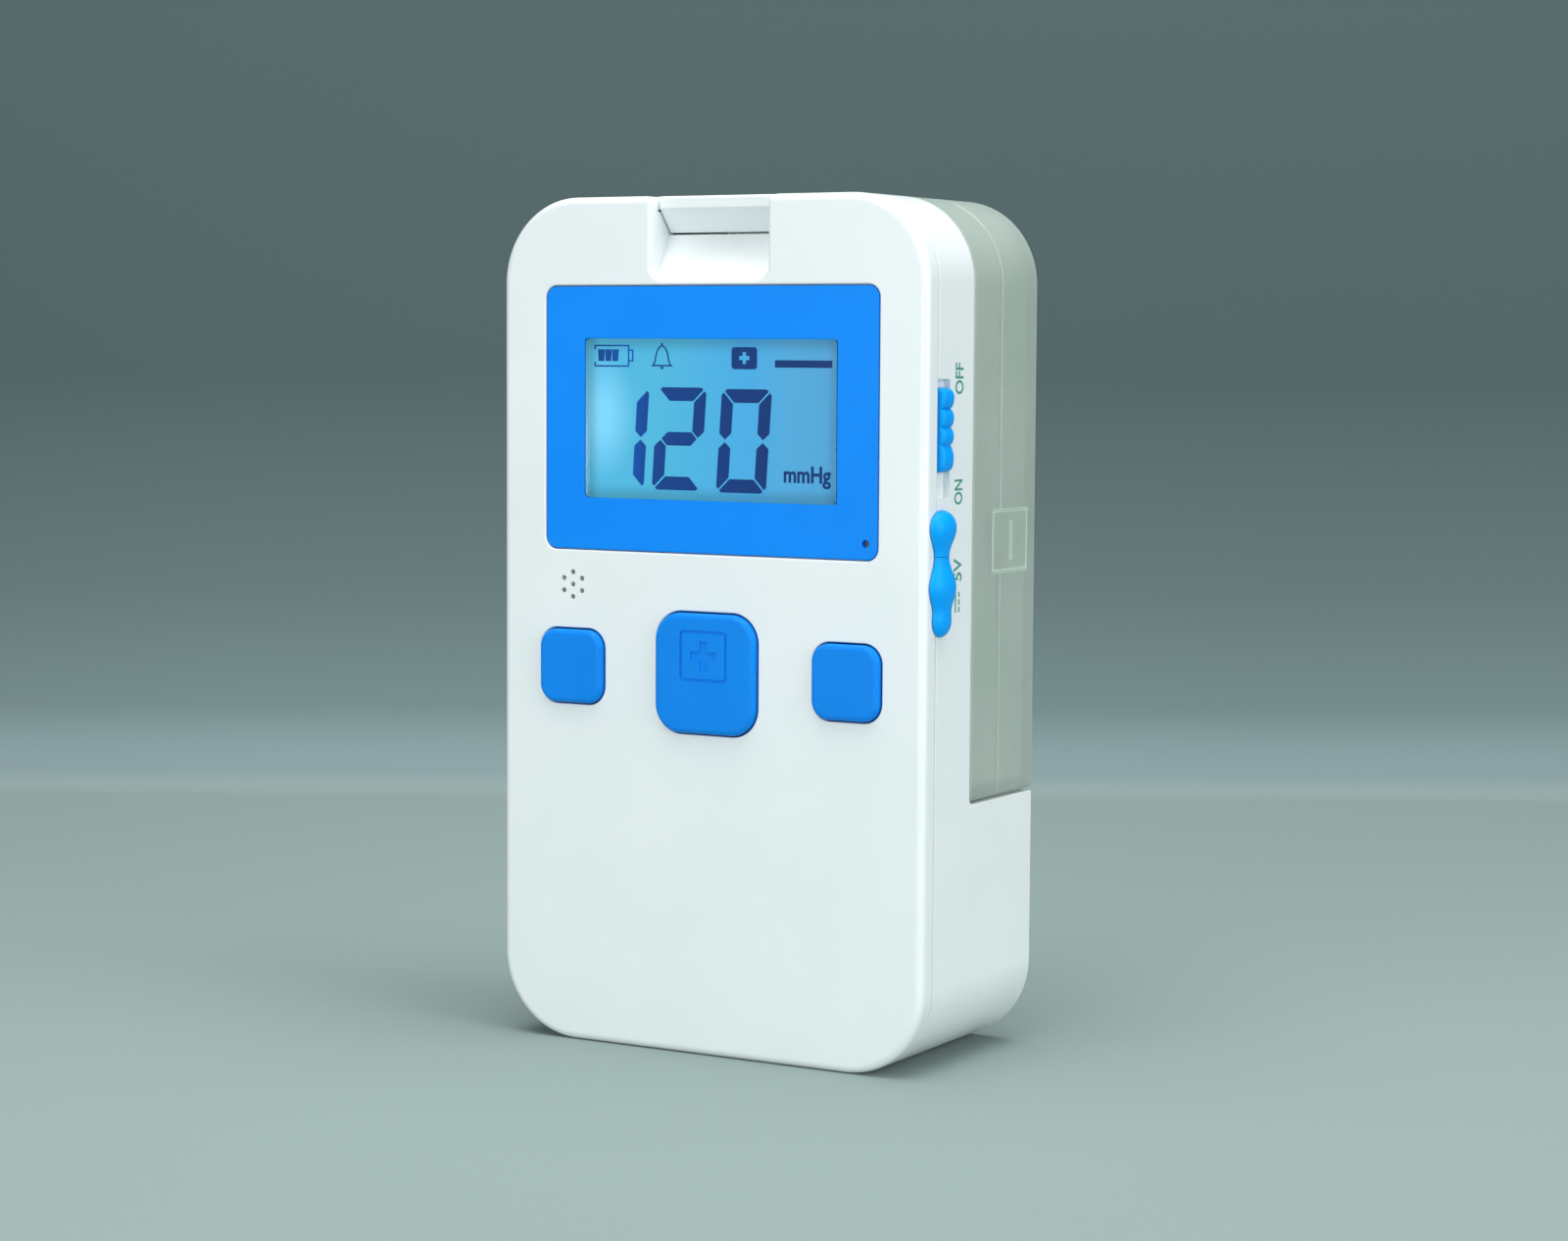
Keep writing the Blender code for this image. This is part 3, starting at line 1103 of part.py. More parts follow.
def make_motor(maker, steel, black, copper, rubber):
    can = maker.part("motor_can", plate(motor_outline(0.0), X, MOTOR_LEFT, MOTOR_RIGHT), steel)
    maker.cut(can, "motor_inside", plate(motor_outline(-MOTOR_WALL), X, MOTOR_LEFT + MOTOR_WALL,
                                         MOTOR_RIGHT + OVERRUN))
    hole = rod((MOTOR_LEFT - OVERRUN, MOTOR_DEPTH, MOTOR_Z), MOTOR_WALL + 2 * OVERRUN,
               SHAFT_RADIUS + CLEARANCE, X)
    maker.cut(can, "motor_shaft_hole", hole)
    maker.part("motor_end_cap", plate(motor_outline(0.0), X, MOTOR_RIGHT + CLEARANCE,
                                      MOTOR_RIGHT + CLEARANCE + END_CAP_THICKNESS), black)
    armature_left = (MOTOR_LEFT + MOTOR_RIGHT - ARMATURE_LENGTH) / 2
    armature = maker.part("motor_armature", rod((armature_left, MOTOR_DEPTH, MOTOR_Z), ARMATURE_LENGTH,
                                                ARMATURE_RADIUS, X, ROUND), copper,
                          (armature_left, MOTOR_DEPTH, MOTOR_Z))
    maker.cut(armature, "armature_bore", rod((armature_left - OVERRUN, MOTOR_DEPTH, MOTOR_Z),
                                             ARMATURE_LENGTH + 2 * OVERRUN, SHAFT_RADIUS + SHAFT_GAP, X))
    shaft_left = HUB_LEFT + HUB_FLOOR + SHAFT_GAP
    maker.part("motor_shaft", rod((shaft_left, MOTOR_DEPTH, MOTOR_Z), MOTOR_RIGHT - shaft_left,
                                  SHAFT_RADIUS, X), steel, (shaft_left, MOTOR_DEPTH, MOTOR_Z))
    middle = (MOTOR_LEFT + MOTOR_RIGHT) / 2
    sleeve = maker.part("motor_sleeve", plate(motor_outline(CLEARANCE + SLEEVE_WALL), X,
                                              middle - SLEEVE_LENGTH / 2, middle + SLEEVE_LENGTH / 2), rubber)
    maker.cut(sleeve, "sleeve_inside", plate(motor_outline(CLEARANCE), X,
                                             middle - SLEEVE_LENGTH, middle + SLEEVE_LENGTH))


def make_crank(maker, brass, nylon):
    """The hub on the motor's shaft, its offset pin, and the rod that works the diaphragm."""
    hub = maker.part("eccentric_hub", rod((HUB_LEFT, MOTOR_DEPTH, MOTOR_Z), HUB_LENGTH, HUB_RADIUS, X, ROUND),
                     brass, (HUB_LEFT, MOTOR_DEPTH, MOTOR_Z))
    maker.cut(hub, "hub_bore", rod((HUB_LEFT + HUB_FLOOR, MOTOR_DEPTH, MOTOR_Z), HUB_LENGTH, SHAFT_RADIUS + SHAFT_GAP, X))
    pin_z = MOTOR_Z + CRANK_THROW
    maker.join(hub, "crank_pin", rod((HUB_LEFT - CRANK_PIN_LENGTH, MOTOR_DEPTH, pin_z),
                                     CRANK_PIN_LENGTH + HUB_FLOOR / 2, CRANK_PIN_RADIUS, X))
    eye = CRANK_PIN_RADIUS + SHAFT_GAP + ROD_EYE_WALL
    rod_right = HUB_LEFT - CLEARANCE
    rod_left = rod_right - ROD_THICKNESS
    con_rod = maker.part("connecting_rod", rod((rod_left, MOTOR_DEPTH, pin_z), ROD_THICKNESS, eye, X, ROUND),
                         nylon, (rod_left, MOTOR_DEPTH, pin_z))
    foot_front = CRANKCASE_FRONT_DEPTH + CRANK_THROW
    maker.join(con_rod, "rod_arm", box((rod_left, foot_front + ROD_FOOT_THICKNESS / 2, pin_z - ROD_ARM_WIDTH / 2),
                                       (rod_right, MOTOR_DEPTH - CRANK_PIN_RADIUS, pin_z + ROD_ARM_WIDTH / 2)))
    middle = (rod_left + rod_right) / 2
    maker.join(con_rod, "rod_foot", box(
        (middle - ROD_FOOT_WIDTH / 2, foot_front, pin_z - ROD_FOOT_WIDTH / 2),
        (middle + ROD_FOOT_WIDTH / 2, foot_front + ROD_FOOT_THICKNESS, pin_z + ROD_FOOT_WIDTH / 2)))
    maker.cut(con_rod, "rod_eye", rod((rod_left - OVERRUN, MOTOR_DEPTH, pin_z), ROD_THICKNESS + 2 * OVERRUN,
                                      CRANK_PIN_RADIUS + SHAFT_GAP, X))


def head_slab(near, far):
    """A plate of the pump head's stack, with the crankcase's outline."""
    return slab((CRANKCASE_LEFT, near, CRANKCASE_BOTTOM), (CRANKCASE_RIGHT, far, CRANKCASE_TOP),
                CRANKCASE_EDGE, steps=FILLET_STEPS)


def pump_screw_places():
    """The two opposite corners of the pump head that its screws hold, (name, x, z)."""
    return (("upper", CRANKCASE_LEFT + PUMP_SCREW_INSET, CRANKCASE_TOP - PUMP_SCREW_INSET),
            ("lower", CRANKCASE_RIGHT - PUMP_SCREW_INSET, CRANKCASE_BOTTOM + PUMP_SCREW_INSET))


def drill_head(maker, target, near, far):
    """The pump screws' holes through one plate of the stack."""
    for name, x, z in pump_screw_places():
        hole = rod((x, near, z), far - near, PUMP_SCREW_RADIUS + SHAFT_GAP, Y, 8)
        maker.cut(target, target.name + "_hole_" + name, hole)


def make_pump_head(maker, black, rubber, nylon, steel):
    back = MOTOR_DEPTH + CRANKCASE_HEIGHT / 2
    crankcase = maker.part("crankcase", head_slab(CRANKCASE_FRONT_DEPTH, back), black)
    inset = CRANKCASE_WALL
    chamber = slab((CRANKCASE_LEFT + inset, CRANKCASE_FRONT_DEPTH - OVERRUN, CRANKCASE_BOTTOM + inset),
                   (CRANKCASE_RIGHT - inset, back - inset, CRANKCASE_TOP - inset),
                   PUMP_SCREW_INSET + PUMP_SCREW_RADIUS, steps=FILLET_STEPS)
    maker.cut(crankcase, "crank_chamber", chamber)
    maker.cut(crankcase, "crankcase_shaft_hole", rod(
        (CRANKCASE_RIGHT - inset - OVERRUN, MOTOR_DEPTH, MOTOR_Z), inset + 2 * OVERRUN, SHAFT_HOLE_RADIUS, X))
    screw_end = CRANKCASE_FRONT_DEPTH + PUMP_SCREW_INSET
    drill_head(maker, crankcase, CRANKCASE_FRONT_DEPTH - OVERRUN, screw_end + CLEARANCE)
    diaphragm_back = DIAPHRAGM_FRONT + DIAPHRAGM_THICKNESS
    diaphragm = maker.part("pump_diaphragm", head_slab(DIAPHRAGM_FRONT, diaphragm_back), rubber)
    groove = rod((CRANKCASE_X, diaphragm_back - DIAPHRAGM_GROOVE, MOTOR_Z), DIAPHRAGM_GROOVE + OVERRUN,
                 CRANKCASE_LENGTH / 2 - inset, Y, ROUND)
    groove_tool = maker.tool("diaphragm_groove", groove)
    maker.cut(groove_tool, "diaphragm_boss", rod(
        (CRANKCASE_X, DIAPHRAGM_FRONT, MOTOR_Z), DIAPHRAGM_THICKNESS + 2 * OVERRUN, ROD_FOOT_WIDTH / 2, Y, ROUND))
    maker.combine(diaphragm, groove_tool, "DIFFERENCE")
    drill_head(maker, diaphragm, DIAPHRAGM_FRONT - OVERRUN, diaphragm_back + OVERRUN)
    plate_back = VALVE_PLATE_FRONT + VALVE_PLATE_THICKNESS
    valve_plate = maker.part("valve_plate", head_slab(VALVE_PLATE_FRONT, plate_back), nylon)
    for side in (-1, 1):
        hole = rod((CRANKCASE_X + side * PORT_PITCH / 2, VALVE_PLATE_FRONT - OVERRUN, MOTOR_Z),
                   VALVE_PLATE_THICKNESS + 2 * OVERRUN, VALVE_HOLE_RADIUS, Y, 8)
        maker.cut(valve_plate, "valve_hole", hole)
    drill_head(maker, valve_plate, VALVE_PLATE_FRONT - OVERRUN, plate_back + OVERRUN)
    sheet = maker.part("valve_sheet", head_slab(VALVE_SHEET_FRONT, VALVE_SHEET_FRONT + VALVE_SHEET_THICKNESS),
                       rubber)
    drill_head(maker, sheet, VALVE_SHEET_FRONT - OVERRUN, VALVE_PLATE_FRONT)
    head = maker.part("pump_head_cover", head_slab(HEAD_FRONT, HEAD_BACK), black)
    for side in (-1, 1):
        x = CRANKCASE_X + side * PORT_PITCH / 2
        nipple = rod((x, NIPPLE_DEPTH, CRANKCASE_TOP - CRANKCASE_WALL), CRANKCASE_WALL + NIPPLE_LENGTH,
                     NIPPLE_RADIUS, Z)
        maker.join(head, "head_nipple", nipple)
    drill_head(maker, head, HEAD_FRONT - OVERRUN, HEAD_BACK + OVERRUN)
    profile = ((0.0, screw_end - HEAD_FRONT), (PUMP_SCREW_RADIUS, screw_end - HEAD_FRONT),
               (PUMP_SCREW_RADIUS, -SEAM), (PUMP_SCREW_HEAD_RADIUS, -SEAM),
               (PUMP_SCREW_HEAD_RADIUS, -SEAM - PUMP_SCREW_HEAD_HEIGHT),
               (0.0, -SEAM - PUMP_SCREW_HEAD_HEIGHT))
    for name, x, z in pump_screw_places():
        maker.turned("pump_screw_" + name, profile, Y, (x, HEAD_FRONT, z), steel, 8)


def make_air_line(maker, silicone, nylon, black, foam, rubber):
    """From the pump up to the canister's port, with the pressure sensor beside it, and the exhaust."""
    half = MANIFOLD_SIZE / 2
    manifold = maker.part("vacuum_manifold", box(
        (MANIFOLD_X - half, MANIFOLD_FRONT, MANIFOLD_BOTTOM),
        (MANIFOLD_X + half, MANIFOLD_BACK, MANIFOLD_Z + half)), nylon)
    spigot_end = CANISTER_FRONT + SPIGOT_REACH
    maker.join(manifold, "spigot", rod((MANIFOLD_X, MANIFOLD_BACK - OVERRUN, MANIFOLD_Z),
                                       spigot_end - MANIFOLD_BACK + OVERRUN, SPIGOT_RADIUS, Y, ROUND))
    maker.cut(manifold, "spigot_bore", rod((MANIFOLD_X, MANIFOLD_FRONT + OVERRUN, MANIFOLD_Z),
                                           spigot_end - MANIFOLD_FRONT, SPIGOT_BORE, Y))
    seal_start = CANISTER_FRONT + SEAM
    inner = SPIGOT_RADIUS + SEAL_GAP
    outer = inner + 2 * SEAL_WALL
    seal_length = SPIGOT_REACH - 2 * SEAM
    maker.turned("port_seal", ((inner, seal_length), (outer, seal_length), (outer, 0.0), (inner, 0.0)),
                 Y, (MANIFOLD_X, seal_start, MANIFOLD_Z), rubber)
    sensor_right = MANIFOLD_X + half + CLEARANCE + SENSOR_NIPPLE_LENGTH + SENSOR_SIZE
    sensor_left = sensor_right - SENSOR_SIZE
    sensor_z = MANIFOLD_Z - SENSOR_LOWER
    sensor_front = BOARD_BACK + CLEARANCE
    sensor = maker.part("pressure_sensor", box(
        (sensor_left, sensor_front, sensor_z - SENSOR_SIZE / 2),
        (sensor_right, sensor_front + SENSOR_THICKNESS, sensor_z + SENSOR_SIZE / 2 - SENSOR_LOWER)), black)
    maker.join(sensor, "sensor_nipple", rod(
        (sensor_left - SENSOR_NIPPLE_LENGTH, sensor_front + SENSOR_THICKNESS / 2, sensor_z - SENSOR_LOWER / 2),
        SENSOR_NIPPLE_LENGTH + SENSOR_THICKNESS / 2, SENSOR_NIPPLE_RADIUS, X, 8))
    inlet = CRANKCASE_X - PORT_PITCH / 2
    outlet = CRANKCASE_X + PORT_PITCH / 2
    start = NIPPLE_TOP + CLEARANCE
    rise = BOARD_BOTTOM - start
    suction = smooth_route([
        (inlet, NIPPLE_DEPTH, start), (inlet, NIPPLE_DEPTH, start + rise / 4),
        (inlet, (NIPPLE_DEPTH + TUBE_DEPTH) / 2, start + rise * 2 / 3),
        (inlet, TUBE_DEPTH, BOARD_BOTTOM + TUBE_RADIUS),
        (MANIFOLD_X, TUBE_DEPTH, (BOARD_BOTTOM + MANIFOLD_BOTTOM) / 2),
        (MANIFOLD_X, TUBE_DEPTH, MANIFOLD_BOTTOM - TUBE_RADIUS),
        (MANIFOLD_X, TUBE_DEPTH, MANIFOLD_BOTTOM - CLEARANCE)], 3)
    maker.wire("suction_tube", suction, TUBE_RADIUS, silicone)
    silencer_z = LEDGE_HEIGHT + SILENCER_RISE
    silencer_depth = UPPER_INNER - CLEARANCE - SILENCER_RADIUS
    silencer_left = outlet + 2 * SILENCER_RADIUS + TUBE_RADIUS
    exhaust = smooth_route([
        (outlet, NIPPLE_DEPTH, start), (outlet, NIPPLE_DEPTH, start + TUBE_RADIUS / 2),
        (outlet + TUBE_RADIUS, (NIPPLE_DEPTH + silencer_depth) / 2, silencer_z - TUBE_RADIUS / 4),
        (silencer_left - CLEARANCE - TUBE_RADIUS / 2, silencer_depth, silencer_z),
        (silencer_left - CLEARANCE, silencer_depth, silencer_z)], 3)
    maker.wire("exhaust_tube", exhaust, TUBE_RADIUS, silicone)
    maker.part("exhaust_silencer", rod((silencer_left, silencer_depth, silencer_z), SILENCER_LENGTH,
                                       SILENCER_RADIUS, X), foam)


def make_leads(maker, red, black):
    """The battery's and the motor's leads, from their ends to the back of the board."""
    board = BOARD_BACK + CLEARANCE + WIRE_RADIUS / 2
    forward = UPPER_INNER - LEAD_BEND
    landing = BOARD_BOTTOM + STANDOFF_RADIUS
    cell_end = CELL_LENGTH / 2 + CLEARANCE
    battery_landing = BOARD_WIDTH / 2 - LEAD_LANDING_INSET
    motor_landing = battery_landing - LEAD_LANDING_PITCH
    turn = SCREW_X - POST_RADIUS - 2 * WIRE_RADIUS
    maker.wire("battery_lead", smooth_route([
        (cell_end, CELL_DEPTH - CELL_RADIUS / 2, CELL_Z),
        (cell_end + WIRE_RADIUS, CELL_DEPTH - CELL_RADIUS / 2, CELL_Z),
        (cell_end + LEAD_BEND, CELL_DEPTH - CELL_RADIUS, CELL_Z + CELL_RADIUS / 2),
        (turn, forward, CELL_Z + CELL_RADIUS),
        (turn, forward, LEDGE_HEIGHT - LEAD_BEND),
        (turn - LEAD_BEND / 2, forward, LEDGE_HEIGHT),
        (battery_landing, forward, landing),
        (battery_landing, board, landing + WIRE_RADIUS)], 3), WIRE_RADIUS, red)
    cap_end = MOTOR_RIGHT + CLEARANCE + END_CAP_THICKNESS + CLEARANCE
    turn = cap_end + LEAD_BEND
    maker.wire("motor_lead", smooth_route([
        (cap_end, MOTOR_DEPTH, MOTOR_Z),
        (cap_end + WIRE_RADIUS, MOTOR_DEPTH, MOTOR_Z),
        (turn, MOTOR_DEPTH - MOTOR_WIDTH / 4, MOTOR_Z),
        (turn, forward, MOTOR_Z + MOTOR_HEIGHT / 4),
        (turn, forward, LEDGE_HEIGHT - LEAD_BEND),
        (turn - LEAD_BEND / 2, forward, LEDGE_HEIGHT),
        (motor_landing, forward, landing),
        (motor_landing, board, landing + WIRE_RADIUS)], 3), WIRE_RADIUS, black)


def latch_outline():
    """The latch's side view, (depth, z): nose, slanted underside, plate, and tongue to the canister."""
    plate_bottom = HEIGHT - LATCH_PLATE
    tail = LATCH_PIN_DEPTH + LATCH_BARREL_RADIUS - LATCH_TAIL_INSET
    tongue_end = CANISTER_FRONT + TONGUE_REACH
    tongue_top = LATCH_PIN_HEIGHT
    tongue_bottom = tongue_top - TONGUE_THICKNESS
    return {
        "plate": rounded_outline([
            (NOSE_DEPTH, HEIGHT, NOSE_EDGE), (NOSE_DEPTH, HEIGHT - NOSE_HEIGHT, SEAM),
            (SCOOP_DEPTH, LIP_HEIGHT, SEAM), (SCOOP_DEPTH + LIP_FLAT, LIP_HEIGHT, 0.0),
            (SCOOP_DEPTH + LIP_FLAT, plate_bottom, 0.0), (tail, plate_bottom, 0.0),
            (tail, HEIGHT, SEAM)], FILLET_STEPS),
        "tongue": [Vector((LATCH_PIN_DEPTH, tongue_bottom)), Vector((tongue_end, tongue_bottom)),
                   Vector((tongue_end, tongue_top)), Vector((LATCH_PIN_DEPTH, tongue_top))]}


def make_latch(maker, white, steel):
    half = RECESS_WIDTH / 2 - LATCH_GAP
    outlines = latch_outline()
    latch = maker.part("release_latch", plate(outlines["plate"], X, -half, half), white,
                       (0.0, LATCH_PIN_DEPTH, LATCH_PIN_HEIGHT))
    maker.join(latch, "latch_barrel", rod((-half, LATCH_PIN_DEPTH, LATCH_PIN_HEIGHT), 2 * half,
                                          LATCH_BARREL_RADIUS, X, ROUND))
    maker.join(latch, "latch_tongue", plate(outlines["tongue"], X, -TONGUE_WIDTH / 2, TONGUE_WIDTH / 2))
    maker.cut(latch, "latch_bore", rod((-half - OVERRUN, LATCH_PIN_DEPTH, LATCH_PIN_HEIGHT),
                                       2 * (half + OVERRUN), LATCH_PIN_RADIUS + LATCH_RUNNING, X))
    pin_half = RECESS_WIDTH / 2 + EAR_THICKNESS
    maker.part("latch_pin", rod((-pin_half, LATCH_PIN_DEPTH, LATCH_PIN_HEIGHT), 2 * pin_half,
                                LATCH_PIN_RADIUS, X), steel, (0.0, LATCH_PIN_DEPTH, LATCH_PIN_HEIGHT))


def canister_slab(near, far, inset):
    """The canister's outline between two depths: wide round corners above, small ones at its foot."""
    bottom = CANISTER_BOTTOM + inset
    shape = box((-SIDE + inset, near, bottom), (SIDE - inset, far, HEIGHT - inset))
    round_edges(shape, Y, CORNER_RADIUS - inset, CORNER_STEPS, at_canister_top)
    return round_edges(shape, Y, CANISTER_FOOT_RADIUS, FILLET_STEPS,
                       lambda middle: abs(middle[Z] - bottom) < TOUCH)


def clip_box(side, grow, thickness, out):
    """The side clip's place in the canister's wall, (grown by a gap for its pocket)."""
    inner = SIDE - thickness
    xs = sorted((side * inner, side * (SIDE + out)))
    return box((xs[0], CLIP_FRONT_DEPTH - grow, CLIP_TOP_HEIGHT - CLIP_HEIGHT - grow),
               (xs[1], CLIP_BACK_DEPTH + grow, CLIP_TOP_HEIGHT + grow))


def make_canister(maker, clear, white, filter_paper):
    split_front = CANISTER_SPLIT_DEPTH - SEAM / 2
    split_back = CANISTER_SPLIT_DEPTH + SEAM / 2
    middle = (0.0, CANISTER_FRONT, (CANISTER_BOTTOM + HEIGHT) / 2)
    front = maker.part("canister_front_shell", canister_slab(CANISTER_FRONT, split_front, 0.0), clear, middle)
    maker.cut(front, "front_shell_inside",
              canister_slab(CANISTER_FRONT + CANISTER_WALL, split_front + OVERRUN, CANISTER_WALL))
    ring_radius = FILTER_RADIUS + CLEARANCE
    ring_near = CANISTER_FRONT + CANISTER_WALL / 2
    ring_far = CANISTER_FRONT + CANISTER_WALL + CLEARANCE + FILTER_THICKNESS
    maker.join(front, "filter_ring", rod((MANIFOLD_X, ring_near, MANIFOLD_Z), ring_far - ring_near,
                                         ring_radius + FILTER_RING_WALL, Y, ROUND))
    filter_near = CANISTER_FRONT + CANISTER_WALL + TOUCH
    maker.cut(front, "filter_seat", rod((MANIFOLD_X, filter_near, MANIFOLD_Z), ring_far, ring_radius, Y, ROUND))
    maker.cut(front, "vacuum_socket", rod((MANIFOLD_X, CANISTER_FRONT - OVERRUN, MANIFOLD_Z),
                                          CANISTER_WALL + 2 * OVERRUN, SOCKET_RADIUS, Y, ROUND))
    maker.cut(front, "tongue_socket", tongue_slot(CANISTER_FRONT - OVERRUN,
                                                  CANISTER_FRONT + CANISTER_WALL + OVERRUN))
    back_shape = round_rim(canister_slab(split_back, DEPTH, 0.0), Y, 1, CANISTER_EDGE, FILLET_STEPS)
    back = maker.part("canister_rear_shell", back_shape, clear, middle)
    maker.cut(back, "rear_shell_inside",
              canister_slab(split_back - OVERRUN, CANISTER_INNER_BACK, CANISTER_WALL))
    for side, label in ((-1, "left"), (1, "right")):
        for shell in (front, back):
            pocket = clip_box(side, SLIDE_GAP, CLIP_THICKNESS + SLIDE_GAP, OVERRUN)
            maker.cut(shell, "clip_pocket", pocket)
        clip = maker.part("canister_clip_" + label, clip_box(side, 0.0, CLIP_THICKNESS, 0.0), clear,
                          (side * SIDE, CATCH_DEPTH, CLIP_TOP_HEIGHT))
        xs = sorted((side * (SIDE - CATCH_CUT), side * (SIDE + OVERRUN)))
        catch_z = CLIP_TOP_HEIGHT - CLIP_HEIGHT / 2
        maker.cut(clip, "catch_groove", box(
            (xs[0], CATCH_DEPTH - CATCH_WIDTH / 2, catch_z - CATCH_HEIGHT / 2),
            (xs[1], CATCH_DEPTH + CATCH_WIDTH / 2, catch_z + CATCH_HEIGHT / 2)))
    stem_hole = rod((-SIDE - OVERRUN, CONNECTOR_DEPTH, CONNECTOR_Z), CANISTER_WALL + 2 * OVERRUN,
                    CONNECTOR_STEM + CLEARANCE, X)
    maker.cut(back, "connector_hole", stem_hole)
    maker.part("canister_filter", rod((MANIFOLD_X, filter_near + SEAM, MANIFOLD_Z),
                                      FILTER_THICKNESS, FILTER_RADIUS, Y, ROUND), filter_paper,
               (MANIFOLD_X, CANISTER_FRONT, MANIFOLD_Z))
    barb_start = CONNECTOR_FLANGE_THICKNESS + SLIDE_GAP + CONNECTOR_LENGTH / 2
    profile = ((CONNECTOR_BORE, CANISTER_WALL), (CONNECTOR_STEM, CANISTER_WALL),
               (CONNECTOR_STEM, -SLIDE_GAP), (CONNECTOR_FLANGE, -SLIDE_GAP),
               (CONNECTOR_FLANGE, -SLIDE_GAP - CONNECTOR_FLANGE_THICKNESS),
               (CONNECTOR_TIP, -SLIDE_GAP - CONNECTOR_FLANGE_THICKNESS),
               (CONNECTOR_TIP, -barb_start), (CONNECTOR_BARB, -barb_start),
               (CONNECTOR_TIP, -CONNECTOR_LENGTH), (CONNECTOR_BORE, -CONNECTOR_LENGTH))
    maker.turned("tube_connector", profile, X, (-SIDE, CONNECTOR_DEPTH, CONNECTOR_Z), white)


def make_pump():
    clear_scene()
    maker = Maker()
    white = plastic("white_abs", (0.80, 0.86, 0.85), 0.25)
    blue = plastic("blue_abs", (0.01, 0.22, 0.78), 0.30)
    blue_rubber = plastic("blue_silicone", (0.01, 0.35, 0.85), 0.40)
    clear = plastic("clear_polycarbonate", (0.70, 0.80, 0.76), 0.15, alpha=0.35)
    lens = plastic("clear_acrylic", (0.85, 0.93, 0.96), 0.05, alpha=0.25)
    glass = plastic("lcd_glass", (0.25, 0.55, 0.72), 0.10)
    glow = plastic("light_guide", (0.60, 0.85, 0.95), 0.40)
    green = plastic("board_laminate", (0.02, 0.22, 0.08), 0.45)
    black = plastic("black_nylon", (0.02, 0.02, 0.022), 0.50)
    steel = plastic("steel", (0.60, 0.60, 0.62), 0.30, metallic=1.0)
    copper = plastic("copper_winding", (0.72, 0.30, 0.12), 0.35, metallic=1.0)
    brass = plastic("brass", (0.75, 0.55, 0.22), 0.30, metallic=1.0)
    nylon = plastic("natural_nylon", (0.85, 0.84, 0.78), 0.40)
    rubber = plastic("black_rubber", (0.03, 0.03, 0.03), 0.70)
    silicone = plastic("milky_silicone", (0.80, 0.83, 0.84), 0.45)
    foam = plastic("white_foam", (0.85, 0.85, 0.83), 0.90)
    wrap = plastic("cell_wrap", (0.05, 0.25, 0.12), 0.35)
    red = plastic("red_insulation", (0.55, 0.03, 0.03), 0.40)
    make_front_cover(maker, white)
    make_rear_housing(maker, white)
    make_display(maker, blue, lens, glass, glow, red)
    make_board(maker, green, black)
    make_buttons(maker, blue, steel, black)
    make_power_switch(maker, blue, steel, black)
    make_jack(maker, black)
    make_port_cover(maker, blue_rubber)
    make_case_screws(maker, steel)
    make_battery(maker, wrap)
    make_motor(maker, steel, black, copper, rubber)
    make_crank(maker, brass, nylon)
    make_pump_head(maker, black, rubber, nylon, steel)
    make_air_line(maker, silicone, nylon, black, foam, rubber)
    make_leads(maker, red, black)
    make_latch(maker, white, steel)
    make_canister(maker, clear, white, foam)


make_pump()
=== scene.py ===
"""Looks of a hand-held negative pressure wound therapy pump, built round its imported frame.

Metres, +Z up. The display faces -Y and the switch side is +X.
A depth is measured back from the front face, and a place is written (x, depth, z).
"""
import math

import bmesh
import bpy
from mathutils import Matrix, Vector


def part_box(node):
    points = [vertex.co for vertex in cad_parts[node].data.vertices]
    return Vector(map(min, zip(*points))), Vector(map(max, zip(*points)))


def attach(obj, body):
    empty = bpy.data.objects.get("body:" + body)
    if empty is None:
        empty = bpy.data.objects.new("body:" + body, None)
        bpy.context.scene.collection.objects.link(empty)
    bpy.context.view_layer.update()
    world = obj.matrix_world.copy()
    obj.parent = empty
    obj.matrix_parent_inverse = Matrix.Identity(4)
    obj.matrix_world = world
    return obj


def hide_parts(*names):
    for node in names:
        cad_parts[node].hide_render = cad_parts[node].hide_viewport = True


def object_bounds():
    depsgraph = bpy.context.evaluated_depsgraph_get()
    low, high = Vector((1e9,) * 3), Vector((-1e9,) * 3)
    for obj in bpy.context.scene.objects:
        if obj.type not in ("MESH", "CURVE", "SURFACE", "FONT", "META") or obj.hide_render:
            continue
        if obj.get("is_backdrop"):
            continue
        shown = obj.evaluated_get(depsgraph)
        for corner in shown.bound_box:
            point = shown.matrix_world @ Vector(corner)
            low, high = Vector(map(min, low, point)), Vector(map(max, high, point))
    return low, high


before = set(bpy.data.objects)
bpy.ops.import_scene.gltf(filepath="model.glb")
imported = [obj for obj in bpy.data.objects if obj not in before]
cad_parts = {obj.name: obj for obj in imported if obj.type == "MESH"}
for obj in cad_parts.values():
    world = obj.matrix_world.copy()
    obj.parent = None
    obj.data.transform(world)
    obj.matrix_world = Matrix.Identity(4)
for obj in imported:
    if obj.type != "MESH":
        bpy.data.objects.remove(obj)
CAD_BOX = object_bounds()

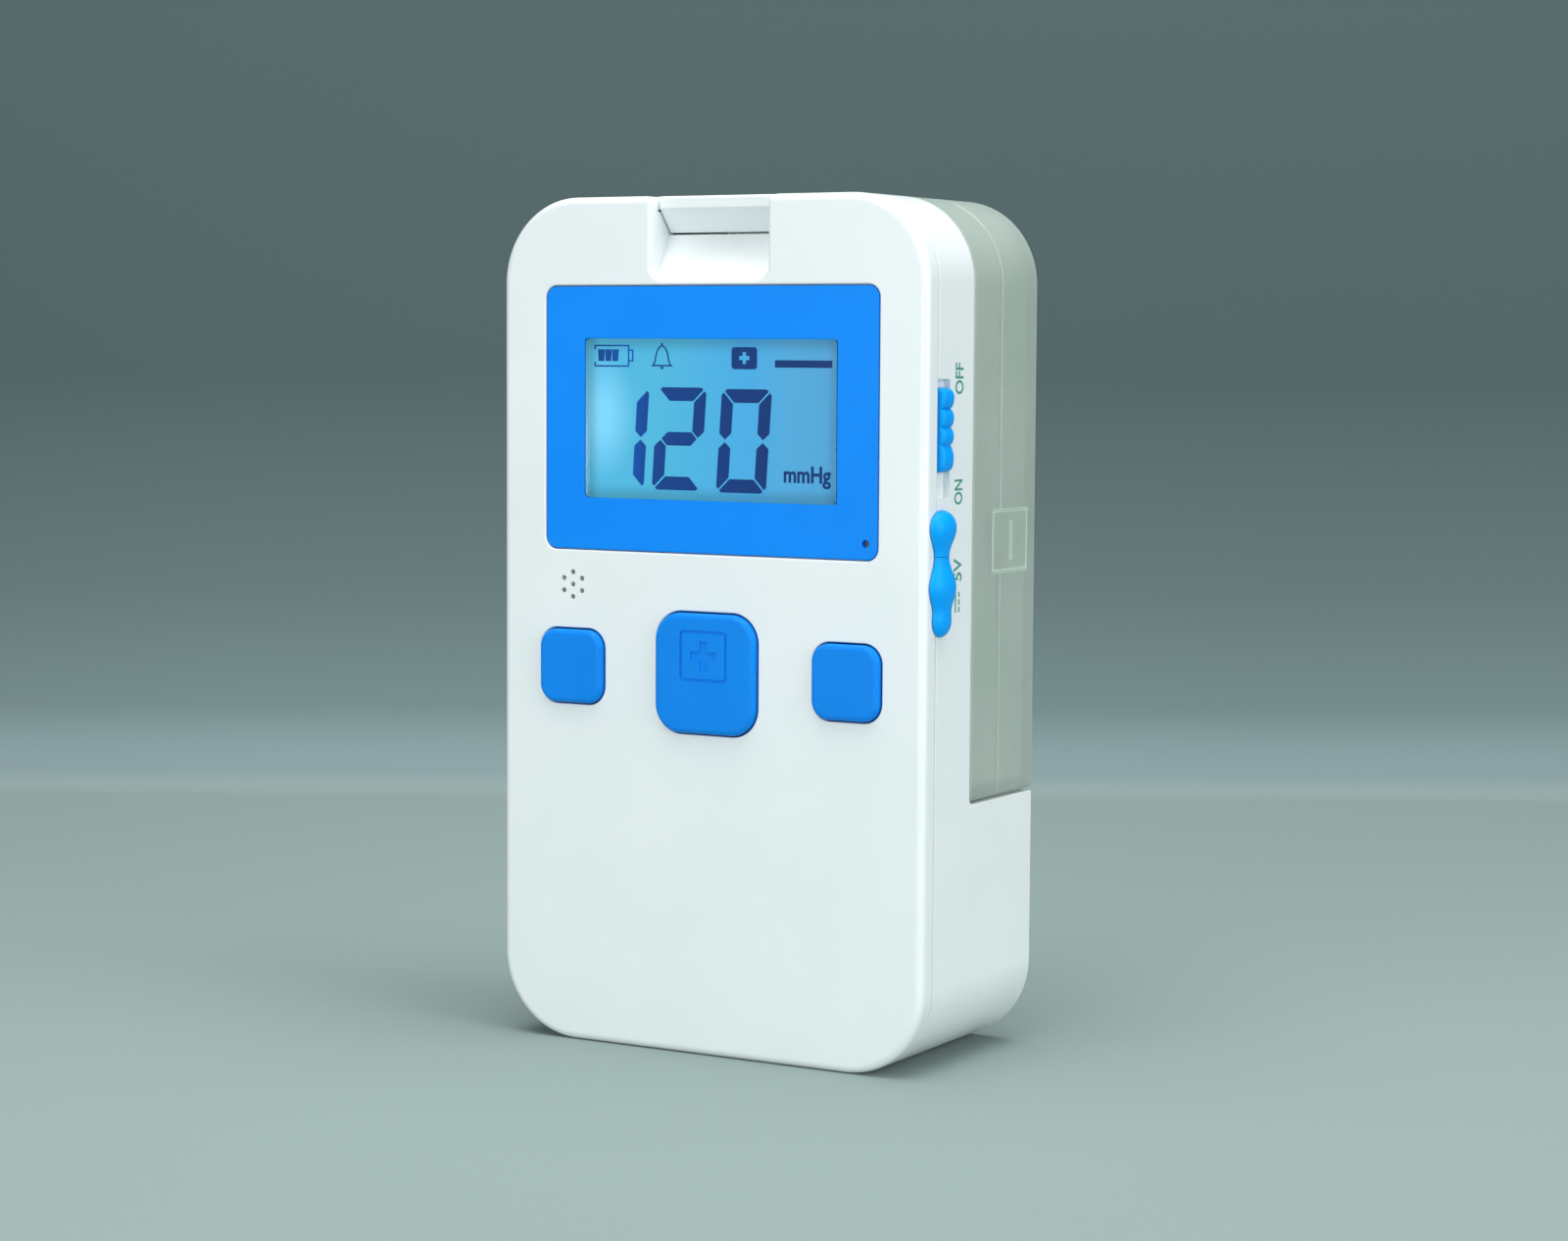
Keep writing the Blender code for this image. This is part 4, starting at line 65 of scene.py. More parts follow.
# Places read from the frame
COVER_LOW, COVER_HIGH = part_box("front_cover")
HOUSING_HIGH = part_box("rear_housing")[1]
BEZEL_LOW, BEZEL_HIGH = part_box("display_bezel")
LENS_LOW, LENS_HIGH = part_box("display_lens")
LCD_LOW, LCD_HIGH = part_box("lcd_panel")
FRONT_SHELL_LOW, FRONT_SHELL_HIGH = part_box("canister_front_shell")
REAR_SHELL_LOW, REAR_SHELL_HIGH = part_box("canister_rear_shell")
CLIP_LOW, CLIP_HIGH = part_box("canister_clip_right")
KNOB_LOW, KNOB_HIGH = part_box("power_knob")
LATCH_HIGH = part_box("release_latch")[1]
PIN_LOW, PIN_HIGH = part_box("latch_pin")
MANIFOLD_LOW, MANIFOLD_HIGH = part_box("vacuum_manifold")
CONNECTOR_LOW, CONNECTOR_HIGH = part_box("tube_connector")
CELL_LOW, CELL_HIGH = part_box("battery_cell")
SLEEVE_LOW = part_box("motor_sleeve")[0]
BOARD_LOW, BOARD_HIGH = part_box("main_board")
FRONT = COVER_LOW.y
SIDE = COVER_HIGH.x
HEIGHT = COVER_HIGH.z
DEPTH = HOUSING_HIGH.y - FRONT

# Case
CORNER = 0.0130
WALL = 0.0020
FRONT_WALL = 0.0022
COVER_DEPTH = 0.0034
SEAM = 0.0002
SEAM_EDGE = 0.00018
FRONT_FILLET = 0.0012
BACK_FILLET = 0.0008
LEDGE_FILLET = 0.0013
BAY_FILLET = 0.0010
CLEARANCE = 0.0003
OVERRUN = 0.0010
UPPER_DEPTH = FRONT_SHELL_LOW.y - FRONT - CLEARANCE
UPPER_INNER = UPPER_DEPTH - WALL
LEDGE_HEIGHT = FRONT_SHELL_LOW.z - CLEARANCE
BASE_INNER = DEPTH - WALL
HOUSING_FRONT = COVER_DEPTH + SEAM
PILLAR_RADIUS = 0.0027
COVER_PILLAR_END = 0.0073
HOUSING_PILLAR_START = 0.0076
SCREW_BORE_RADIUS = 0.0012
SCREW_HEAD_HEIGHT = 0.0011
SCREW_WELL = 0.0040
BOARD_POST_X = 0.0260
BOARD_POST_RADIUS = 0.0015
CRADLE_X = 0.0150
RIB_HALF = 0.0008

# Display
POCKET_DEPTH = 0.0013
POCKET_GAP = 0.00015
POCKET_EDGE = 0.00025
BEZEL_CORNER = 0.0018
BEZEL_EDGE = 0.00022
WINDOW_WIDTH = 0.0442
WINDOW_HEIGHT = 0.0243
WINDOW_CORNER = 0.0005
DISPLAY_MIDDLE = (0.0, (BEZEL_LOW.z + BEZEL_HIGH.z) / 2)
INDICATOR = (BEZEL_HIGH.x - 0.0020, BEZEL_LOW.z + 0.0024)
INDICATOR_RADIUS = 0.0006
LAMP_PLACE = (-0.0196, 0.0968)
LAMP_REACH = (0.010, 0.015)
# Width of the painted shadow along the inside of the LCD window
WINDOW_SHADOW_WIDTH = 0.0026
SEGMENT_NEAR = 0.00122
SEGMENT_FAR = 0.00129

# Buttons
BUTTON_PROUD = 0.0010
BUTTON_EDGE = 0.0008
BUTTON_GAP = 0.00025
BUTTON_HOLE_EDGE = 0.00020
BUTTON_LIP = 0.0008
LIP_FRONT = FRONT_WALL + CLEARANCE
LIP_BACK = LIP_FRONT + 0.0008
MARK_DEPTH = 0.00022
MARK_LIFT = 0.0027

# Sound holes
SOUND_HOLES_ROUND = 6
SOUND_RING_RADIUS = 0.0019
SOUND_HOLE_RADIUS = 0.0004
SOUND_DROP = 0.0055

# Finger recess and latch
RECESS_HALF = 0.0102
RECESS_FLOOR = HEIGHT - 0.0125
RECESS_CORNER = 0.0020
RECESS_FLARE = 0.0015
RECESS_FLARE_REACH = 0.0040
RECESS_EDGE = 0.0006
SCOOP_DEPTH = 0.0054
SCOOP_HOLLOW = 0.0007
SCOOP_WALL = 0.0012
LIP_HEIGHT = HEIGHT - 0.0054
LIP_FLAT = 0.0012
NOSE_DEPTH = 0.0022
NOSE_HEIGHT = 0.0018
NOSE_EDGE = 0.0004
LATCH_PLATE = 0.0024
LATCH_HALF = LATCH_HIGH.x
LATCH_PIN = ((PIN_LOW.y + PIN_HIGH.y) / 2 - FRONT, (PIN_LOW.z + PIN_HIGH.z) / 2)
LATCH_BARREL_RADIUS = 0.0013
LATCH_BORE_RADIUS = 0.0007
TONGUE_HALF = 0.0050
TONGUE_THICKNESS = 0.0012
TONGUE_SWING = 0.0015

# Slide switch and charging port
SLOT_TOP = HEIGHT - 0.0271
SLOT_BOTTOM = SLOT_TOP - 0.0174
SLOT_WIDTH = 0.0037
SLOT_RECESS = 0.0010
KNOB_NEAR = HOUSING_FRONT + SEAM
SLIDE_GAP = 0.00015
KNOB_FAR = HOUSING_FRONT + SLOT_WIDTH - SLIDE_GAP
KNOB_MIDDLE = (KNOB_LOW.z + KNOB_HIGH.z) / 2
KNOB_DEPTH = HOUSING_FRONT + SLOT_WIDTH / 2
KNOB_TRAVEL = KNOB_LOW.z - SLOT_BOTTOM
NECK_HALF_DEPTH = 0.0010
NECK_HALF_HEIGHT = 0.0016
LEVER_HALF_DEPTH = 0.0004
LEVER_HALF_HEIGHT = 0.0008
RIDGE_SHARES = (0.0, 0.25, 0.47, 0.68, 1.0)
RIDGE_RISE = 0.0007
KNOB_END = 0.0009
KNOB_SIDE_EDGE = 0.0006
PORT_DEPTH = 0.0045
PORT_HEIGHT = SLOT_BOTTOM - 0.0130
PORT_RADIUS = 0.0021
STEM_RADIUS = 0.0012
STEM_HEIGHT = PORT_HEIGHT + 0.0088

# Canister
CANISTER_WALL = 0.0020
CANISTER_BACK_WALL = 0.0029
CANISTER_FOOT = 0.0010
CANISTER_EDGE = 0.0007
CANISTER_SEAM_EDGE = 0.0003
FILTER_RADIUS = 0.0056
FILTER_CUP_WALL = 0.0010
FILTER_CUP_RISE = 0.0021
PORT_SEAL_HOLE_RADIUS = 0.0042
MANIFOLD_HOLE_RADIUS = 0.0028
SPIGOT_HOLE_RADIUS = 0.0021
CLIP_GROOVE_DEPTH = 0.0053
CLIP_GROOVE_CUT = 0.0004
CLIP_GROOVE_HALF_WIDTH = 0.00035
CLIP_GROOVE_HALF_HEIGHT = 0.0029
MANIFOLD = ((MANIFOLD_LOW.x + MANIFOLD_HIGH.x) / 2, (MANIFOLD_LOW.z + MANIFOLD_HIGH.z) / 2)
CONNECTOR = ((CONNECTOR_LOW.y + CONNECTOR_HIGH.y) / 2 - FRONT,
             (CONNECTOR_LOW.z + CONNECTOR_HIGH.z) / 2)

# Smoothness
CORNER_STEPS = 20
RIM_STEPS = 6
ROUND = 48
TOUCH = 0.000002

X, Y, Z = range(3)


def at(x, depth, z):
    return Vector((x, FRONT + depth, z))


# Shapes


def loft(rings):
    """A closed skin over rings of the same number of points, capped at both ends."""
    shape = bmesh.new()
    loops = [[shape.verts.new(place) for place in ring] for ring in rings]
    for near, far in zip(loops, loops[1:]):
        for index, vert in enumerate(near):
            after = (index + 1) % len(near)
            shape.faces.new((vert, near[after], far[after], far[index]))
    shape.faces.new(loops[0][::-1])
    shape.faces.new(loops[-1])
    bmesh.ops.recalc_face_normals(shape, faces=shape.faces)
    return shape


def rounded_rectangle(middle, width, height, corner, steps=CORNER_STEPS):
    points = []
    for across, up, start in ((1, 1, 0), (-1, 1, 90), (-1, -1, 180), (1, -1, 270)):
        for step in range(steps + 1):
            angle = math.radians(start + 90 * step / steps)
            points.append((middle[0] + across * (width / 2 - corner) + corner * math.cos(angle),
                           middle[1] + up * (height / 2 - corner) + corner * math.sin(angle)))
    return points


def rim(edge):
    """(distance in, inset) pairs of a rim: rounded when the edge is positive, flared when negative."""
    if edge == 0:
        return [(0.0, 0.0)]
    pairs = []
    for step in range(RIM_STEPS + 1):
        turn = math.pi / 2 * (1 - step / RIM_STEPS)
        pairs.append((abs(edge) * (1 - math.sin(turn)), edge * (1 - math.cos(turn))))
    return pairs


def slab(middle, width, height, corner, near, far, near_edge=0.0, far_edge=0.0, over=0.0,
         steps=CORNER_STEPS):
    """A rounded rectangle pushed from one depth to another, with shaped rims."""
    levels = [(near - over, near_edge)] if over else []
    levels += [(near + inward, inset) for inward, inset in rim(near_edge)]
    levels += [(far - inward, inset) for inward, inset in rim(far_edge)[::-1]]
    rings = []
    for depth, inset in levels:
        outline = rounded_rectangle(middle, width - 2 * inset, height - 2 * inset,
                                    max(corner - inset, TOUCH * 10), steps)
        rings.append([at(x, depth, z) for x, z in outline])
    return loft(rings)


def case_slab(near, far, inset, near_edge=0.0, far_edge=0.0):
    return slab((0.0, HEIGHT / 2), 2 * (SIDE - inset), HEIGHT - 2 * inset, CORNER - inset,
                near, far, near_edge, far_edge)


def rounded_outline(corners, steps):
    """Points of an outline whose corners (a, b, radius) are rounded by arcs."""
    points = []
    count = len(corners)
    for index, (a, b, radius) in enumerate(corners):
        here = Vector((a, b))
        if radius <= 0:
            points.append(here)
            continue
        back = (Vector(corners[index - 1][:2]) - here).normalized()
        ahead = (Vector(corners[(index + 1) % count][:2]) - here).normalized()
        half = back.angle(ahead) / 2
        centre = here + (back + ahead).normalized() * radius / math.sin(half)
        start = here + back * radius / math.tan(half) - centre
        end = here + ahead * radius / math.tan(half) - centre
        sweep = start.angle_signed(end)
        for step in range(steps + 1):
            spoke = start.copy()
            spoke.rotate(Matrix.Rotation(-sweep * step / steps, 2))
            points.append(centre + spoke)
    return points


def prism(outline, axis, low, high):
    """A flat outline pushed along an axis: (depth, z) along X, (x, z) along Y, (x, depth) along Z."""
    rings = []
    for level in (low, high):
        if axis == X:
            rings.append([at(level, a, b) for a, b in outline])
        elif axis == Y:
            rings.append([at(a, level, b) for a, b in outline])
        else:
            rings.append([at(a, b, level) for a, b in outline])
    return loft(rings)


def block(low, high):
    return prism([(low[X], low[Z]), (high[X], low[Z]), (high[X], high[Z]), (low[X], high[Z])],
                 Y, low[Y], high[Y])


def rod(start, length, radius, axis, steps=ROUND):
    """A round rod from a start point along an axis."""
    rings = []
    for along in (0.0, length):
        ring = []
        for step in range(steps):
            angle = 2 * math.pi * step / steps
            place = [0.0, 0.0, 0.0]
            place[axis] = along
            place[(axis + 1) % 3] = radius * math.cos(angle)
            place[(axis + 2) % 3] = radius * math.sin(angle)
            ring.append(at(*start) + Vector(place))
        rings.append(ring)
    return loft(rings)


def band(outer, inner, near, far):
    """A closed frame between two outlines (x, z) with the same number of points."""
    shape = bmesh.new()
    loops = [[shape.verts.new(at(x, depth, z)) for x, z in outline]
             for outline, depth in ((outer, near), (outer, far), (inner, far), (inner, near))]
    for first, second in zip(loops, loops[1:] + loops[:1]):
        for index in range(len(first)):
            after = (index + 1) % len(first)
            shape.faces.new((first[index], first[after], second[after], second[index]))
    bmesh.ops.recalc_face_normals(shape, faces=shape.faces)
    return shape


def lathe(profile, axis_start, steps=ROUND):
    """A closed profile of (radius, x distance) pairs turned about a line along X."""
    shape = bmesh.new()
    loops = []
    for step in range(steps):
        angle = 2 * math.pi * step / steps
        loops.append([shape.verts.new(at(*axis_start) + Vector(
            (along, radius * math.cos(angle), radius * math.sin(angle)))) for radius, along in profile])
    for first, second in zip(loops, loops[1:] + loops[:1]):
        for index in range(len(profile)):
            after = (index + 1) % len(profile)
            shape.faces.new((first[index], first[after], second[after], second[index]))
    bmesh.ops.recalc_face_normals(shape, faces=shape.faces)
    return shape


def gather(shapes):
    """Several closed shapes as one."""
    whole = shapes[0]
    for shape in shapes[1:]:
        mesh = bpy.data.meshes.new("gathered")
        shape.to_mesh(mesh)
        shape.free()
        whole.from_mesh(mesh)
        bpy.data.meshes.remove(mesh)
    return whole


class Piece:
    """One visible piece: a shape, the shapes that cut or join it, then its finish and its body."""

    def __init__(self, name, shape):
        self.name = name
        self.tools = []
        self.object = self.hold(name, shape)

    def hold(self, name, shape):
        mesh = bpy.data.meshes.new(name)
        shape.to_mesh(mesh)
        shape.free()
        obj = bpy.data.objects.new(name, mesh)
        bpy.context.scene.collection.objects.link(obj)
        return obj

    def combine(self, shape, operation):
        tool = self.hold(self.name + "_tool", shape)
        self.tools.append(tool)
        step = self.object.modifiers.new(operation.lower(), "BOOLEAN")
        step.operation = operation
        step.solver = "EXACT"
        step.object = tool
        return self

    def cut(self, shape):
        return self.combine(shape, "DIFFERENCE")

    def join(self, shape):
        return self.combine(shape, "UNION")

    def keep(self, shape):
        return self.combine(shape, "INTERSECT")

    def settle(self):
        """Turns the steps so far into the piece's own plain mesh."""
        graph = bpy.context.evaluated_depsgraph_get()
        mesh = bpy.data.meshes.new_from_object(self.object.evaluated_get(graph))
        self.object.modifiers.clear()
        self.object.data = mesh
        for tool in self.tools:
            bpy.data.objects.remove(tool)
        self.tools = []
        return self

    def finish(self, material, body, nodes=(), sharp=32):
        self.settle()
        shape = bmesh.new()
        shape.from_mesh(self.object.data)
        bmesh.ops.remove_doubles(shape, verts=shape.verts, dist=TOUCH)
        bmesh.ops.dissolve_degenerate(shape, edges=shape.edges, dist=TOUCH)
        shape.to_mesh(self.object.data)
        shape.free()
        self.object.data.materials.clear()
        self.object.data.materials.append(material)
        self.object.data.shade_smooth()
        self.object.data.set_sharp_from_angle(angle=math.radians(sharp))
        weigh = self.object.modifiers.new("even_shading", "WEIGHTED_NORMAL")
        weigh.keep_sharp = True
        self.settle()
        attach(self.object, body)
        if nodes:
            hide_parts(*nodes)
        return self.object


# Finishes


def linear(code):
    """An sRGB hex colour as linear red, green, blue and alpha."""
    values = [int(code[start:start + 2], 16) / 255 for start in (1, 3, 5)]
    return (*[value / 12.92 if value <= 0.04045 else ((value + 0.055) / 1.055) ** 2.4
              for value in values], 1.0)


def add_node(tree, kind, settings=None, inputs=None):
    """A shader node with its settings, and its inputs given as values or as other nodes' outputs."""
    node = tree.nodes.new("ShaderNode" + kind)
    for name, value in (settings or {}).items():
        setattr(node, name, value)
    for name, value in (inputs or {}).items():
        if isinstance(value, bpy.types.NodeSocket):
            tree.links.new(value, node.inputs[name])
        else:
            node.inputs[name].default_value = value
    return node


def blank_material(name):
    """An empty material with its shader and the piece's own coordinates."""
    material = bpy.data.materials.new(name)
    material.use_nodes = True
    tree = material.node_tree
    tree.nodes.clear()
    shader = add_node(tree, "BsdfPrincipled")
    output = add_node(tree, "OutputMaterial")
    tree.links.new(shader.outputs[0], output.inputs["Surface"])
    places = add_node(tree, "TexCoord").outputs["Object"]
    return material, tree, shader, places


def shade_ramp(tree, factor, stops):
    """A colour ramp from (position, colour) stops."""
    ramp = add_node(tree, "ValToRGB", None, {"Fac": factor})
    elements = ramp.color_ramp.elements
    while len(elements) < len(stops):
        elements.new(0.5)
    for element, (position, colour) in zip(elements, stops):
        element.position = position
        element.color = linear(colour)
    return ramp.outputs["Color"]


def set_shader(shader, **values):
    """Sets a shader's own sockets by name, with underscores for spaces."""
    for label, value in values.items():
        shader.inputs[label.replace("_", " ")].default_value = value


def raise_pattern(tree, shader, height, distance):
    """Turns a pattern into shallow relief."""
    relief = add_node(tree, "Bump", None, {"Height": height, "Distance": distance})
    tree.links.new(relief.outputs["Normal"], shader.inputs["Normal"])


def moulded(name, stops, roughness, spread, grain, rise, edge=0.0, **values):
    """A moulded skin: slow drift of shade through the melt, and a fine grain that breaks the gloss."""
    material, tree, shader, places = blank_material(name)
    flow = add_node(tree, "TexNoise", None, {"Vector": places, "Scale": 55.0, "Detail": 3.0})
    tree.links.new(shade_ramp(tree, flow.outputs["Fac"], stops), shader.inputs["Base Color"])
    skin = add_node(tree, "TexNoise", None, {"Vector": places, "Scale": 1 / grain, "Detail": 4.0})
    sheen = add_node(tree, "MapRange", None, {"Value": skin.outputs["Fac"],
                                              "To Min": roughness - spread, "To Max": roughness + spread})
    tree.links.new(sheen.outputs["Result"], shader.inputs["Roughness"])
    relief = add_node(tree, "Bump", None, {"Height": skin.outputs["Fac"], "Strength": 1.0,
                                           "Distance": rise})
    if edge:
        soft = add_node(tree, "Bevel", {"samples": 4}, {"Radius": edge})
        tree.links.new(soft.outputs["Normal"], relief.inputs["Normal"])
    tree.links.new(relief.outputs["Normal"], shader.inputs["Normal"])
    set_shader(shader, **values)
    return material


def make_white_abs():
    # Injection-moulded ABS, gloss: cool white, with broad soft highlights and a faint orange peel.
    # The peel's waves are drawn 0.9 mm long, coarser than the real ones, so that they show.
    return moulded("injection_moulded_white_abs", [(0.3, "#E3EAEC"), (0.7, "#E7EDEF")],
                   0.34, 0.03, 0.0009, 0.0000035, edge=0.00018, IOR=1.53, Coat_Weight=0.25,
                   Coat_Roughness=0.18)


def make_blue_abs():
    # Moulded ABS, self-coloured blue: even and satin, paler only where an edge catches the light.
    return moulded("injection_moulded_blue_abs", [(0.3, "#0686F2"), (0.7, "#098BF7")],
                   0.42, 0.03, 0.0006, 0.000002, edge=0.00015, IOR=1.45,
                   Specular_IOR_Level=0.14)


def make_blue_silicone():
    # Compression-moulded silicone rubber: soft satin blue that glows a little at its rounded edges.
    return moulded("compression_moulded_blue_silicone", [(0.3, "#0481E4"), (0.7, "#0787EA")],
                   0.45, 0.04, 0.0005, 0.000003, edge=0.00012, IOR=1.41, Specular_IOR_Level=0.18,
                   Subsurface_Weight=0.15, Subsurface_Radius=(0.2, 0.5, 1.0), Subsurface_Scale=0.0010)


def make_bright_blue_elastomer():
    # Moulded thermoplastic elastomer: the side controls' brighter blue, satin, almost cyan in the light.
    return moulded("moulded_bright_blue_elastomer", [(0.3, "#0298F0"), (0.7, "#049FF6")],
                   0.42, 0.04, 0.0005, 0.000003, edge=0.00012, IOR=1.45, Specular_IOR_Level=0.14)


def make_clear_polycarbonate():
    # Moulded polycarbonate with an etched inside: grey-green and frosted. Its rims and cut edges
    #  carry a painted highlight: a faint glow painted along them, standing in for light that leaves the wall
    #      there.
    # The etch is drawn at 0.4 mm, coarser than the real grit, so that it shows.
    material = moulded("etched_clear_polycarbonate", [(0.3, "#D9E9E0"), (0.7, "#E3F0E8")],
                       0.34, 0.05, 0.0004, 0.000004, IOR=1.50, Transmission_Weight=0.62,
                       Emission_Strength=0.55)
    tree = material.node_tree
    shader = next(node for node in tree.nodes if node.type == "BSDF_PRINCIPLED")
    # Painted highlight: a pale emission painted along rims and cut edges, where the rounded normal parts from
    # the flat one.
    rounded = add_node(tree, "Bevel", {"samples": 6}, {"Radius": 0.0005})
    flat = add_node(tree, "NewGeometry")
    alike = add_node(tree, "VectorMath", {"operation": "DOT_PRODUCT"},
                     {0: rounded.outputs["Normal"], 1: flat.outputs["Normal"]})
    painted_rim_highlight_mask = add_node(tree, "MapRange", None, {"Value": alike.outputs["Value"], "From Min": 0.995,
                                                 "From Max": 0.80, "To Min": 0.0, "To Max": 1.0})
    glow = shade_ramp(tree, painted_rim_highlight_mask.outputs["Result"], [(0.0, "#000000"), (1.0, "#C4D8CE")])
    tree.links.new(glow, shader.inputs["Emission Color"])
    return material


def make_clear_acrylic():
    # Cast acrylic sheet, polished: clear, with one sharp reflection.
    return moulded("polished_cast_acrylic", [(0.3, "#F4FAFF"), (0.7, "#F8FCFF")],
                   0.04, 0.01, 0.0030, 0.0000005, IOR=1.49, Transmission_Weight=1.0,
                   Specular_IOR_Level=0.08)


def make_lcd_glass():
    # Backlit liquid crystal glass: sky blue, brightest by the backlight's lamp at the left and dull towards
    #  the right-hand end; along the window's edges a painted shadow darkens the glow.
    material, tree, shader, places = blank_material("backlit_lcd_glass")
    width = LCD_HIGH.x - LCD_LOW.x
    middle_z = (LCD_LOW.z + LCD_HIGH.z) / 2
    lamp = add_node(tree, "Mapping", {"vector_type": "POINT"},
                    {"Vector": places,
                     "Location": (-LAMP_PLACE[0] / LAMP_REACH[0], 0.0, -LAMP_PLACE[1] / LAMP_REACH[1]),
                     "Scale": (1 / LAMP_REACH[0], 0.0, 1 / LAMP_REACH[1])})
    glow = add_node(tree, "TexGradient", {"gradient_type": "SPHERICAL"}, {"Vector": lamp.outputs[0]})
    across = add_node(tree, "Mapping", {"vector_type": "POINT"},
                      {"Vector": places, "Location": (0.5, 0.0, 0.0), "Scale": (1 / width, 1.0, 1.0)})
    fall = add_node(tree, "TexGradient", {"gradient_type": "LINEAR"}, {"Vector": across.outputs[0]})
    base = shade_ramp(tree, fall.outputs["Fac"], [(0.06, "#50BDE2"), (0.35, "#4EBAE0"),
                                                  (0.62, "#45AEE6"), (0.78, "#50ACDC"), (0.94, "#4EA4D4")])
    bright = shade_ramp(tree, glow.outputs["Fac"], [(0.0, "#000000"), (0.35, "#2A2A2A"), (0.85, "#FFFFFF")])
    lit = add_node(tree, "Mix", {"data_type": "RGBA", "blend_type": "MIX"},
                   {0: bright, 6: base, 7: linear("#83DCFF")})
    parts = add_node(tree, "SeparateXYZ", None, {"Vector": places})
    painted_edge_shadows = []
    # Painted shadow: the glow is darkened towards the window's edges, where the bezel would shade it.
    for output, middle, half in (("X", 0.0, WINDOW_WIDTH / 2), ("Z", middle_z, WINDOW_HEIGHT / 2)):
        offset = add_node(tree, "Math", {"operation": "SUBTRACT"}, {0: parts.outputs[output], 1: middle})
        away = add_node(tree, "Math", {"operation": "ABSOLUTE"}, {0: offset.outputs[0]})
        edge = add_node(tree, "MapRange", {"interpolation_type": "SMOOTHSTEP"},
                        {"Value": away.outputs[0], "From Min": half - WINDOW_SHADOW_WIDTH, "From Max": half,
                         "To Min": 1.0, "To Max": 0.66})
        painted_edge_shadows.append(edge.outputs["Result"])
    shade = add_node(tree, "Math", {"operation": "MULTIPLY"}, {0: painted_edge_shadows[0], 1: painted_edge_shadows[1]})
    edge_shadowed_glow = add_node(tree, "Mix", {"data_type": "RGBA", "blend_type": "MULTIPLY"},
                      {0: 1.0, 6: lit.outputs[2], 7: shade.outputs[0]})
    tree.links.new(edge_shadowed_glow.outputs[2], shader.inputs["Emission Color"])
    set_shader(shader, Base_Color=linear("#0A1C26"), Emission_Strength=1.04, Roughness=0.45,
               Specular_IOR_Level=0.2)
    return material


def make_segment_ink():
    # Switched liquid crystal: deep blue, a little lighter over the lamp at the left.
    material, tree, shader, places = blank_material("switched_liquid_crystal")
    across = add_node(tree, "Mapping", {"vector_type": "POINT"},
                      {"Vector": places, "Location": (0.5, 0.0, 0.0),
                       "Scale": (1 / WINDOW_WIDTH, 1.0, 1.0)})
    fall = add_node(tree, "TexGradient", {"gradient_type": "LINEAR"}, {"Vector": across.outputs[0]})
    tone = shade_ramp(tree, fall.outputs["Fac"], [(0.05, "#004C9C"), (0.17, "#005FC4"), (0.26, "#00489A"),
                                                  (0.50, "#00408C"), (0.80, "#083A7E")])
    tree.links.new(tone, shader.inputs["Emission Color"])
    set_shader(shader, Base_Color=linear("#02081C"), Emission_Strength=0.85, Roughness=0.5,
               Specular_IOR_Level=0.0)
    return material


def make_marking_ink():
    # Pad-printed ink: flat teal, a little thin in places.
    return moulded("pad_printed_teal_ink", [(0.3, "#3A8A7D"), (0.7, "#46978B")],
                   0.55, 0.05, 0.0004, 0.000001)


def make_board_laminate():
    # Glass-epoxy laminate under solder mask: green, with the paler lines of the copper below.
    material, tree, shader, places = blank_material("solder_masked_glass_laminate")
    turned = add_node(tree, "Mapping", {"vector_type": "POINT"},
                      {"Vector": places, "Rotation": (math.radians(90), 0.0, 0.0)})
    tracks = add_node(tree, "TexBrick", {"offset": 0.3, "squash": 0.6, "squash_frequency": 3},
                      {"Vector": turned.outputs[0], "Color1": linear("#0E5A34"), "Color2": linear("#0B4F2D"),
                       "Mortar": linear("#2B7F52"), "Scale": 1.0, "Mortar Size": 0.00018,
                       "Brick Width": 0.0052, "Row Height": 0.0013})
    tree.links.new(tracks.outputs["Color"], shader.inputs["Base Color"])
    raise_pattern(tree, shader, tracks.outputs["Fac"], 0.00003)
    set_shader(shader, Roughness=0.35)
    return material


def make_steel():
    # Turned and plated steel: bright grey with fine tool marks round it.
    return moulded("plated_turned_steel", [(0.3, "#A9ACAE"), (0.7, "#B7BABC")],
                   0.30, 0.07, 0.0002, 0.000001, edge=0.0001, Metallic=1.0)


def make_brass():
    # Machined brass: warm yellow with soft tool marks.
    return moulded("machined_brass", [(0.3, "#C59B4A"), (0.7, "#D2AC5C")],
                   0.28, 0.06, 0.0002, 0.000001, Metallic=1.0)


def make_copper_winding():
    # Enamelled copper wire, wound: orange-brown with the fine lines of its 0.3 mm turns.
    material, tree, shader, places = blank_material("wound_enamelled_copper")
    turns = add_node(tree, "TexWave", {"bands_direction": "X"},
                     {"Vector": places, "Scale": 2 * math.pi / (20 * 0.0003), "Distortion": 0.6})
    tree.links.new(shade_ramp(tree, turns.outputs["Fac"], [(0.0, "#6E3418"), (1.0, "#C7753A")]),
                   shader.inputs["Base Color"])
    raise_pattern(tree, shader, turns.outputs["Fac"], 0.0001)
    set_shader(shader, Metallic=0.85, Roughness=0.32)
    return material


def make_cell_wrap():
    # Shrunk PVC sleeve over a cell: even green-blue with faint draw lines along it.
    material, tree, shader, places = blank_material("shrunk_pvc_sleeve")
    drawn = add_node(tree, "Mapping", {"vector_type": "POINT"}, {"Vector": places, "Scale": (0.1, 1.0, 1.0)})
    lines = add_node(tree, "TexNoise", None, {"Vector": drawn.outputs[0], "Scale": 900.0, "Detail": 3.0})
    tree.links.new(shade_ramp(tree, lines.outputs["Fac"], [(0.3, "#2C7F77"), (0.7, "#37938A")]),
                   shader.inputs["Base Color"])
    raise_pattern(tree, shader, lines.outputs["Fac"], 0.00001)
    set_shader(shader, Roughness=0.3)
    return material


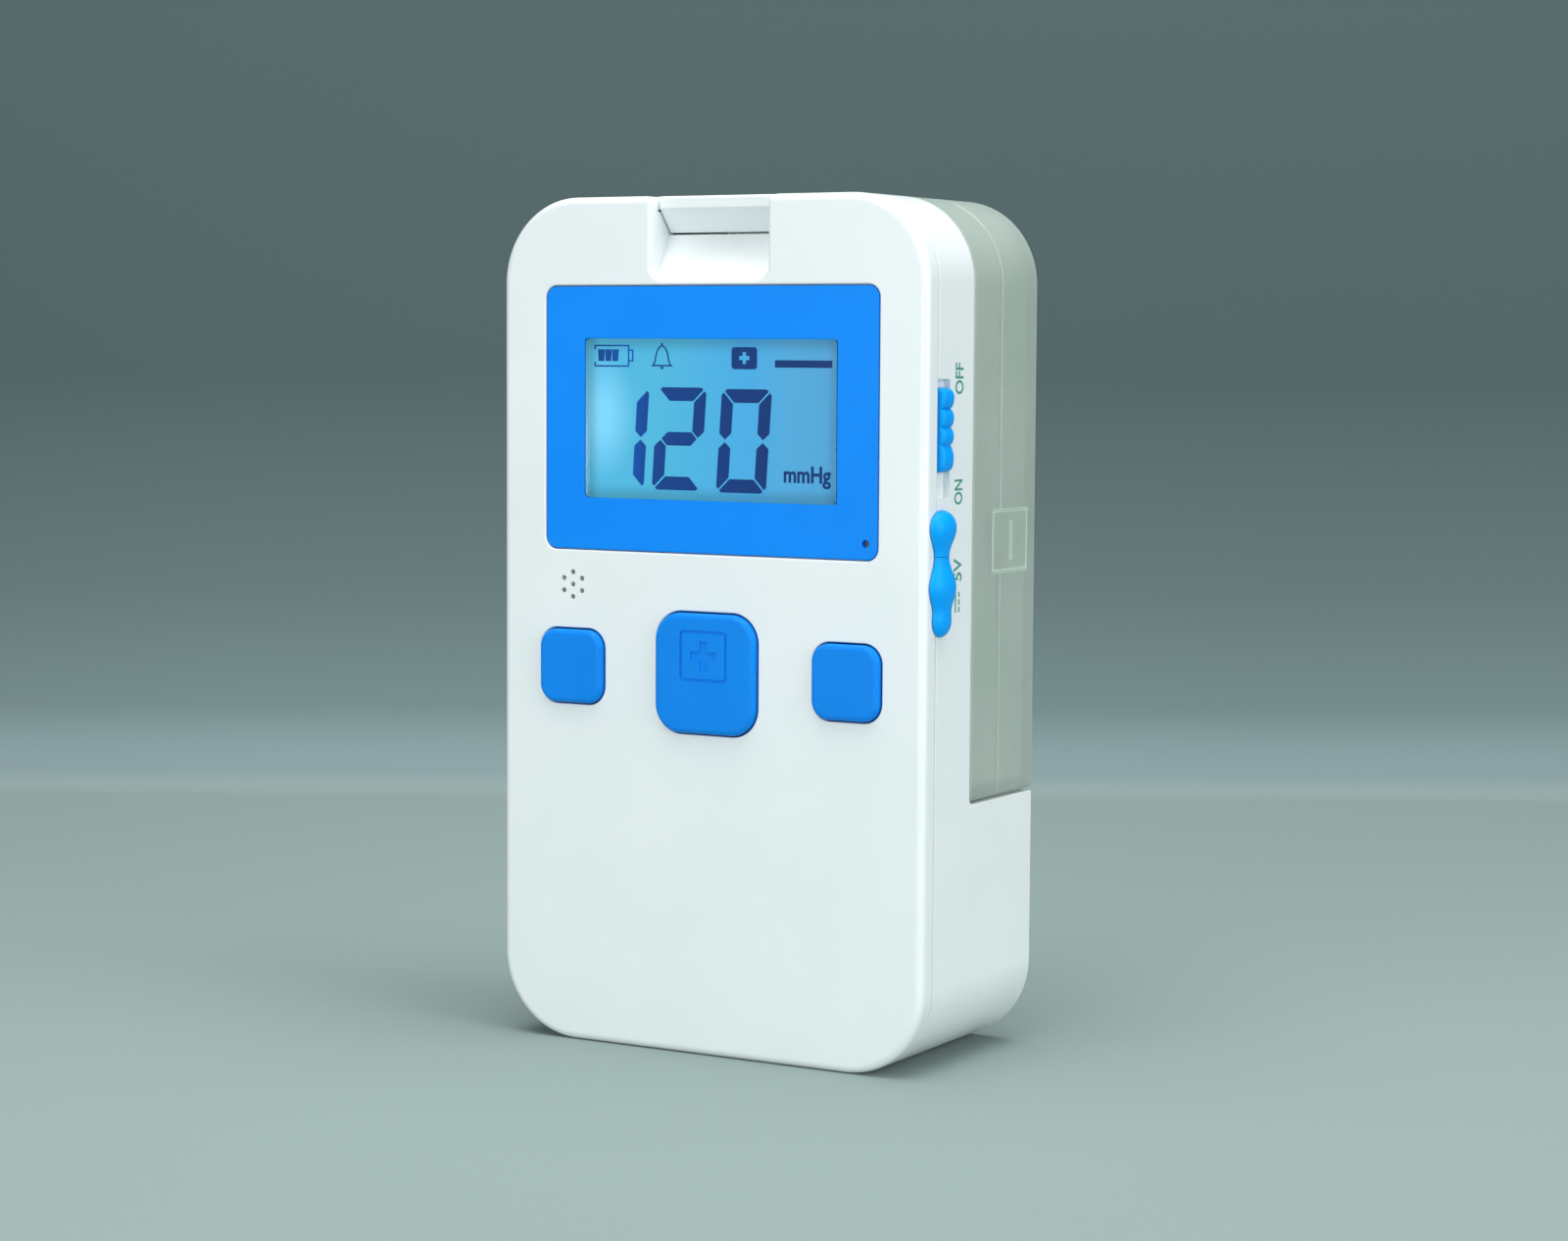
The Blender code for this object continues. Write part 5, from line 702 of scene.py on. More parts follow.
def dress_inner_nodes(finishes):
    """Gives every carried-over solid its own finish."""
    groups = {
        "light_guide": ("lcd_backlight",),
        "lcd_glass": ("lcd_panel",),
        "board_laminate": ("main_board",),
        "black_nylon": ("buzzer", "vac_plunger", "pump_plunger", "mode_plunger", "switch_lever",
                        "dc_jack", "motor_end_cap", "crankcase", "pressure_sensor"),
        "steel": ("vac_switch", "pump_switch", "mode_switch", "slide_switch", "motor_can",
                  "motor_shaft", "pump_screw_upper", "pump_screw_lower", "latch_pin"),
        "copper_winding": ("motor_armature",),
        "brass": ("eccentric_hub",),
        "natural_nylon": ("connecting_rod", "valve_plate", "pump_head_cover", "vacuum_manifold"),
        "black_rubber": ("pump_diaphragm", "valve_sheet", "motor_sleeve", "port_seal"),
        "milky_silicone": ("suction_tube", "exhaust_tube"),
        "white_foam": ("exhaust_silencer", "canister_filter"),
        "cell_wrap": ("battery_cell",),
        "red_insulation": ("battery_lead", "motor_lead", "indicator_led"),
    }
    for slot, names in groups.items():
        for name in names:
            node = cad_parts[name]
            node.data.materials.clear()
            node.data.materials.append(finishes[slot])


# Pieces


def screw_places():
    """(x, z) of the four case screws, with the depth of their shafts' tips and of their heads."""
    places = []
    for label in ("top_left", "top_right", "base_left", "base_right"):
        low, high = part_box("case_screw_" + label)
        places.append((label, (low.x + high.x) / 2, (low.z + high.z) / 2, low.y - FRONT, high.y - FRONT))
    return places


def button_places():
    """Each button's name, middle, width, height and corner radius."""
    places = []
    for name, corner in (("vac", 0.0028), ("pump", 0.0043), ("mode", 0.0028)):
        low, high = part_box(name + "_button")
        places.append((name, ((low.x + high.x) / 2, (low.z + high.z) / 2),
                       high.x - low.x - 2 * BUTTON_LIP, high.z - low.z - 2 * BUTTON_LIP, corner))
    return places


def geometry_tree(name, sizes, takes_points=False):
    """A geometry tree with named sizes, and their values by socket identifier."""
    tree = bpy.data.node_groups.new(name, "GeometryNodeTree")
    if takes_points:
        tree.interface.new_socket("Geometry", in_out="INPUT", socket_type="NodeSocketGeometry")
    values = {}
    for label, value in sizes.items():
        kind = "NodeSocketInt" if isinstance(value, int) else "NodeSocketFloat"
        values[tree.interface.new_socket(label, in_out="INPUT", socket_type=kind).identifier] = value
    tree.interface.new_socket("Geometry", in_out="OUTPUT", socket_type="NodeSocketGeometry")
    return tree, values


def join_nodes(tree, pairs, geometry, material=None):
    """Links pairs of sockets, then makes the last geometry real and gives it its material."""
    for source, target in pairs:
        tree.links.new(source, target)
    for kind in ("GeometryNodeRealizeInstances", "GeometryNodeSetMaterial"):
        node = tree.nodes.new(kind)
        tree.links.new(geometry, node.inputs["Geometry"])
        geometry = node.outputs["Geometry"]
    node.inputs["Material"].default_value = material
    tree.links.new(geometry, tree.nodes.new("NodeGroupOutput").inputs["Geometry"])


def sound_hole_rods(middle):
    """The sound holes' drills: a ring of rods and one in the middle, laid out by geometry nodes."""
    tree, sizes = geometry_tree("sound_hole_ring", {
        "Holes": SOUND_HOLES_ROUND, "Ring Radius": SOUND_RING_RADIUS, "Hole Radius": SOUND_HOLE_RADIUS,
        "Length": FRONT_WALL + 2 * OVERRUN})
    given = tree.nodes.new("NodeGroupInput")
    ring = tree.nodes.new("GeometryNodeMeshCircle")
    ring.fill_type = "NONE"
    drill = tree.nodes.new("GeometryNodeMeshCylinder")
    drill.inputs["Vertices"].default_value = 20
    spread = tree.nodes.new("GeometryNodeInstanceOnPoints")
    whole = tree.nodes.new("GeometryNodeJoinGeometry")
    join_nodes(tree, (
            (given.outputs["Holes"], ring.inputs["Vertices"]),
            (given.outputs["Ring Radius"], ring.inputs["Radius"]),
            (given.outputs["Hole Radius"], drill.inputs["Radius"]),
            (given.outputs["Length"], drill.inputs["Depth"]),
            (ring.outputs["Mesh"], spread.inputs["Points"]),
            (drill.outputs["Mesh"], spread.inputs["Instance"]),
            (spread.outputs["Instances"], whole.inputs["Geometry"]),
            (drill.outputs["Mesh"], whole.inputs["Geometry"])), whole.outputs["Geometry"])
    shape = grown(tree, sizes, [(0.0, 0.0, 0.0)])
    shape.transform(Matrix.Translation(at(middle[0], FRONT_WALL / 2, middle[1]))
                    @ Matrix.Rotation(math.radians(90), 4, "X") @ Matrix.Rotation(math.radians(30), 4, "Z"))
    return shape


def grown(tree, sizes, points):
    """The plain shape that a geometry tree grows from some points."""
    mesh = bpy.data.meshes.new(tree.name)
    mesh.from_pydata(points, [], [])
    holder = bpy.data.objects.new(tree.name, mesh)
    bpy.context.scene.collection.objects.link(holder)
    grow = holder.modifiers.new(tree.name, "NODES")
    grow.node_group = tree
    for identifier, value in sizes.items():
        grow[identifier] = value
    graph = bpy.context.evaluated_depsgraph_get()
    result = bpy.data.meshes.new_from_object(holder.evaluated_get(graph))
    shape = bmesh.new()
    shape.from_mesh(result)
    bmesh.ops.recalc_face_normals(shape, faces=shape.faces)
    bpy.data.objects.remove(holder)
    bpy.data.meshes.remove(result)
    return shape


def recess_hollow():
    """The finger recess: round lower corners, flared top, softened rim, over a curved ramp."""
    rim_height = HEIGHT + TOUCH
    above = HEIGHT + OVERRUN
    rings = []
    for depth, grow in [(-OVERRUN, RECESS_EDGE)] + [(inward, -inset) for inward, inset in
                                                    rim(-RECESS_EDGE)] + [(SCOOP_DEPTH, 0.0)]:
        half = RECESS_HALF + grow
        wide = RECESS_HALF + RECESS_FLARE_REACH
        floor = RECESS_FLOOR - grow
        outline = rounded_outline([
            (-half, floor, RECESS_CORNER + grow), (half, floor, RECESS_CORNER + grow),
            (half, rim_height, RECESS_FLARE), (wide, rim_height, 0.0), (wide, above, 0.0),
            (-wide, above, 0.0), (-wide, rim_height, 0.0), (-half, rim_height, RECESS_FLARE)], 10)
        rings.append([at(x, depth, z) for x, z in outline])
    recess = Piece("finger_recess", loft(rings))
    start = Vector((0.0, RECESS_FLOOR - RECESS_EDGE))
    end = Vector((SCOOP_DEPTH, LIP_HEIGHT - CLEARANCE))
    sag = Vector((end.y - start.y, start.x - end.x)).normalized() * SCOOP_HOLLOW
    ramp = [Vector((-2 * OVERRUN, start.y))]
    for step in range(CORNER_STEPS):
        t = step / (CORNER_STEPS - 1)
        ramp.append(start.lerp(end, t) + sag * 4 * t * (1 - t))
    ramp += [Vector((SCOOP_DEPTH + OVERRUN, end.y)), Vector((SCOOP_DEPTH + OVERRUN, above + OVERRUN)),
             Vector((-2 * OVERRUN, above + OVERRUN))]
    reach = RECESS_HALF + RECESS_FLARE_REACH + OVERRUN
    recess.keep(prism(ramp, X, -reach, reach)).settle()
    shape = bmesh.new()
    shape.from_mesh(recess.object.data)
    bpy.data.objects.remove(recess.object)
    return shape


def port_opening():
    return rod((SIDE - WALL - OVERRUN, PORT_DEPTH, PORT_HEIGHT), WALL + 2 * OVERRUN, PORT_RADIUS, X)


def stem_opening():
    return rod((SIDE - WALL - OVERRUN, PORT_DEPTH, STEM_HEIGHT), WALL + 2 * OVERRUN,
               STEM_RADIUS + CLEARANCE, X)


def make_front_cover(white):
    cover = Piece("moulded_front_cover",
                  case_slab(0.0, COVER_DEPTH, 0.0, near_edge=FRONT_FILLET, far_edge=SEAM_EDGE))
    cover.cut(case_slab(FRONT_WALL, COVER_DEPTH + OVERRUN, WALL))
    half = RECESS_HALF + SCOOP_WALL
    low, high = RECESS_FLOOR - SCOOP_WALL, LIP_HEIGHT - CLEARANCE
    cover.join(prism(rounded_outline([(-half, low, RECESS_CORNER), (half, low, RECESS_CORNER),
                                      (half, high, 0.0), (-half, high, 0.0)], 6),
                     Y, FRONT_WALL / 2, SCOOP_DEPTH + SCOOP_WALL))
    for side in (-1, 1):
        xs = sorted((side * RECESS_HALF, side * half))
        cover.join(block((xs[0], FRONT_WALL / 2, high - WALL),
                         (xs[1], SCOOP_DEPTH + SCOOP_WALL, HEIGHT - WALL - CLEARANCE)))
    for label, x, z, tip, head in screw_places():
        cover.join(rod((x, FRONT_WALL / 2, z), COVER_PILLAR_END - FRONT_WALL / 2, PILLAR_RADIUS, Y))
    cover.cut(recess_hollow())
    width, height = BEZEL_HIGH.x - BEZEL_LOW.x, BEZEL_HIGH.z - BEZEL_LOW.z
    cover.cut(slab(DISPLAY_MIDDLE, width + 2 * POCKET_GAP, height + 2 * POCKET_GAP,
                   BEZEL_CORNER + POCKET_GAP, 0.0, POCKET_DEPTH, near_edge=-POCKET_EDGE, over=OVERRUN))
    cover.cut(slab(DISPLAY_MIDDLE, LCD_HIGH.x - LCD_LOW.x + 2 * CLEARANCE,
                   LCD_HIGH.z - LCD_LOW.z + 2 * CLEARANCE, WINDOW_CORNER, POCKET_DEPTH / 2,
                   FRONT_WALL + OVERRUN, steps=4))
    for name, middle, width, height, corner in button_places():
        cover.cut(slab(middle, width + 2 * BUTTON_GAP, height + 2 * BUTTON_GAP, corner + BUTTON_GAP, 0.0,
                       FRONT_WALL + OVERRUN, near_edge=-BUTTON_HOLE_EDGE, over=OVERRUN))
    vac_x = button_places()[0][1][0]
    cover.cut(sound_hole_rods((vac_x, BEZEL_LOW.z - SOUND_DROP)))
    cover.cut(rod((INDICATOR[0], -OVERRUN, INDICATOR[1]), FRONT_WALL + 2 * OVERRUN, INDICATOR_RADIUS, Y, 24))
    for label, x, z, tip, head in screw_places():
        cover.cut(rod((x, tip - CLEARANCE, z), COVER_PILLAR_END + 0.0013 - tip, SCREW_BORE_RADIUS, Y))
    cover.cut(port_opening()).cut(stem_opening())
    return cover.finish(white, "case", ["front_cover"])


def make_rear_housing(white):
    profile = rounded_outline([
        (HOUSING_FRONT, -OVERRUN, 0.0), (DEPTH + OVERRUN, -OVERRUN, 0.0),
        (DEPTH + OVERRUN, LEDGE_HEIGHT, 0.0), (DEPTH, LEDGE_HEIGHT, 0.0),
        (UPPER_DEPTH, LEDGE_HEIGHT, BAY_FILLET), (UPPER_DEPTH, HEIGHT + OVERRUN, 0.0),
        (HOUSING_FRONT, HEIGHT + OVERRUN, 0.0)], 8)
    housing = Piece("moulded_rear_housing", prism(profile, X, -SIDE - OVERRUN, SIDE + OVERRUN))
    housing.keep(case_slab(HOUSING_FRONT, DEPTH, 0.0, near_edge=SEAM_EDGE, far_edge=BACK_FILLET))
    corner_bar = [(DEPTH - LEDGE_FILLET, LEDGE_HEIGHT + OVERRUN), (DEPTH - LEDGE_FILLET, LEDGE_HEIGHT)]
    for step in range(9):
        turn = math.pi / 2 * step / 8
        corner_bar.append((DEPTH - LEDGE_FILLET + LEDGE_FILLET * math.sin(turn),
                           LEDGE_HEIGHT - LEDGE_FILLET + LEDGE_FILLET * math.cos(turn)))
    corner_bar += [(DEPTH + OVERRUN, LEDGE_HEIGHT - LEDGE_FILLET), (DEPTH + OVERRUN, LEDGE_HEIGHT + OVERRUN)]
    housing.cut(prism(corner_bar, X, -SIDE - OVERRUN, SIDE + OVERRUN))
    housing.cut(slab((0.0, HEIGHT / 2), 2 * (SIDE - WALL), HEIGHT - 2 * WALL, CORNER - WALL,
                     0.0, UPPER_INNER))
    inner_half = SIDE - WALL
    base = rounded_outline([(-inner_half, WALL, CORNER - WALL), (inner_half, WALL, CORNER - WALL),
                            (inner_half, LEDGE_HEIGHT - WALL, 0.0),
                            (-inner_half, LEDGE_HEIGHT - WALL, 0.0)], CORNER_STEPS)
    housing.cut(prism(base, Y, UPPER_INNER / 2, BASE_INNER))
    for label, x, z, tip, head in screw_places():
        back = UPPER_DEPTH if z > LEDGE_HEIGHT else DEPTH
        housing.join(rod((x, HOUSING_PILLAR_START, z), back - WALL / 2 - HOUSING_PILLAR_START,
                         PILLAR_RADIUS, Y))
        housing.cut(slab((x, z), SCREW_WELL, SCREW_WELL, SCREW_WELL / 2 - TOUCH * 5,
                         head - SCREW_HEAD_HEIGHT, back, far_edge=-0.0002, steps=12))
        bore_start = HOUSING_PILLAR_START - OVERRUN
        housing.cut(rod((x, bore_start, z), head - bore_start, SCREW_BORE_RADIUS, Y))
    for x in (-BOARD_POST_X, BOARD_POST_X):
        for z in (BOARD_LOW.z + 0.0080, DISPLAY_MIDDLE[1]):
            start = BOARD_HIGH.y - FRONT + CLEARANCE
            housing.join(rod((x, start, z), UPPER_DEPTH - WALL / 2 - start, BOARD_POST_RADIUS, Y, 24))
    add_cradles(housing)
    add_latch_seat(housing)
    cut_side_wall(housing)
    housing.cut(rod((MANIFOLD[0], UPPER_INNER - OVERRUN, MANIFOLD[1]), WALL + 2 * OVERRUN,
                    MANIFOLD_HOLE_RADIUS, Y))
    return housing.finish(white, "case", ["rear_housing"])


def add_cradles(housing):
    """Two ribs hollowed to the battery's round, and two shelves under the motor's sleeve."""
    radius = (CELL_HIGH.z - CELL_LOW.z) / 2
    depth = (CELL_LOW.y + CELL_HIGH.y) / 2 - FRONT
    height = (CELL_LOW.z + CELL_HIGH.z) / 2
    for x in (-CRADLE_X, CRADLE_X):
        housing.join(block((x - RIB_HALF, depth - radius - WALL, WALL / 2),
                           (x + RIB_HALF, depth - radius + 0.0090, 0.0075)))
    housing.cut(rod((CELL_LOW.x - OVERRUN, depth, height), CELL_HIGH.x - CELL_LOW.x + 2 * OVERRUN,
                    radius + CLEARANCE, X))
    middle = (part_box("motor_can")[0].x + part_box("motor_can")[1].x) / 2
    shelf_top = SLEEVE_LOW.z - CLEARANCE
    for x in (middle - 0.0050, middle + 0.0050):
        housing.join(block((x - RIB_HALF, BASE_INNER - 0.0040, shelf_top - 2 * RIB_HALF),
                           (x + RIB_HALF, DEPTH - WALL / 2, shelf_top)))


def tongue_slot(near, far):
    top = LATCH_PIN[1] + CLEARANCE
    return block((-TONGUE_HALF - CLEARANCE, near, top - 2 * TONGUE_THICKNESS - TONGUE_SWING),
                 (TONGUE_HALF + CLEARANCE, far, top))


def add_latch_seat(housing):
    """The latch's opening in the top, two ears for its pin and the slot for its tongue."""
    for side in (-1, 1):
        xs = sorted((side * RECESS_HALF, side * (RECESS_HALF + 0.0016)))
        housing.join(block((xs[0], LATCH_PIN[0] - 0.0016, LATCH_PIN[1] - 0.0012),
                           (xs[1], UPPER_DEPTH - WALL / 2, HEIGHT - WALL / 2)))
    housing.cut(block((-RECESS_HALF, HOUSING_FRONT - OVERRUN, HEIGHT - WALL - OVERRUN),
                      (RECESS_HALF, UPPER_INNER, HEIGHT + OVERRUN)))
    reach = RECESS_HALF + 0.0016 + OVERRUN
    housing.cut(rod((-reach, LATCH_PIN[0], LATCH_PIN[1]), 2 * reach, LATCH_BORE_RADIUS, X, 24))
    housing.cut(tongue_slot(UPPER_INNER - OVERRUN, UPPER_DEPTH + OVERRUN))


def cut_side_wall(housing):
    """The knob's recess and slot, and the holes for the charging plug and the cover's stem."""
    housing.cut(prism(rounded_outline([
        (HOUSING_FRONT - OVERRUN, SLOT_BOTTOM, 0.0), (HOUSING_FRONT + SLOT_WIDTH, SLOT_BOTTOM, 0.0003),
        (HOUSING_FRONT + SLOT_WIDTH, SLOT_TOP, 0.0003), (HOUSING_FRONT - OVERRUN, SLOT_TOP, 0.0)], 4),
        X, SIDE - SLOT_RECESS, SIDE + OVERRUN))
    half_depth = NECK_HALF_DEPTH + CLEARANCE
    half_height = NECK_HALF_HEIGHT + CLEARANCE
    housing.cut(block((SIDE - WALL - OVERRUN, KNOB_DEPTH - half_depth,
                       KNOB_MIDDLE - half_height - KNOB_TRAVEL),
                      (SIDE, KNOB_DEPTH + half_depth, KNOB_MIDDLE + half_height)))
    housing.cut(port_opening()).cut(stem_opening())


def make_display(blue, clear, ink):
    width, height = BEZEL_HIGH.x - BEZEL_LOW.x, BEZEL_HIGH.z - BEZEL_LOW.z
    near, far = BEZEL_LOW.y - FRONT, BEZEL_HIGH.y - FRONT
    bezel = Piece("moulded_display_bezel", slab(DISPLAY_MIDDLE, width, height, BEZEL_CORNER, near, far,
                                                near_edge=BEZEL_EDGE))
    bezel.cut(slab(DISPLAY_MIDDLE, WINDOW_WIDTH, WINDOW_HEIGHT, WINDOW_CORNER, near, far + OVERRUN,
                   near_edge=-0.00008, over=OVERRUN, steps=6))
    bezel.cut(rod((INDICATOR[0], -OVERRUN, INDICATOR[1]), POCKET_DEPTH + OVERRUN, INDICATOR_RADIUS, Y, 24))
    bezel.finish(blue, "case", ["display_bezel"])
    lens = Piece("polished_display_lens", slab(
        DISPLAY_MIDDLE, LENS_HIGH.x - LENS_LOW.x, LENS_HIGH.z - LENS_LOW.z, WINDOW_CORNER,
        LENS_LOW.y - FRONT, LENS_HIGH.y - FRONT, near_edge=0.00008, steps=6))
    lens.finish(clear, "case", ["display_lens"])
    make_segments(ink)


# Outlines on the display are in millimetres, x across and z up, as on a display drawing
DIGIT_HEIGHT = 15.5
DIGIT_WIDTH = 8.65
SEGMENT = 2.05
SEGMENT_GAP = 0.10
DIGIT_CHAMFER = 0.9
DIGIT_LEAN = 0.066


def segment_outlines():
    """The seven segments of an upright digit, by their usual letters."""
    w, h, t, s, c = DIGIT_WIDTH, DIGIT_HEIGHT, SEGMENT, SEGMENT_GAP, DIGIT_CHAMFER
    m = h / 2
    top = [(c, h), (w - c, h), (w - c / 2 - s, h - c / 2 + s), (w - t - 2 * s, h - t),
           (t + 2 * s, h - t), (c / 2 + s, h - c / 2 + s)]
    upper_right = [(w, h - c), (w - c / 2 + s, h - c / 2 - s), (w - t, h - t - 2 * s),
                   (w - t, m + t / 2 + s), (w - t / 2, m + 2 * s), (w, m + t / 2 + s)]
    middle = [(t / 2 + 2 * s, m), (t + 2 * s, m + t / 2), (w - t - 2 * s, m + t / 2), (w - t / 2 - 2 * s, m),
              (w - t - 2 * s, m - t / 2), (t + 2 * s, m - t / 2)]
    turned = lambda outline: [(x, h - z) for x, z in outline][::-1]
    mirrored = lambda outline: [(w - x, z) for x, z in outline][::-1]
    return {"a": top, "b": upper_right, "c": turned(upper_right), "d": turned(top),
            "e": mirrored(turned(upper_right)), "f": mirrored(upper_right), "g": middle}


def display_prism(outline):
    return prism([(x / 1000, z / 1000) for x, z in outline], Y, SEGMENT_NEAR, SEGMENT_FAR)


def stroke(points, width):
    """A thin line of some width through points, as an outline."""
    left, right = [], []
    for index, point in enumerate(points):
        here = Vector(point)
        before = Vector(points[max(index - 1, 0)])
        after = Vector(points[min(index + 1, len(points) - 1)])
        way = (after - before).normalized()
        side = Vector((-way.y, way.x)) * width / 2
        left.append(tuple(here + side))
        right.append(tuple(here - side))
    return left + right[::-1]


def rectangle(left, low, right, high):
    return [(left, low), (right, low), (right, high), (left, high)]


def battery_mark():
    line = 0.24
    left, right, low, high = -20.8, -14.5, 104.30, 107.65
    marks = [rectangle(left, high - line, right, high), rectangle(left, low, right, low + line),
             rectangle(right - line, low + line, right, high - line),
             rectangle(left, high - 0.75, left + line, high - line),
             rectangle(left, low + line, left + line, low + 0.75),
             rectangle(right, 106.70, right + 0.75, 106.70 + line),
             rectangle(right, 105.10, right + 0.75, 105.10 + line),
             rectangle(right + 0.75 - line, 105.10 + line, right + 0.75, 106.70)]
    for start in (-20.15, -18.90, -17.65):
        marks.append([(start + 0.12, 105.15), (start + 1.10, 105.15), (start + 1.30, 106.95),
                      (start + 0.10 * (start > -20) + 0.02, 106.95)])
    return marks


def bell_mark():
    side = [(-10.15, 104.62), (-9.85, 105.25), (-9.72, 106.10), (-9.45, 106.85), (-9.05, 107.35),
            (-8.65, 107.55)]
    mirrored = [(-17.30 - x, z) for x, z in side]
    return [stroke(side, 0.22), stroke(mirrored, 0.22), rectangle(-10.5, 104.42, -6.8, 104.66),
            rectangle(-8.80, 107.50, -8.50, 107.95), rectangle(-8.90, 104.02, -8.40, 104.36)]


def make_segments(ink):
    """The switched-on parts of the display: plain numbers, a unit and simple signs."""
    segments = segment_outlines()
    marks = []
    for letters, left, low in (("bc", -20.55, 85.75), ("abged", -10.4, 85.80), ("abcdef", 0.95, 85.65)):
        for letter in letters:
            marks.append([(left + x + z * DIGIT_LEAN, low + z) for x, z in segments[letter]])
    marks += battery_mark() + bell_mark()
    marks.append(rectangle(11.1, 104.4, 20.8, 105.5))
    shapes = [display_prism(outline) for outline in marks]
    tile = Piece("plus_tile", slab((0.0058, 0.10575), 0.0044, 0.0033, 0.0005,
                                   SEGMENT_NEAR, SEGMENT_FAR, steps=4))
    tile.cut(plus_shape((0.0058, 0.10578), 0.0018, 0.0006, SEGMENT_NEAR - OVERRUN, SEGMENT_FAR + OVERRUN))
    tile.settle()
    square = bmesh.new()
    square.from_mesh(tile.object.data)
    bpy.data.objects.remove(tile.object)
    shapes.append(square)
    unit = lettering("mmHg", 0.0004)
    fit_lettering(unit, (0.0080, 0.0033), Matrix(((1, 0, 0, 0.0127), (0, 0, -1, FRONT + SEGMENT_FAR),
                                                  (0, 1, 0, 0.0866), (0, 0, 0, 1))),
                  SEGMENT_FAR - SEGMENT_NEAR)
    shapes.append(unit)
    Piece("display_segments", gather(shapes)).finish(ink, "case", sharp=20)


def plus_shape(middle, size, arm, near, far):
    half, thin = size / 2, arm / 2
    x, z = middle
    outline = [(x - thin, z - half), (x + thin, z - half), (x + thin, z - thin), (x + half, z - thin),
               (x + half, z + thin), (x + thin, z + thin), (x + thin, z + half), (x - thin, z + half),
               (x - thin, z + thin), (x - half, z + thin), (x - half, z - thin), (x - thin, z - thin)]
    return prism(outline, Y, near, far)


def lettering(words, weight):
    """Letters as a closed shape lying in the XY plane, before they are fitted to their place."""
    text = bpy.data.curves.new("letters", "FONT")
    text.body = words
    text.size = 0.004
    text.extrude = 0.0001
    text.offset = weight * 0.25
    holder = bpy.data.objects.new("letters", text)
    bpy.context.scene.collection.objects.link(holder)
    graph = bpy.context.evaluated_depsgraph_get()
    mesh = bpy.data.meshes.new_from_object(holder.evaluated_get(graph))
    shape = bmesh.new()
    shape.from_mesh(mesh)
    bmesh.ops.remove_doubles(shape, verts=shape.verts, dist=TOUCH)
    bpy.data.objects.remove(holder)
    bpy.data.curves.remove(text)
    bpy.data.meshes.remove(mesh)
    return shape


def fit_lettering(shape, size, place, thickness):
    """Scales letters to a width and height from their lower left corner, and puts them in place."""
    lows = [min(vert.co[axis] for vert in shape.verts) for axis in range(3)]
    highs = [max(vert.co[axis] for vert in shape.verts) for axis in range(3)]
    spans = (size[0], size[1], thickness)
    shape.transform(place @ Matrix.Diagonal([span / (high - low) for span, low, high in
                                             zip(spans, lows, highs)] + [1.0])
                    @ Matrix.Translation([-low for low in lows]))


def make_buttons(blue):
    for name, middle, width, height, corner in button_places():
        button = Piece("moulded_" + name + "_button", slab(
            middle, width, height, corner, -BUTTON_PROUD, LIP_BACK, near_edge=BUTTON_EDGE))
        button.join(slab(middle, width + 2 * BUTTON_LIP, height + 2 * BUTTON_LIP, corner + BUTTON_LIP,
                         LIP_FRONT, LIP_BACK))
        if name == "pump":
            sign = (middle[0], middle[1] + MARK_LIFT)
            button.cut(band(rounded_rectangle(sign, 0.0083, 0.0077, 0.0008, 6),
                            rounded_rectangle(sign, 0.0075, 0.0069, 0.0004, 6),
                            -BUTTON_PROUD - OVERRUN, -BUTTON_PROUD + MARK_DEPTH))
            button.cut(plus_shape(sign, 0.0045, 0.0013, -BUTTON_PROUD - OVERRUN, -BUTTON_PROUD + MARK_DEPTH))
        button.finish(blue, name + "_key", [name + "_button"])


def knob_sections():
    """Outlines (x, depth) of the knob from its foot to its top: four round ridges, rounded ends."""
    inner = SIDE - SLOT_RECESS + SLIDE_GAP
    crest = KNOB_HIGH.x
    length = KNOB_HIGH.z - KNOB_LOW.z
    shares = sorted(1 - share for share in RIDGE_SHARES)
    rings = []
    steps = 96
    for step in range(steps + 1):
        share = step / steps
        low = max(value for value in shares[:-1] if value <= share + 1e-9)
        high = shares[shares.index(low) + 1]
        t = (share - low) / (high - low)
        swell = max(math.sin(math.pi * min(t, 1.0)), 0.0) ** 0.5
        from_end = min(share, 1 - share) * length
        fall = KNOB_END - math.sqrt(max(KNOB_END ** 2 - max(KNOB_END - from_end, 0.0) ** 2, 0.0))
        outer = crest - RIDGE_RISE * (1 - swell) - fall * 0.8
        inset = fall * 0.25
        half = (KNOB_FAR - KNOB_NEAR) / 2 - inset
        edge = min(KNOB_SIDE_EDGE, half * 0.9, (outer - inner) * 0.9)
        depth = (KNOB_NEAR + KNOB_FAR) / 2
        outline = rounded_outline([(inner, depth - half, 0.0), (outer, depth - half, edge),
                                   (outer, depth + half, edge), (inner, depth + half, 0.0)], 6)
        z = KNOB_LOW.z + length * share
        rings.append([at(x, d, z) for x, d in outline])
    return rings


def make_power_knob(blue):
    knob = Piece("moulded_power_knob", loft(knob_sections()))
    neck_in = KNOB_LOW.x
    knob.join(block((neck_in, KNOB_DEPTH - NECK_HALF_DEPTH, KNOB_MIDDLE - NECK_HALF_HEIGHT),
                    (SIDE, KNOB_DEPTH + NECK_HALF_DEPTH, KNOB_MIDDLE + NECK_HALF_HEIGHT)))
    half_depth = LEVER_HALF_DEPTH + SLIDE_GAP
    half_height = LEVER_HALF_HEIGHT + SLIDE_GAP
    knob.cut(block((neck_in - OVERRUN, KNOB_DEPTH - half_depth, KNOB_MIDDLE - half_height),
                   (SIDE - SLOT_RECESS, KNOB_DEPTH + half_depth, KNOB_MIDDLE + half_height)))
    knob.finish(blue, "power_slider", ["power_knob"], sharp=40)


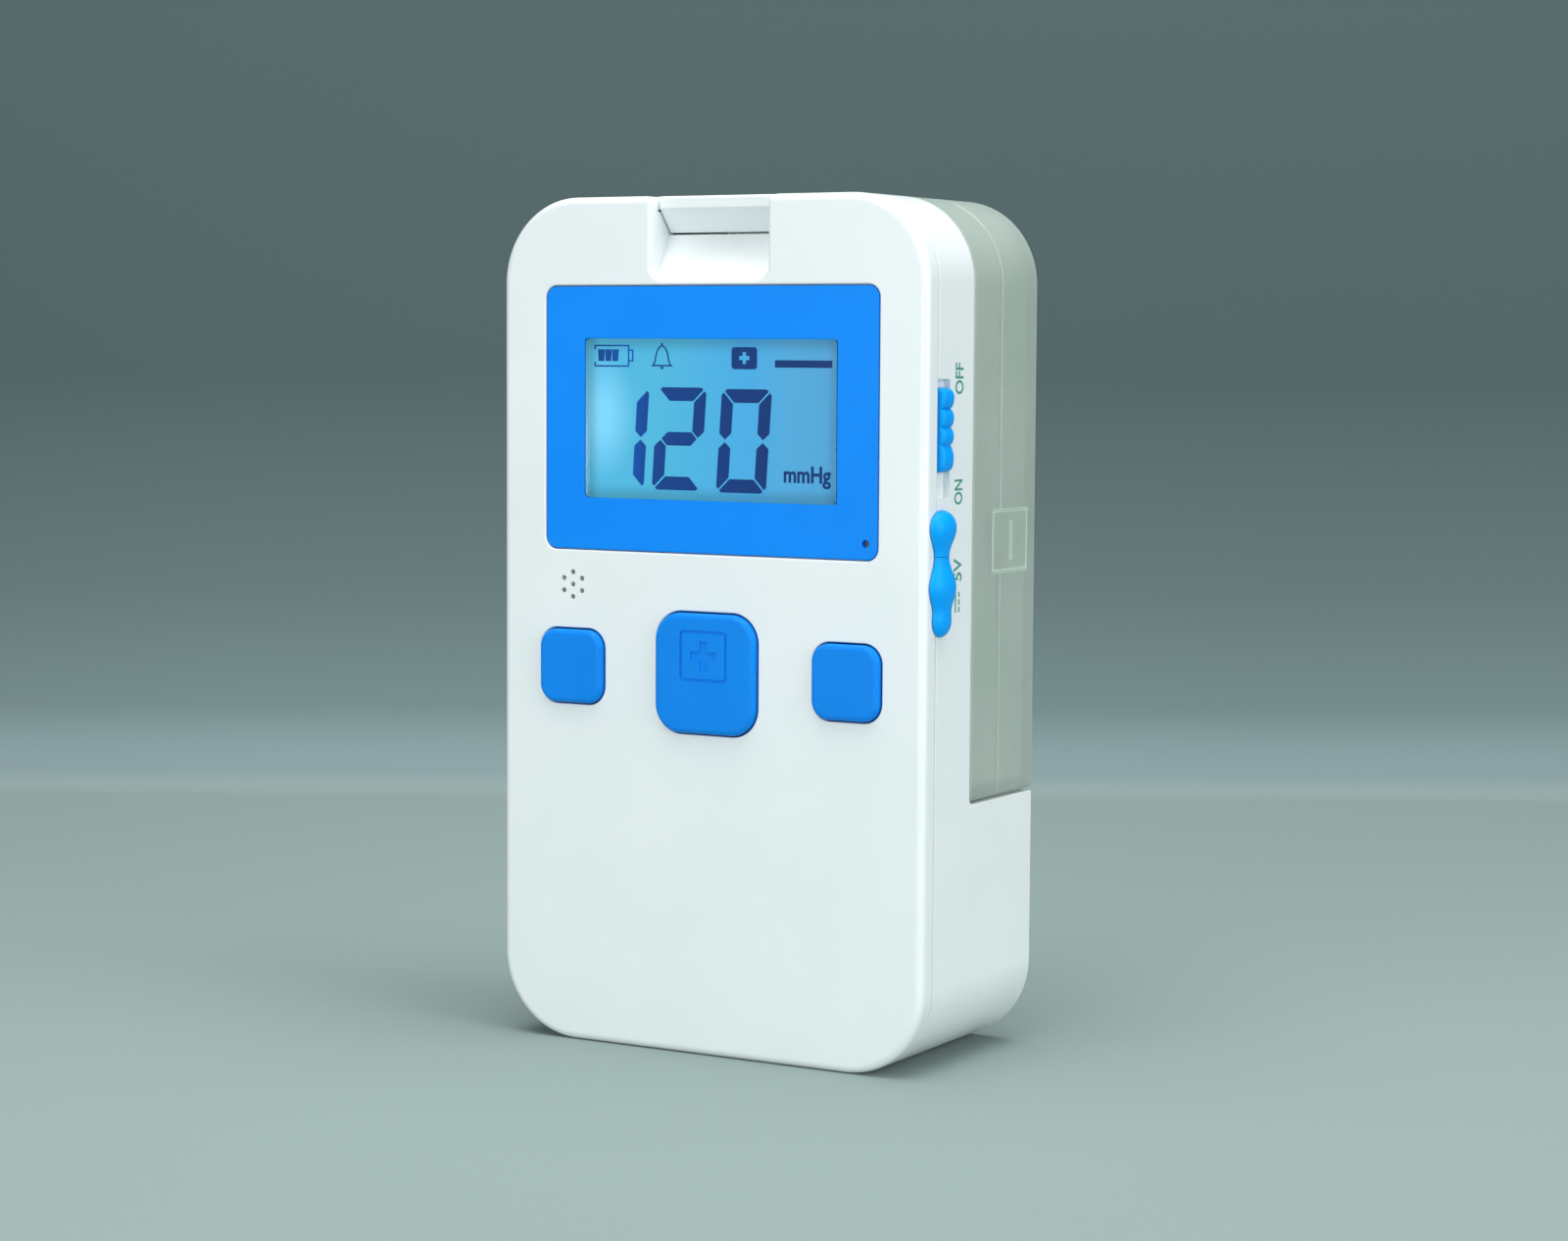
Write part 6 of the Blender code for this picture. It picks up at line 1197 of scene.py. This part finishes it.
# The rubber cover's sections: height over the port, width and how far it stands out
COVER_HEAD = (0.0088, 0.0068, 0.0019)
COVER_NECK = (0.0046, 0.0039, 0.0010)
COVER_LOBE = (0.0, 0.0070, 0.0019)
COVER_WAIST = (-0.0036, 0.0046, 0.0014)
COVER_TAIL = (-0.00475, 0.0049, 0.0014)
COVER_TOP = 0.0114
COVER_FOOT = -0.0072
COVER_ARC = 28
COVER_RINGS = 26
COVER_LIVING_GAP = 0.00003


def cover_skin(sections):
    """A rubber blob between half-oval sections (height, width, proud) on the side wall."""
    foot = SIDE + 0.00015
    rings = []
    for height, width, proud in sections:
        ring = []
        for step in range(COVER_ARC + 1):
            angle = math.pi * step / COVER_ARC
            ring.append(at(foot + proud * math.sin(angle), PORT_DEPTH - width / 2 * math.cos(angle),
                           PORT_HEIGHT + height))
        rings.append(ring)
    return loft(rings)


def cover_run(start, end):
    """Sections from one to another, eased at both ends."""
    run = []
    for step in range(COVER_RINGS):
        t = step / (COVER_RINGS - 1)
        ease = (1 - math.cos(math.pi * t)) / 2
        run.append((start[0] + (end[0] - start[0]) * t, start[1] + (end[1] - start[1]) * ease,
                    start[2] + (end[2] - start[2]) * ease))
    return run


def cover_end(start, end_height):
    """Sections that close a lobe towards its round end."""
    run = []
    for step in range(1, 16):
        angle = math.pi / 2 * step / 16
        run.append((start[0] + (end_height - start[0]) * math.sin(angle), start[1] * math.cos(angle),
                    start[2] * math.cos(angle)))
    return run


def make_port_cover(rubber):
    upper_neck = (COVER_NECK[0] + COVER_LIVING_GAP, *COVER_NECK[1:])
    lower_neck = (COVER_NECK[0] - COVER_LIVING_GAP, *COVER_NECK[1:])
    anchor = Piece("moulded_port_cover_anchor", cover_skin(
        cover_run(upper_neck, COVER_HEAD) + cover_end(COVER_HEAD, COVER_TOP)))
    anchor.join(rod((SIDE - WALL + CLEARANCE, PORT_DEPTH, STEM_HEIGHT), WALL - CLEARANCE + 0.0009,
                    STEM_RADIUS, X))
    anchor.finish(rubber, "case", ["port_cover_anchor"], sharp=50)
    flap = Piece("moulded_port_cover_flap", cover_skin(
        cover_end(COVER_TAIL, COVER_FOOT)[::-1] + cover_run(COVER_TAIL, COVER_WAIST)[:-1]
        + cover_run(COVER_WAIST, COVER_LOBE)[:-1] + cover_run(COVER_LOBE, lower_neck)))
    flap.join(rod((SIDE - 0.0016, PORT_DEPTH, PORT_HEIGHT), 0.0016 + 0.0009, 0.0015, X))
    flap.finish(rubber, "port_flap", ["port_cover_flap"], sharp=50)


def make_latch(white):
    plate_bottom = HEIGHT - LATCH_PLATE
    tail = LATCH_PIN[0] + LATCH_BARREL_RADIUS - CLEARANCE
    outline = rounded_outline([
        (NOSE_DEPTH, HEIGHT, NOSE_EDGE), (NOSE_DEPTH, HEIGHT - NOSE_HEIGHT, 0.00025),
        (SCOOP_DEPTH, LIP_HEIGHT, 0.0002), (SCOOP_DEPTH + LIP_FLAT, LIP_HEIGHT, 0.0),
        (SCOOP_DEPTH + LIP_FLAT, plate_bottom, 0.0), (tail, plate_bottom, 0.0), (tail, HEIGHT, 0.0002)], 8)
    latch = Piece("moulded_release_latch", prism(outline, X, -LATCH_HALF, LATCH_HALF))
    latch.join(rod((-LATCH_HALF, LATCH_PIN[0], LATCH_PIN[1]), 2 * LATCH_HALF, LATCH_BARREL_RADIUS, X))
    latch.join(block((-TONGUE_HALF, LATCH_PIN[0], LATCH_PIN[1] - TONGUE_THICKNESS),
                     (TONGUE_HALF, LATCH_HIGH.y - FRONT, LATCH_PIN[1])))
    latch.cut(rod((-LATCH_HALF - OVERRUN, LATCH_PIN[0], LATCH_PIN[1]), 2 * (LATCH_HALF + OVERRUN),
                  LATCH_BORE_RADIUS, X, 24))
    latch.finish(white, "latch", ["release_latch"])


def canister_slab(near, far, inset, near_edge=0.0, far_edge=0.0):
    """The canister's outline between two depths: wide round corners above, small ones at its foot."""
    levels = [(near + inward, edge) for inward, edge in rim(near_edge)]
    levels += [(far - inward, edge) for inward, edge in rim(far_edge)[::-1]]
    rings = []
    for depth, edge in levels:
        half = SIDE - inset - edge
        low = FRONT_SHELL_LOW.z + inset + edge
        high = HEIGHT - inset - edge
        outline = []
        for across, start in ((1, 0), (-1, 90)):
            radius = CORNER - inset - edge
            for step in range(CORNER_STEPS + 1):
                angle = math.radians(start + 90 * step / CORNER_STEPS)
                outline.append((across * (half - radius) + radius * math.cos(angle),
                                high - radius + radius * math.sin(angle)))
        for across, start in ((-1, 180), (1, 270)):
            for step in range(9):
                angle = math.radians(start + 90 * step / 8)
                outline.append((across * (half - CANISTER_FOOT) + CANISTER_FOOT * math.cos(angle),
                                low + CANISTER_FOOT + CANISTER_FOOT * math.sin(angle)))
        rings.append([at(x, depth, z) for x, z in outline])
    return loft(rings)


def clip_pocket(side, gap, reach, over):
    inner, outer = side * (CLIP_LOW.x - reach), side * (SIDE + over)
    xs = sorted((inner, outer))
    return block((xs[0], CLIP_LOW.y - FRONT - gap, CLIP_LOW.z - gap),
                 (xs[1], CLIP_HIGH.y - FRONT + gap, CLIP_HIGH.z + gap))


def make_canister(clear, white):
    near, split_near = FRONT_SHELL_LOW.y - FRONT, FRONT_SHELL_HIGH.y - FRONT
    split_far, far = REAR_SHELL_LOW.y - FRONT, REAR_SHELL_HIGH.y - FRONT
    front = Piece("moulded_canister_front_shell",
                  canister_slab(near, split_near, 0.0, 0.0002, CANISTER_SEAM_EDGE))
    front.cut(canister_slab(near + CANISTER_WALL, split_near + OVERRUN, CANISTER_WALL))
    seat = near + CANISTER_WALL
    front.join(rod((MANIFOLD[0], near + CANISTER_WALL / 2, MANIFOLD[1]),
                   CANISTER_WALL / 2 + FILTER_CUP_RISE, FILTER_RADIUS + CLEARANCE + FILTER_CUP_WALL, Y))
    front.cut(rod((MANIFOLD[0], seat, MANIFOLD[1]), 0.0040, FILTER_RADIUS + CLEARANCE, Y))
    front.cut(rod((MANIFOLD[0], near - OVERRUN, MANIFOLD[1]), CANISTER_WALL + 2 * OVERRUN,
                  PORT_SEAL_HOLE_RADIUS, Y))
    front.cut(tongue_slot(near - OVERRUN, near + CANISTER_WALL + OVERRUN))
    back = Piece("moulded_canister_rear_shell",
                 canister_slab(split_far, far, 0.0, CANISTER_SEAM_EDGE, CANISTER_EDGE))
    back.cut(canister_slab(split_far - OVERRUN, far - CANISTER_BACK_WALL, CANISTER_WALL))
    back.cut(rod((-SIDE - OVERRUN, CONNECTOR[0], CONNECTOR[1]), CANISTER_WALL + 2 * OVERRUN,
                 SPIGOT_HOLE_RADIUS, X))
    groove = CLIP_HIGH.y - FRONT - CLIP_GROOVE_DEPTH
    middle = (CLIP_LOW.z + CLIP_HIGH.z) / 2
    for side, label in ((-1, "left"), (1, "right")):
        for shell in (front, back):
            shell.cut(clip_pocket(side, SLIDE_GAP, SLIDE_GAP, OVERRUN))
        clip = Piece("moulded_canister_clip_" + label, clip_pocket(side, 0.0, 0.0, 0.0))
        xs = sorted((side * (SIDE - CLIP_GROOVE_CUT), side * (SIDE + OVERRUN)))
        low, high = groove - CLIP_GROOVE_HALF_WIDTH, groove + CLIP_GROOVE_HALF_WIDTH
        clip.cut(prism([(xs[0], low), (xs[1], low), (xs[1], high), (xs[0], high)], Z,
                       middle - CLIP_GROOVE_HALF_HEIGHT, middle + CLIP_GROOVE_HALF_HEIGHT))
        clip.finish(clear, "canister", ["canister_clip_" + label])
    front.finish(clear, "canister", ["canister_front_shell"])
    back.finish(clear, "canister", ["canister_rear_shell"])
    make_tube_connector(white)


def make_tube_connector(white):
    """A hollow spigot with a flange, two barbs and a softened mouth."""
    bore, stem, flange, tip, ridge = 0.0011, 0.0018, 0.0034, 0.0018, 0.0024
    start = -0.00015
    face = start - 0.0012
    end = CONNECTOR_LOW.x + SIDE
    half = (face + end) / 2
    profile = [(bore, 0.0020), (stem, 0.0020), (stem, start), (flange - 0.0002, start),
               (flange, start - 0.0002), (flange, face + 0.0003), (flange - 0.0003, face),
               (tip + 0.0003, face), (tip, face - 0.0003),
               (tip, half), (ridge, half), (ridge - 0.00005, half - 0.0003), (tip, half - 0.0021),
               (ridge, half - 0.0021), (ridge - 0.00005, half - 0.0024), (tip, end), (bore + 0.0002, end),
               (bore, end + 0.0002)]
    spigot = Piece("moulded_tube_connector", lathe(profile, (-SIDE, CONNECTOR[0], CONNECTOR[1])))
    spigot.finish(white, "canister", ["tube_connector"])


def make_case_screws(steel):
    """Four pan-head screws with crossed slots, laid out by geometry nodes at their places."""
    tree, sizes = geometry_tree("case_screw_set", {
        "Head Radius": 0.0017, "Head Height": SCREW_HEAD_HEIGHT, "Shaft Radius": 0.0009,
        "Shaft Length": 0.0088}, takes_points=True)
    given = tree.nodes.new("NodeGroupInput")
    head = tree.nodes.new("GeometryNodeMeshCylinder")
    head.inputs["Vertices"].default_value = 40
    shaft = tree.nodes.new("GeometryNodeMeshCylinder")
    shaft.inputs["Vertices"].default_value = 24
    drop = tree.nodes.new("GeometryNodeTransform")
    below = tree.nodes.new("ShaderNodeMath")
    below.operation = "ADD"
    halved = tree.nodes.new("ShaderNodeMath")
    halved.operation = "MULTIPLY"
    halved.inputs[1].default_value = -0.5
    lower = tree.nodes.new("ShaderNodeCombineXYZ")
    slots = []
    for size in ((0.0020, 0.0004, 0.0010), (0.0004, 0.0020, 0.0010)):
        cube = tree.nodes.new("GeometryNodeMeshCube")
        cube.inputs["Size"].default_value = size
        lift = tree.nodes.new("GeometryNodeTransform")
        lift.inputs["Translation"].default_value = (0.0, 0.0, 0.00055)
        tree.links.new(cube.outputs["Mesh"], lift.inputs["Geometry"])
        slots.append(lift)
    bite = tree.nodes.new("GeometryNodeMeshBoolean")
    bite.operation = "DIFFERENCE"
    whole = tree.nodes.new("GeometryNodeJoinGeometry")
    spread = tree.nodes.new("GeometryNodeInstanceOnPoints")
    join_nodes(tree, (
            (given.outputs["Head Radius"], head.inputs["Radius"]),
            (given.outputs["Head Height"], head.inputs["Depth"]),
            (given.outputs["Shaft Radius"], shaft.inputs["Radius"]),
            (given.outputs["Shaft Length"], shaft.inputs["Depth"]),
            (given.outputs["Head Height"], below.inputs[0]),
            (given.outputs["Shaft Length"], below.inputs[1]),
            (below.outputs[0], halved.inputs[0]),
            (halved.outputs[0], lower.inputs["Z"]),
            (lower.outputs["Vector"], drop.inputs["Translation"]),
            (shaft.outputs["Mesh"], drop.inputs["Geometry"]),
            (head.outputs["Mesh"], bite.inputs["Mesh 1"]),
            (slots[0].outputs["Geometry"], bite.inputs["Mesh 2"]),
            (slots[1].outputs["Geometry"], bite.inputs["Mesh 2"]),
            (bite.outputs["Mesh"], whole.inputs["Geometry"]),
            (drop.outputs["Geometry"], whole.inputs["Geometry"]),
            (given.outputs["Geometry"], spread.inputs["Points"]),
            (whole.outputs["Geometry"], spread.inputs["Instance"])), spread.outputs["Instances"], steel)
    turn = Matrix.Rotation(math.radians(-90), 4, "X")
    places = screw_places()
    points = [turn.inverted() @ at(x, head_end - SCREW_HEAD_HEIGHT / 2, z)
              for label, x, z, tip, head_end in places]
    shape = grown(tree, sizes, points)
    shape.transform(turn)
    Piece("plated_case_screws", shape).finish(
        steel, "case", ["case_screw_" + place[0] for place in places])


def make_side_markings(ink):
    """Plain switch words and a direct-current sign beside the port, printed on the side wall."""
    shapes = []
    far = 0.0115
    for words, low, high in (("OFF", 0.1007, 0.1053), ("ON", 0.0845, 0.0882), ("5V", 0.0732, 0.0766)):
        letters = lettering(words, 0.0003)
        fit_lettering(letters, (high - low, 0.0026), Matrix(((0, 0, 1, SIDE), (0, -1, 0, FRONT + far),
                                                             (1, 0, 0, low), (0, 0, 0, 1))), 0.00002)
        shapes.append(letters)
    for near, low, high in ((0.0094, 0.0686, 0.0716), (0.0105, 0.0686, 0.0694), (0.0105, 0.0697, 0.0705),
                            (0.0105, 0.0708, 0.0716)):
        shapes.append(block((SIDE, near, low), (SIDE + 0.00002, near + 0.0004, high)))
    Piece("printed_side_markings", gather(shapes)).finish(ink, "case", sharp=20)


# The photograph's view
VIEW_TURN = math.radians(29.947)
VIEW_RISE = math.radians(4.620)
VIEW_ROLL = math.radians(0.342)
VIEW_PLACE = (0.26133, -0.44862, 0.10713)
VIEW_LENS = 77.08
FLOOR_END = 0.300
SWEEP_RADIUS = 0.020
STAGE_HALF = 1.6


def make_camera():
    toward = Vector((math.sin(VIEW_TURN) * math.cos(VIEW_RISE),
                     -math.cos(VIEW_TURN) * math.cos(VIEW_RISE), math.sin(VIEW_RISE)))
    right = Vector((math.cos(VIEW_TURN), math.sin(VIEW_TURN), 0.0))
    up = toward.cross(right)
    cos_roll, sin_roll = math.cos(VIEW_ROLL), math.sin(VIEW_ROLL)
    rolled_right = cos_roll * right + sin_roll * up
    rolled_up = cos_roll * up - sin_roll * right
    camera = bpy.data.objects.new("photo_view", bpy.data.cameras.new("photo_view"))
    camera.data.lens = VIEW_LENS
    camera.data.sensor_width = 36.0
    camera.data.clip_start = 0.01
    camera.matrix_world = Matrix.Translation(VIEW_PLACE) @ Matrix(
        (rolled_right, rolled_up, toward)).transposed().to_4x4()
    bpy.context.scene.collection.objects.link(camera)
    bpy.context.scene.camera = camera


def make_stage():
    """A pale floor that sweeps up into a backdrop behind the object."""
    away = Vector((-math.sin(VIEW_TURN), math.cos(VIEW_TURN), 0.0))
    across = Vector((math.cos(VIEW_TURN), math.sin(VIEW_TURN), 0.0))
    profile = [(-1.6, 0.0), (-0.6, 0.0), (FLOOR_END - SWEEP_RADIUS, 0.0)]
    for step in range(1, 13):
        turn = math.pi / 2 * step / 12
        profile.append((FLOOR_END - SWEEP_RADIUS + SWEEP_RADIUS * math.sin(turn),
                        SWEEP_RADIUS * (1 - math.cos(turn))))
    profile += [(FLOOR_END, 0.2), (FLOOR_END, 1.4)]
    shape = bmesh.new()
    rows = [[shape.verts.new(away * s + across * side + Vector((0.0, 0.0, z - 0.00002)))
             for side in (-STAGE_HALF, STAGE_HALF)] for s, z in profile]
    for low, high in zip(rows, rows[1:]):
        shape.faces.new((low[0], low[1], high[1], high[0]))
    mesh = bpy.data.meshes.new("studio_sweep")
    shape.to_mesh(mesh)
    shape.free()
    mesh.shade_smooth()
    sweep = bpy.data.objects.new("studio_sweep", mesh)
    bpy.context.scene.collection.objects.link(sweep)
    # Seamless paper, pale grey-green; painted shade darkens it with height, from the floor to a darker grey
    # above.
    material, tree, shader, places = blank_material("seamless_paper_with_painted_falloff")
    parts = add_node(tree, "SeparateXYZ", None, {"Vector": places})
    height = add_node(tree, "MapRange", None, {"Value": parts.outputs["Z"], "From Min": 0.0, "From Max": 0.2})
    # Painted shade: the colour darkens with height, standing in for the light's falloff up the backdrop.
    paper_with_painted_falloff = shade_ramp(tree, height.outputs["Result"],
                       [(0.0, "#8C9D9A"), (0.02, "#7B8C8F"), (0.12, "#718384"), (0.24, "#627375"),
                        (0.50, "#4D5D5F")])
    tree.links.new(paper_with_painted_falloff, shader.inputs["Base Color"])
    fibre = add_node(tree, "TexNoise", None, {"Vector": places, "Scale": 900.0, "Detail": 3.0})
    raise_pattern(tree, shader, fibre.outputs["Fac"], 0.00002)
    set_shader(shader, Roughness=0.9, Specular_IOR_Level=0.1)
    mesh.materials.append(material)
    sweep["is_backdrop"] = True


def area_light(name, place, target, width, height, power, colour):
    light = bpy.data.lights.new(name, "AREA")
    light.shape = "RECTANGLE"
    light.size = width
    light.size_y = height
    light.energy = power
    light.color = linear(colour)[:3]
    lamp = bpy.data.objects.new(name, light)
    lamp.location = place
    lamp.rotation_euler = (Vector(place) - Vector(target)).to_track_quat("Z", "Y").to_euler()
    bpy.context.scene.collection.objects.link(lamp)
    return lamp


def make_lights():
    middle = (0.0, 0.0, HEIGHT / 2)
    area_light("overhead_softbox", (0.05, -0.05, 0.75), middle, 0.70, 0.70, 7.0, "#FFFFFF")
    area_light("front_softbox", (-0.10, -0.95, 0.35), middle, 0.80, 0.70, 4.0, "#FFFFFF")
    area_light("right_softbox", (0.95, -0.15, 0.30), middle, 0.70, 0.70, 5.9, "#FFFFFF")
    area_light("low_fill", (0.05, -0.60, 0.05), middle, 0.60, 0.06, 0.45, "#FFFFFF")
    world = bpy.data.worlds.new("soft_room")
    world.use_nodes = True
    sky = world.node_tree.nodes["Background"]
    sky.inputs["Color"].default_value = linear("#E0E8E7")
    sky.inputs["Strength"].default_value = 0.27
    bpy.context.scene.world = world


def make_pump():
    finishes = {
        "white_abs": make_white_abs(),
        "blue_abs": make_blue_abs(),
        "blue_silicone": make_blue_silicone(),
        "bright_blue_elastomer": make_bright_blue_elastomer(),
        "clear_polycarbonate": make_clear_polycarbonate(),
        "clear_acrylic": make_clear_acrylic(),
        "lcd_glass": make_lcd_glass(),
        # Milky acrylic light guide, moulded: white and softly see-through.
        "light_guide": moulded("milky_moulded_light_guide", [(0.3, "#E8EEF0"), (0.7, "#F2F6F8")],
                               0.4, 0.03, 0.001, 0.000002, Subsurface_Weight=0.3, Subsurface_Scale=0.002),
        "board_laminate": make_board_laminate(),
        # Glass-filled nylon, moulded: dull black with a fine speckle.
        "black_nylon": moulded("moulded_black_nylon", [(0.3, "#17181A"), (0.7, "#232528")],
                               0.5, 0.08, 0.0003, 0.000008, edge=0.0001),
        "steel": make_steel(),
        "copper_winding": make_copper_winding(),
        "brass": make_brass(),
        # Unfilled nylon, moulded: warm milky white.
        "natural_nylon": moulded("moulded_natural_nylon", [(0.3, "#DDD8C6"), (0.7, "#E8E4D4")],
                                 0.42, 0.05, 0.0004, 0.000004, Subsurface_Weight=0.2, Subsurface_Scale=0.001),
        # Nitrile rubber, moulded: soft matt black.
        "black_rubber": moulded("moulded_nitrile_rubber", [(0.3, "#131313"), (0.7, "#1E1E1F")],
                                0.7, 0.06, 0.0003, 0.00001),
        # Extruded silicone tube: cloudy white and satin.
        "milky_silicone": moulded("extruded_milky_silicone", [(0.3, "#D8DEDE"), (0.7, "#E6EBEA")],
                                  0.35, 0.04, 0.0005, 0.000003, Subsurface_Weight=0.4,
                                  Subsurface_Scale=0.0015),
        # Sintered porous plastic: chalk white with a 0.3 mm grain.
        "white_foam": moulded("sintered_porous_plastic", [(0.3, "#DCDEDA"), (0.7, "#F2F3F0")],
                              0.85, 0.05, 0.0003, 0.00006),
        "cell_wrap": make_cell_wrap(),
        # Extruded PVC insulation: glossy red.
        "red_insulation": moulded("extruded_red_pvc", [(0.3, "#A81D1A"), (0.7, "#BC2722")],
                                  0.35, 0.04, 0.0004, 0.000002),
    }
    dress_inner_nodes(finishes)
    make_front_cover(finishes["white_abs"])
    make_rear_housing(finishes["white_abs"])
    make_display(finishes["blue_abs"], finishes["clear_acrylic"], make_segment_ink())
    make_buttons(finishes["blue_silicone"])
    make_power_knob(finishes["bright_blue_elastomer"])
    make_port_cover(finishes["bright_blue_elastomer"])
    make_latch(finishes["white_abs"])
    make_canister(finishes["clear_polycarbonate"], finishes["white_abs"])
    make_case_screws(finishes["steel"])
    make_side_markings(make_marking_ink())


bpy.context.scene.view_settings.view_transform = "Standard"
make_camera()
make_stage()
make_lights()
make_pump()


def plain(value):
    """Boxes as plain lists of numbers."""
    return [plain(part) for part in value] if hasattr(value, "__len__") else float(value)


{"cad": plain(CAD_BOX), "visual": plain(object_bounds())}
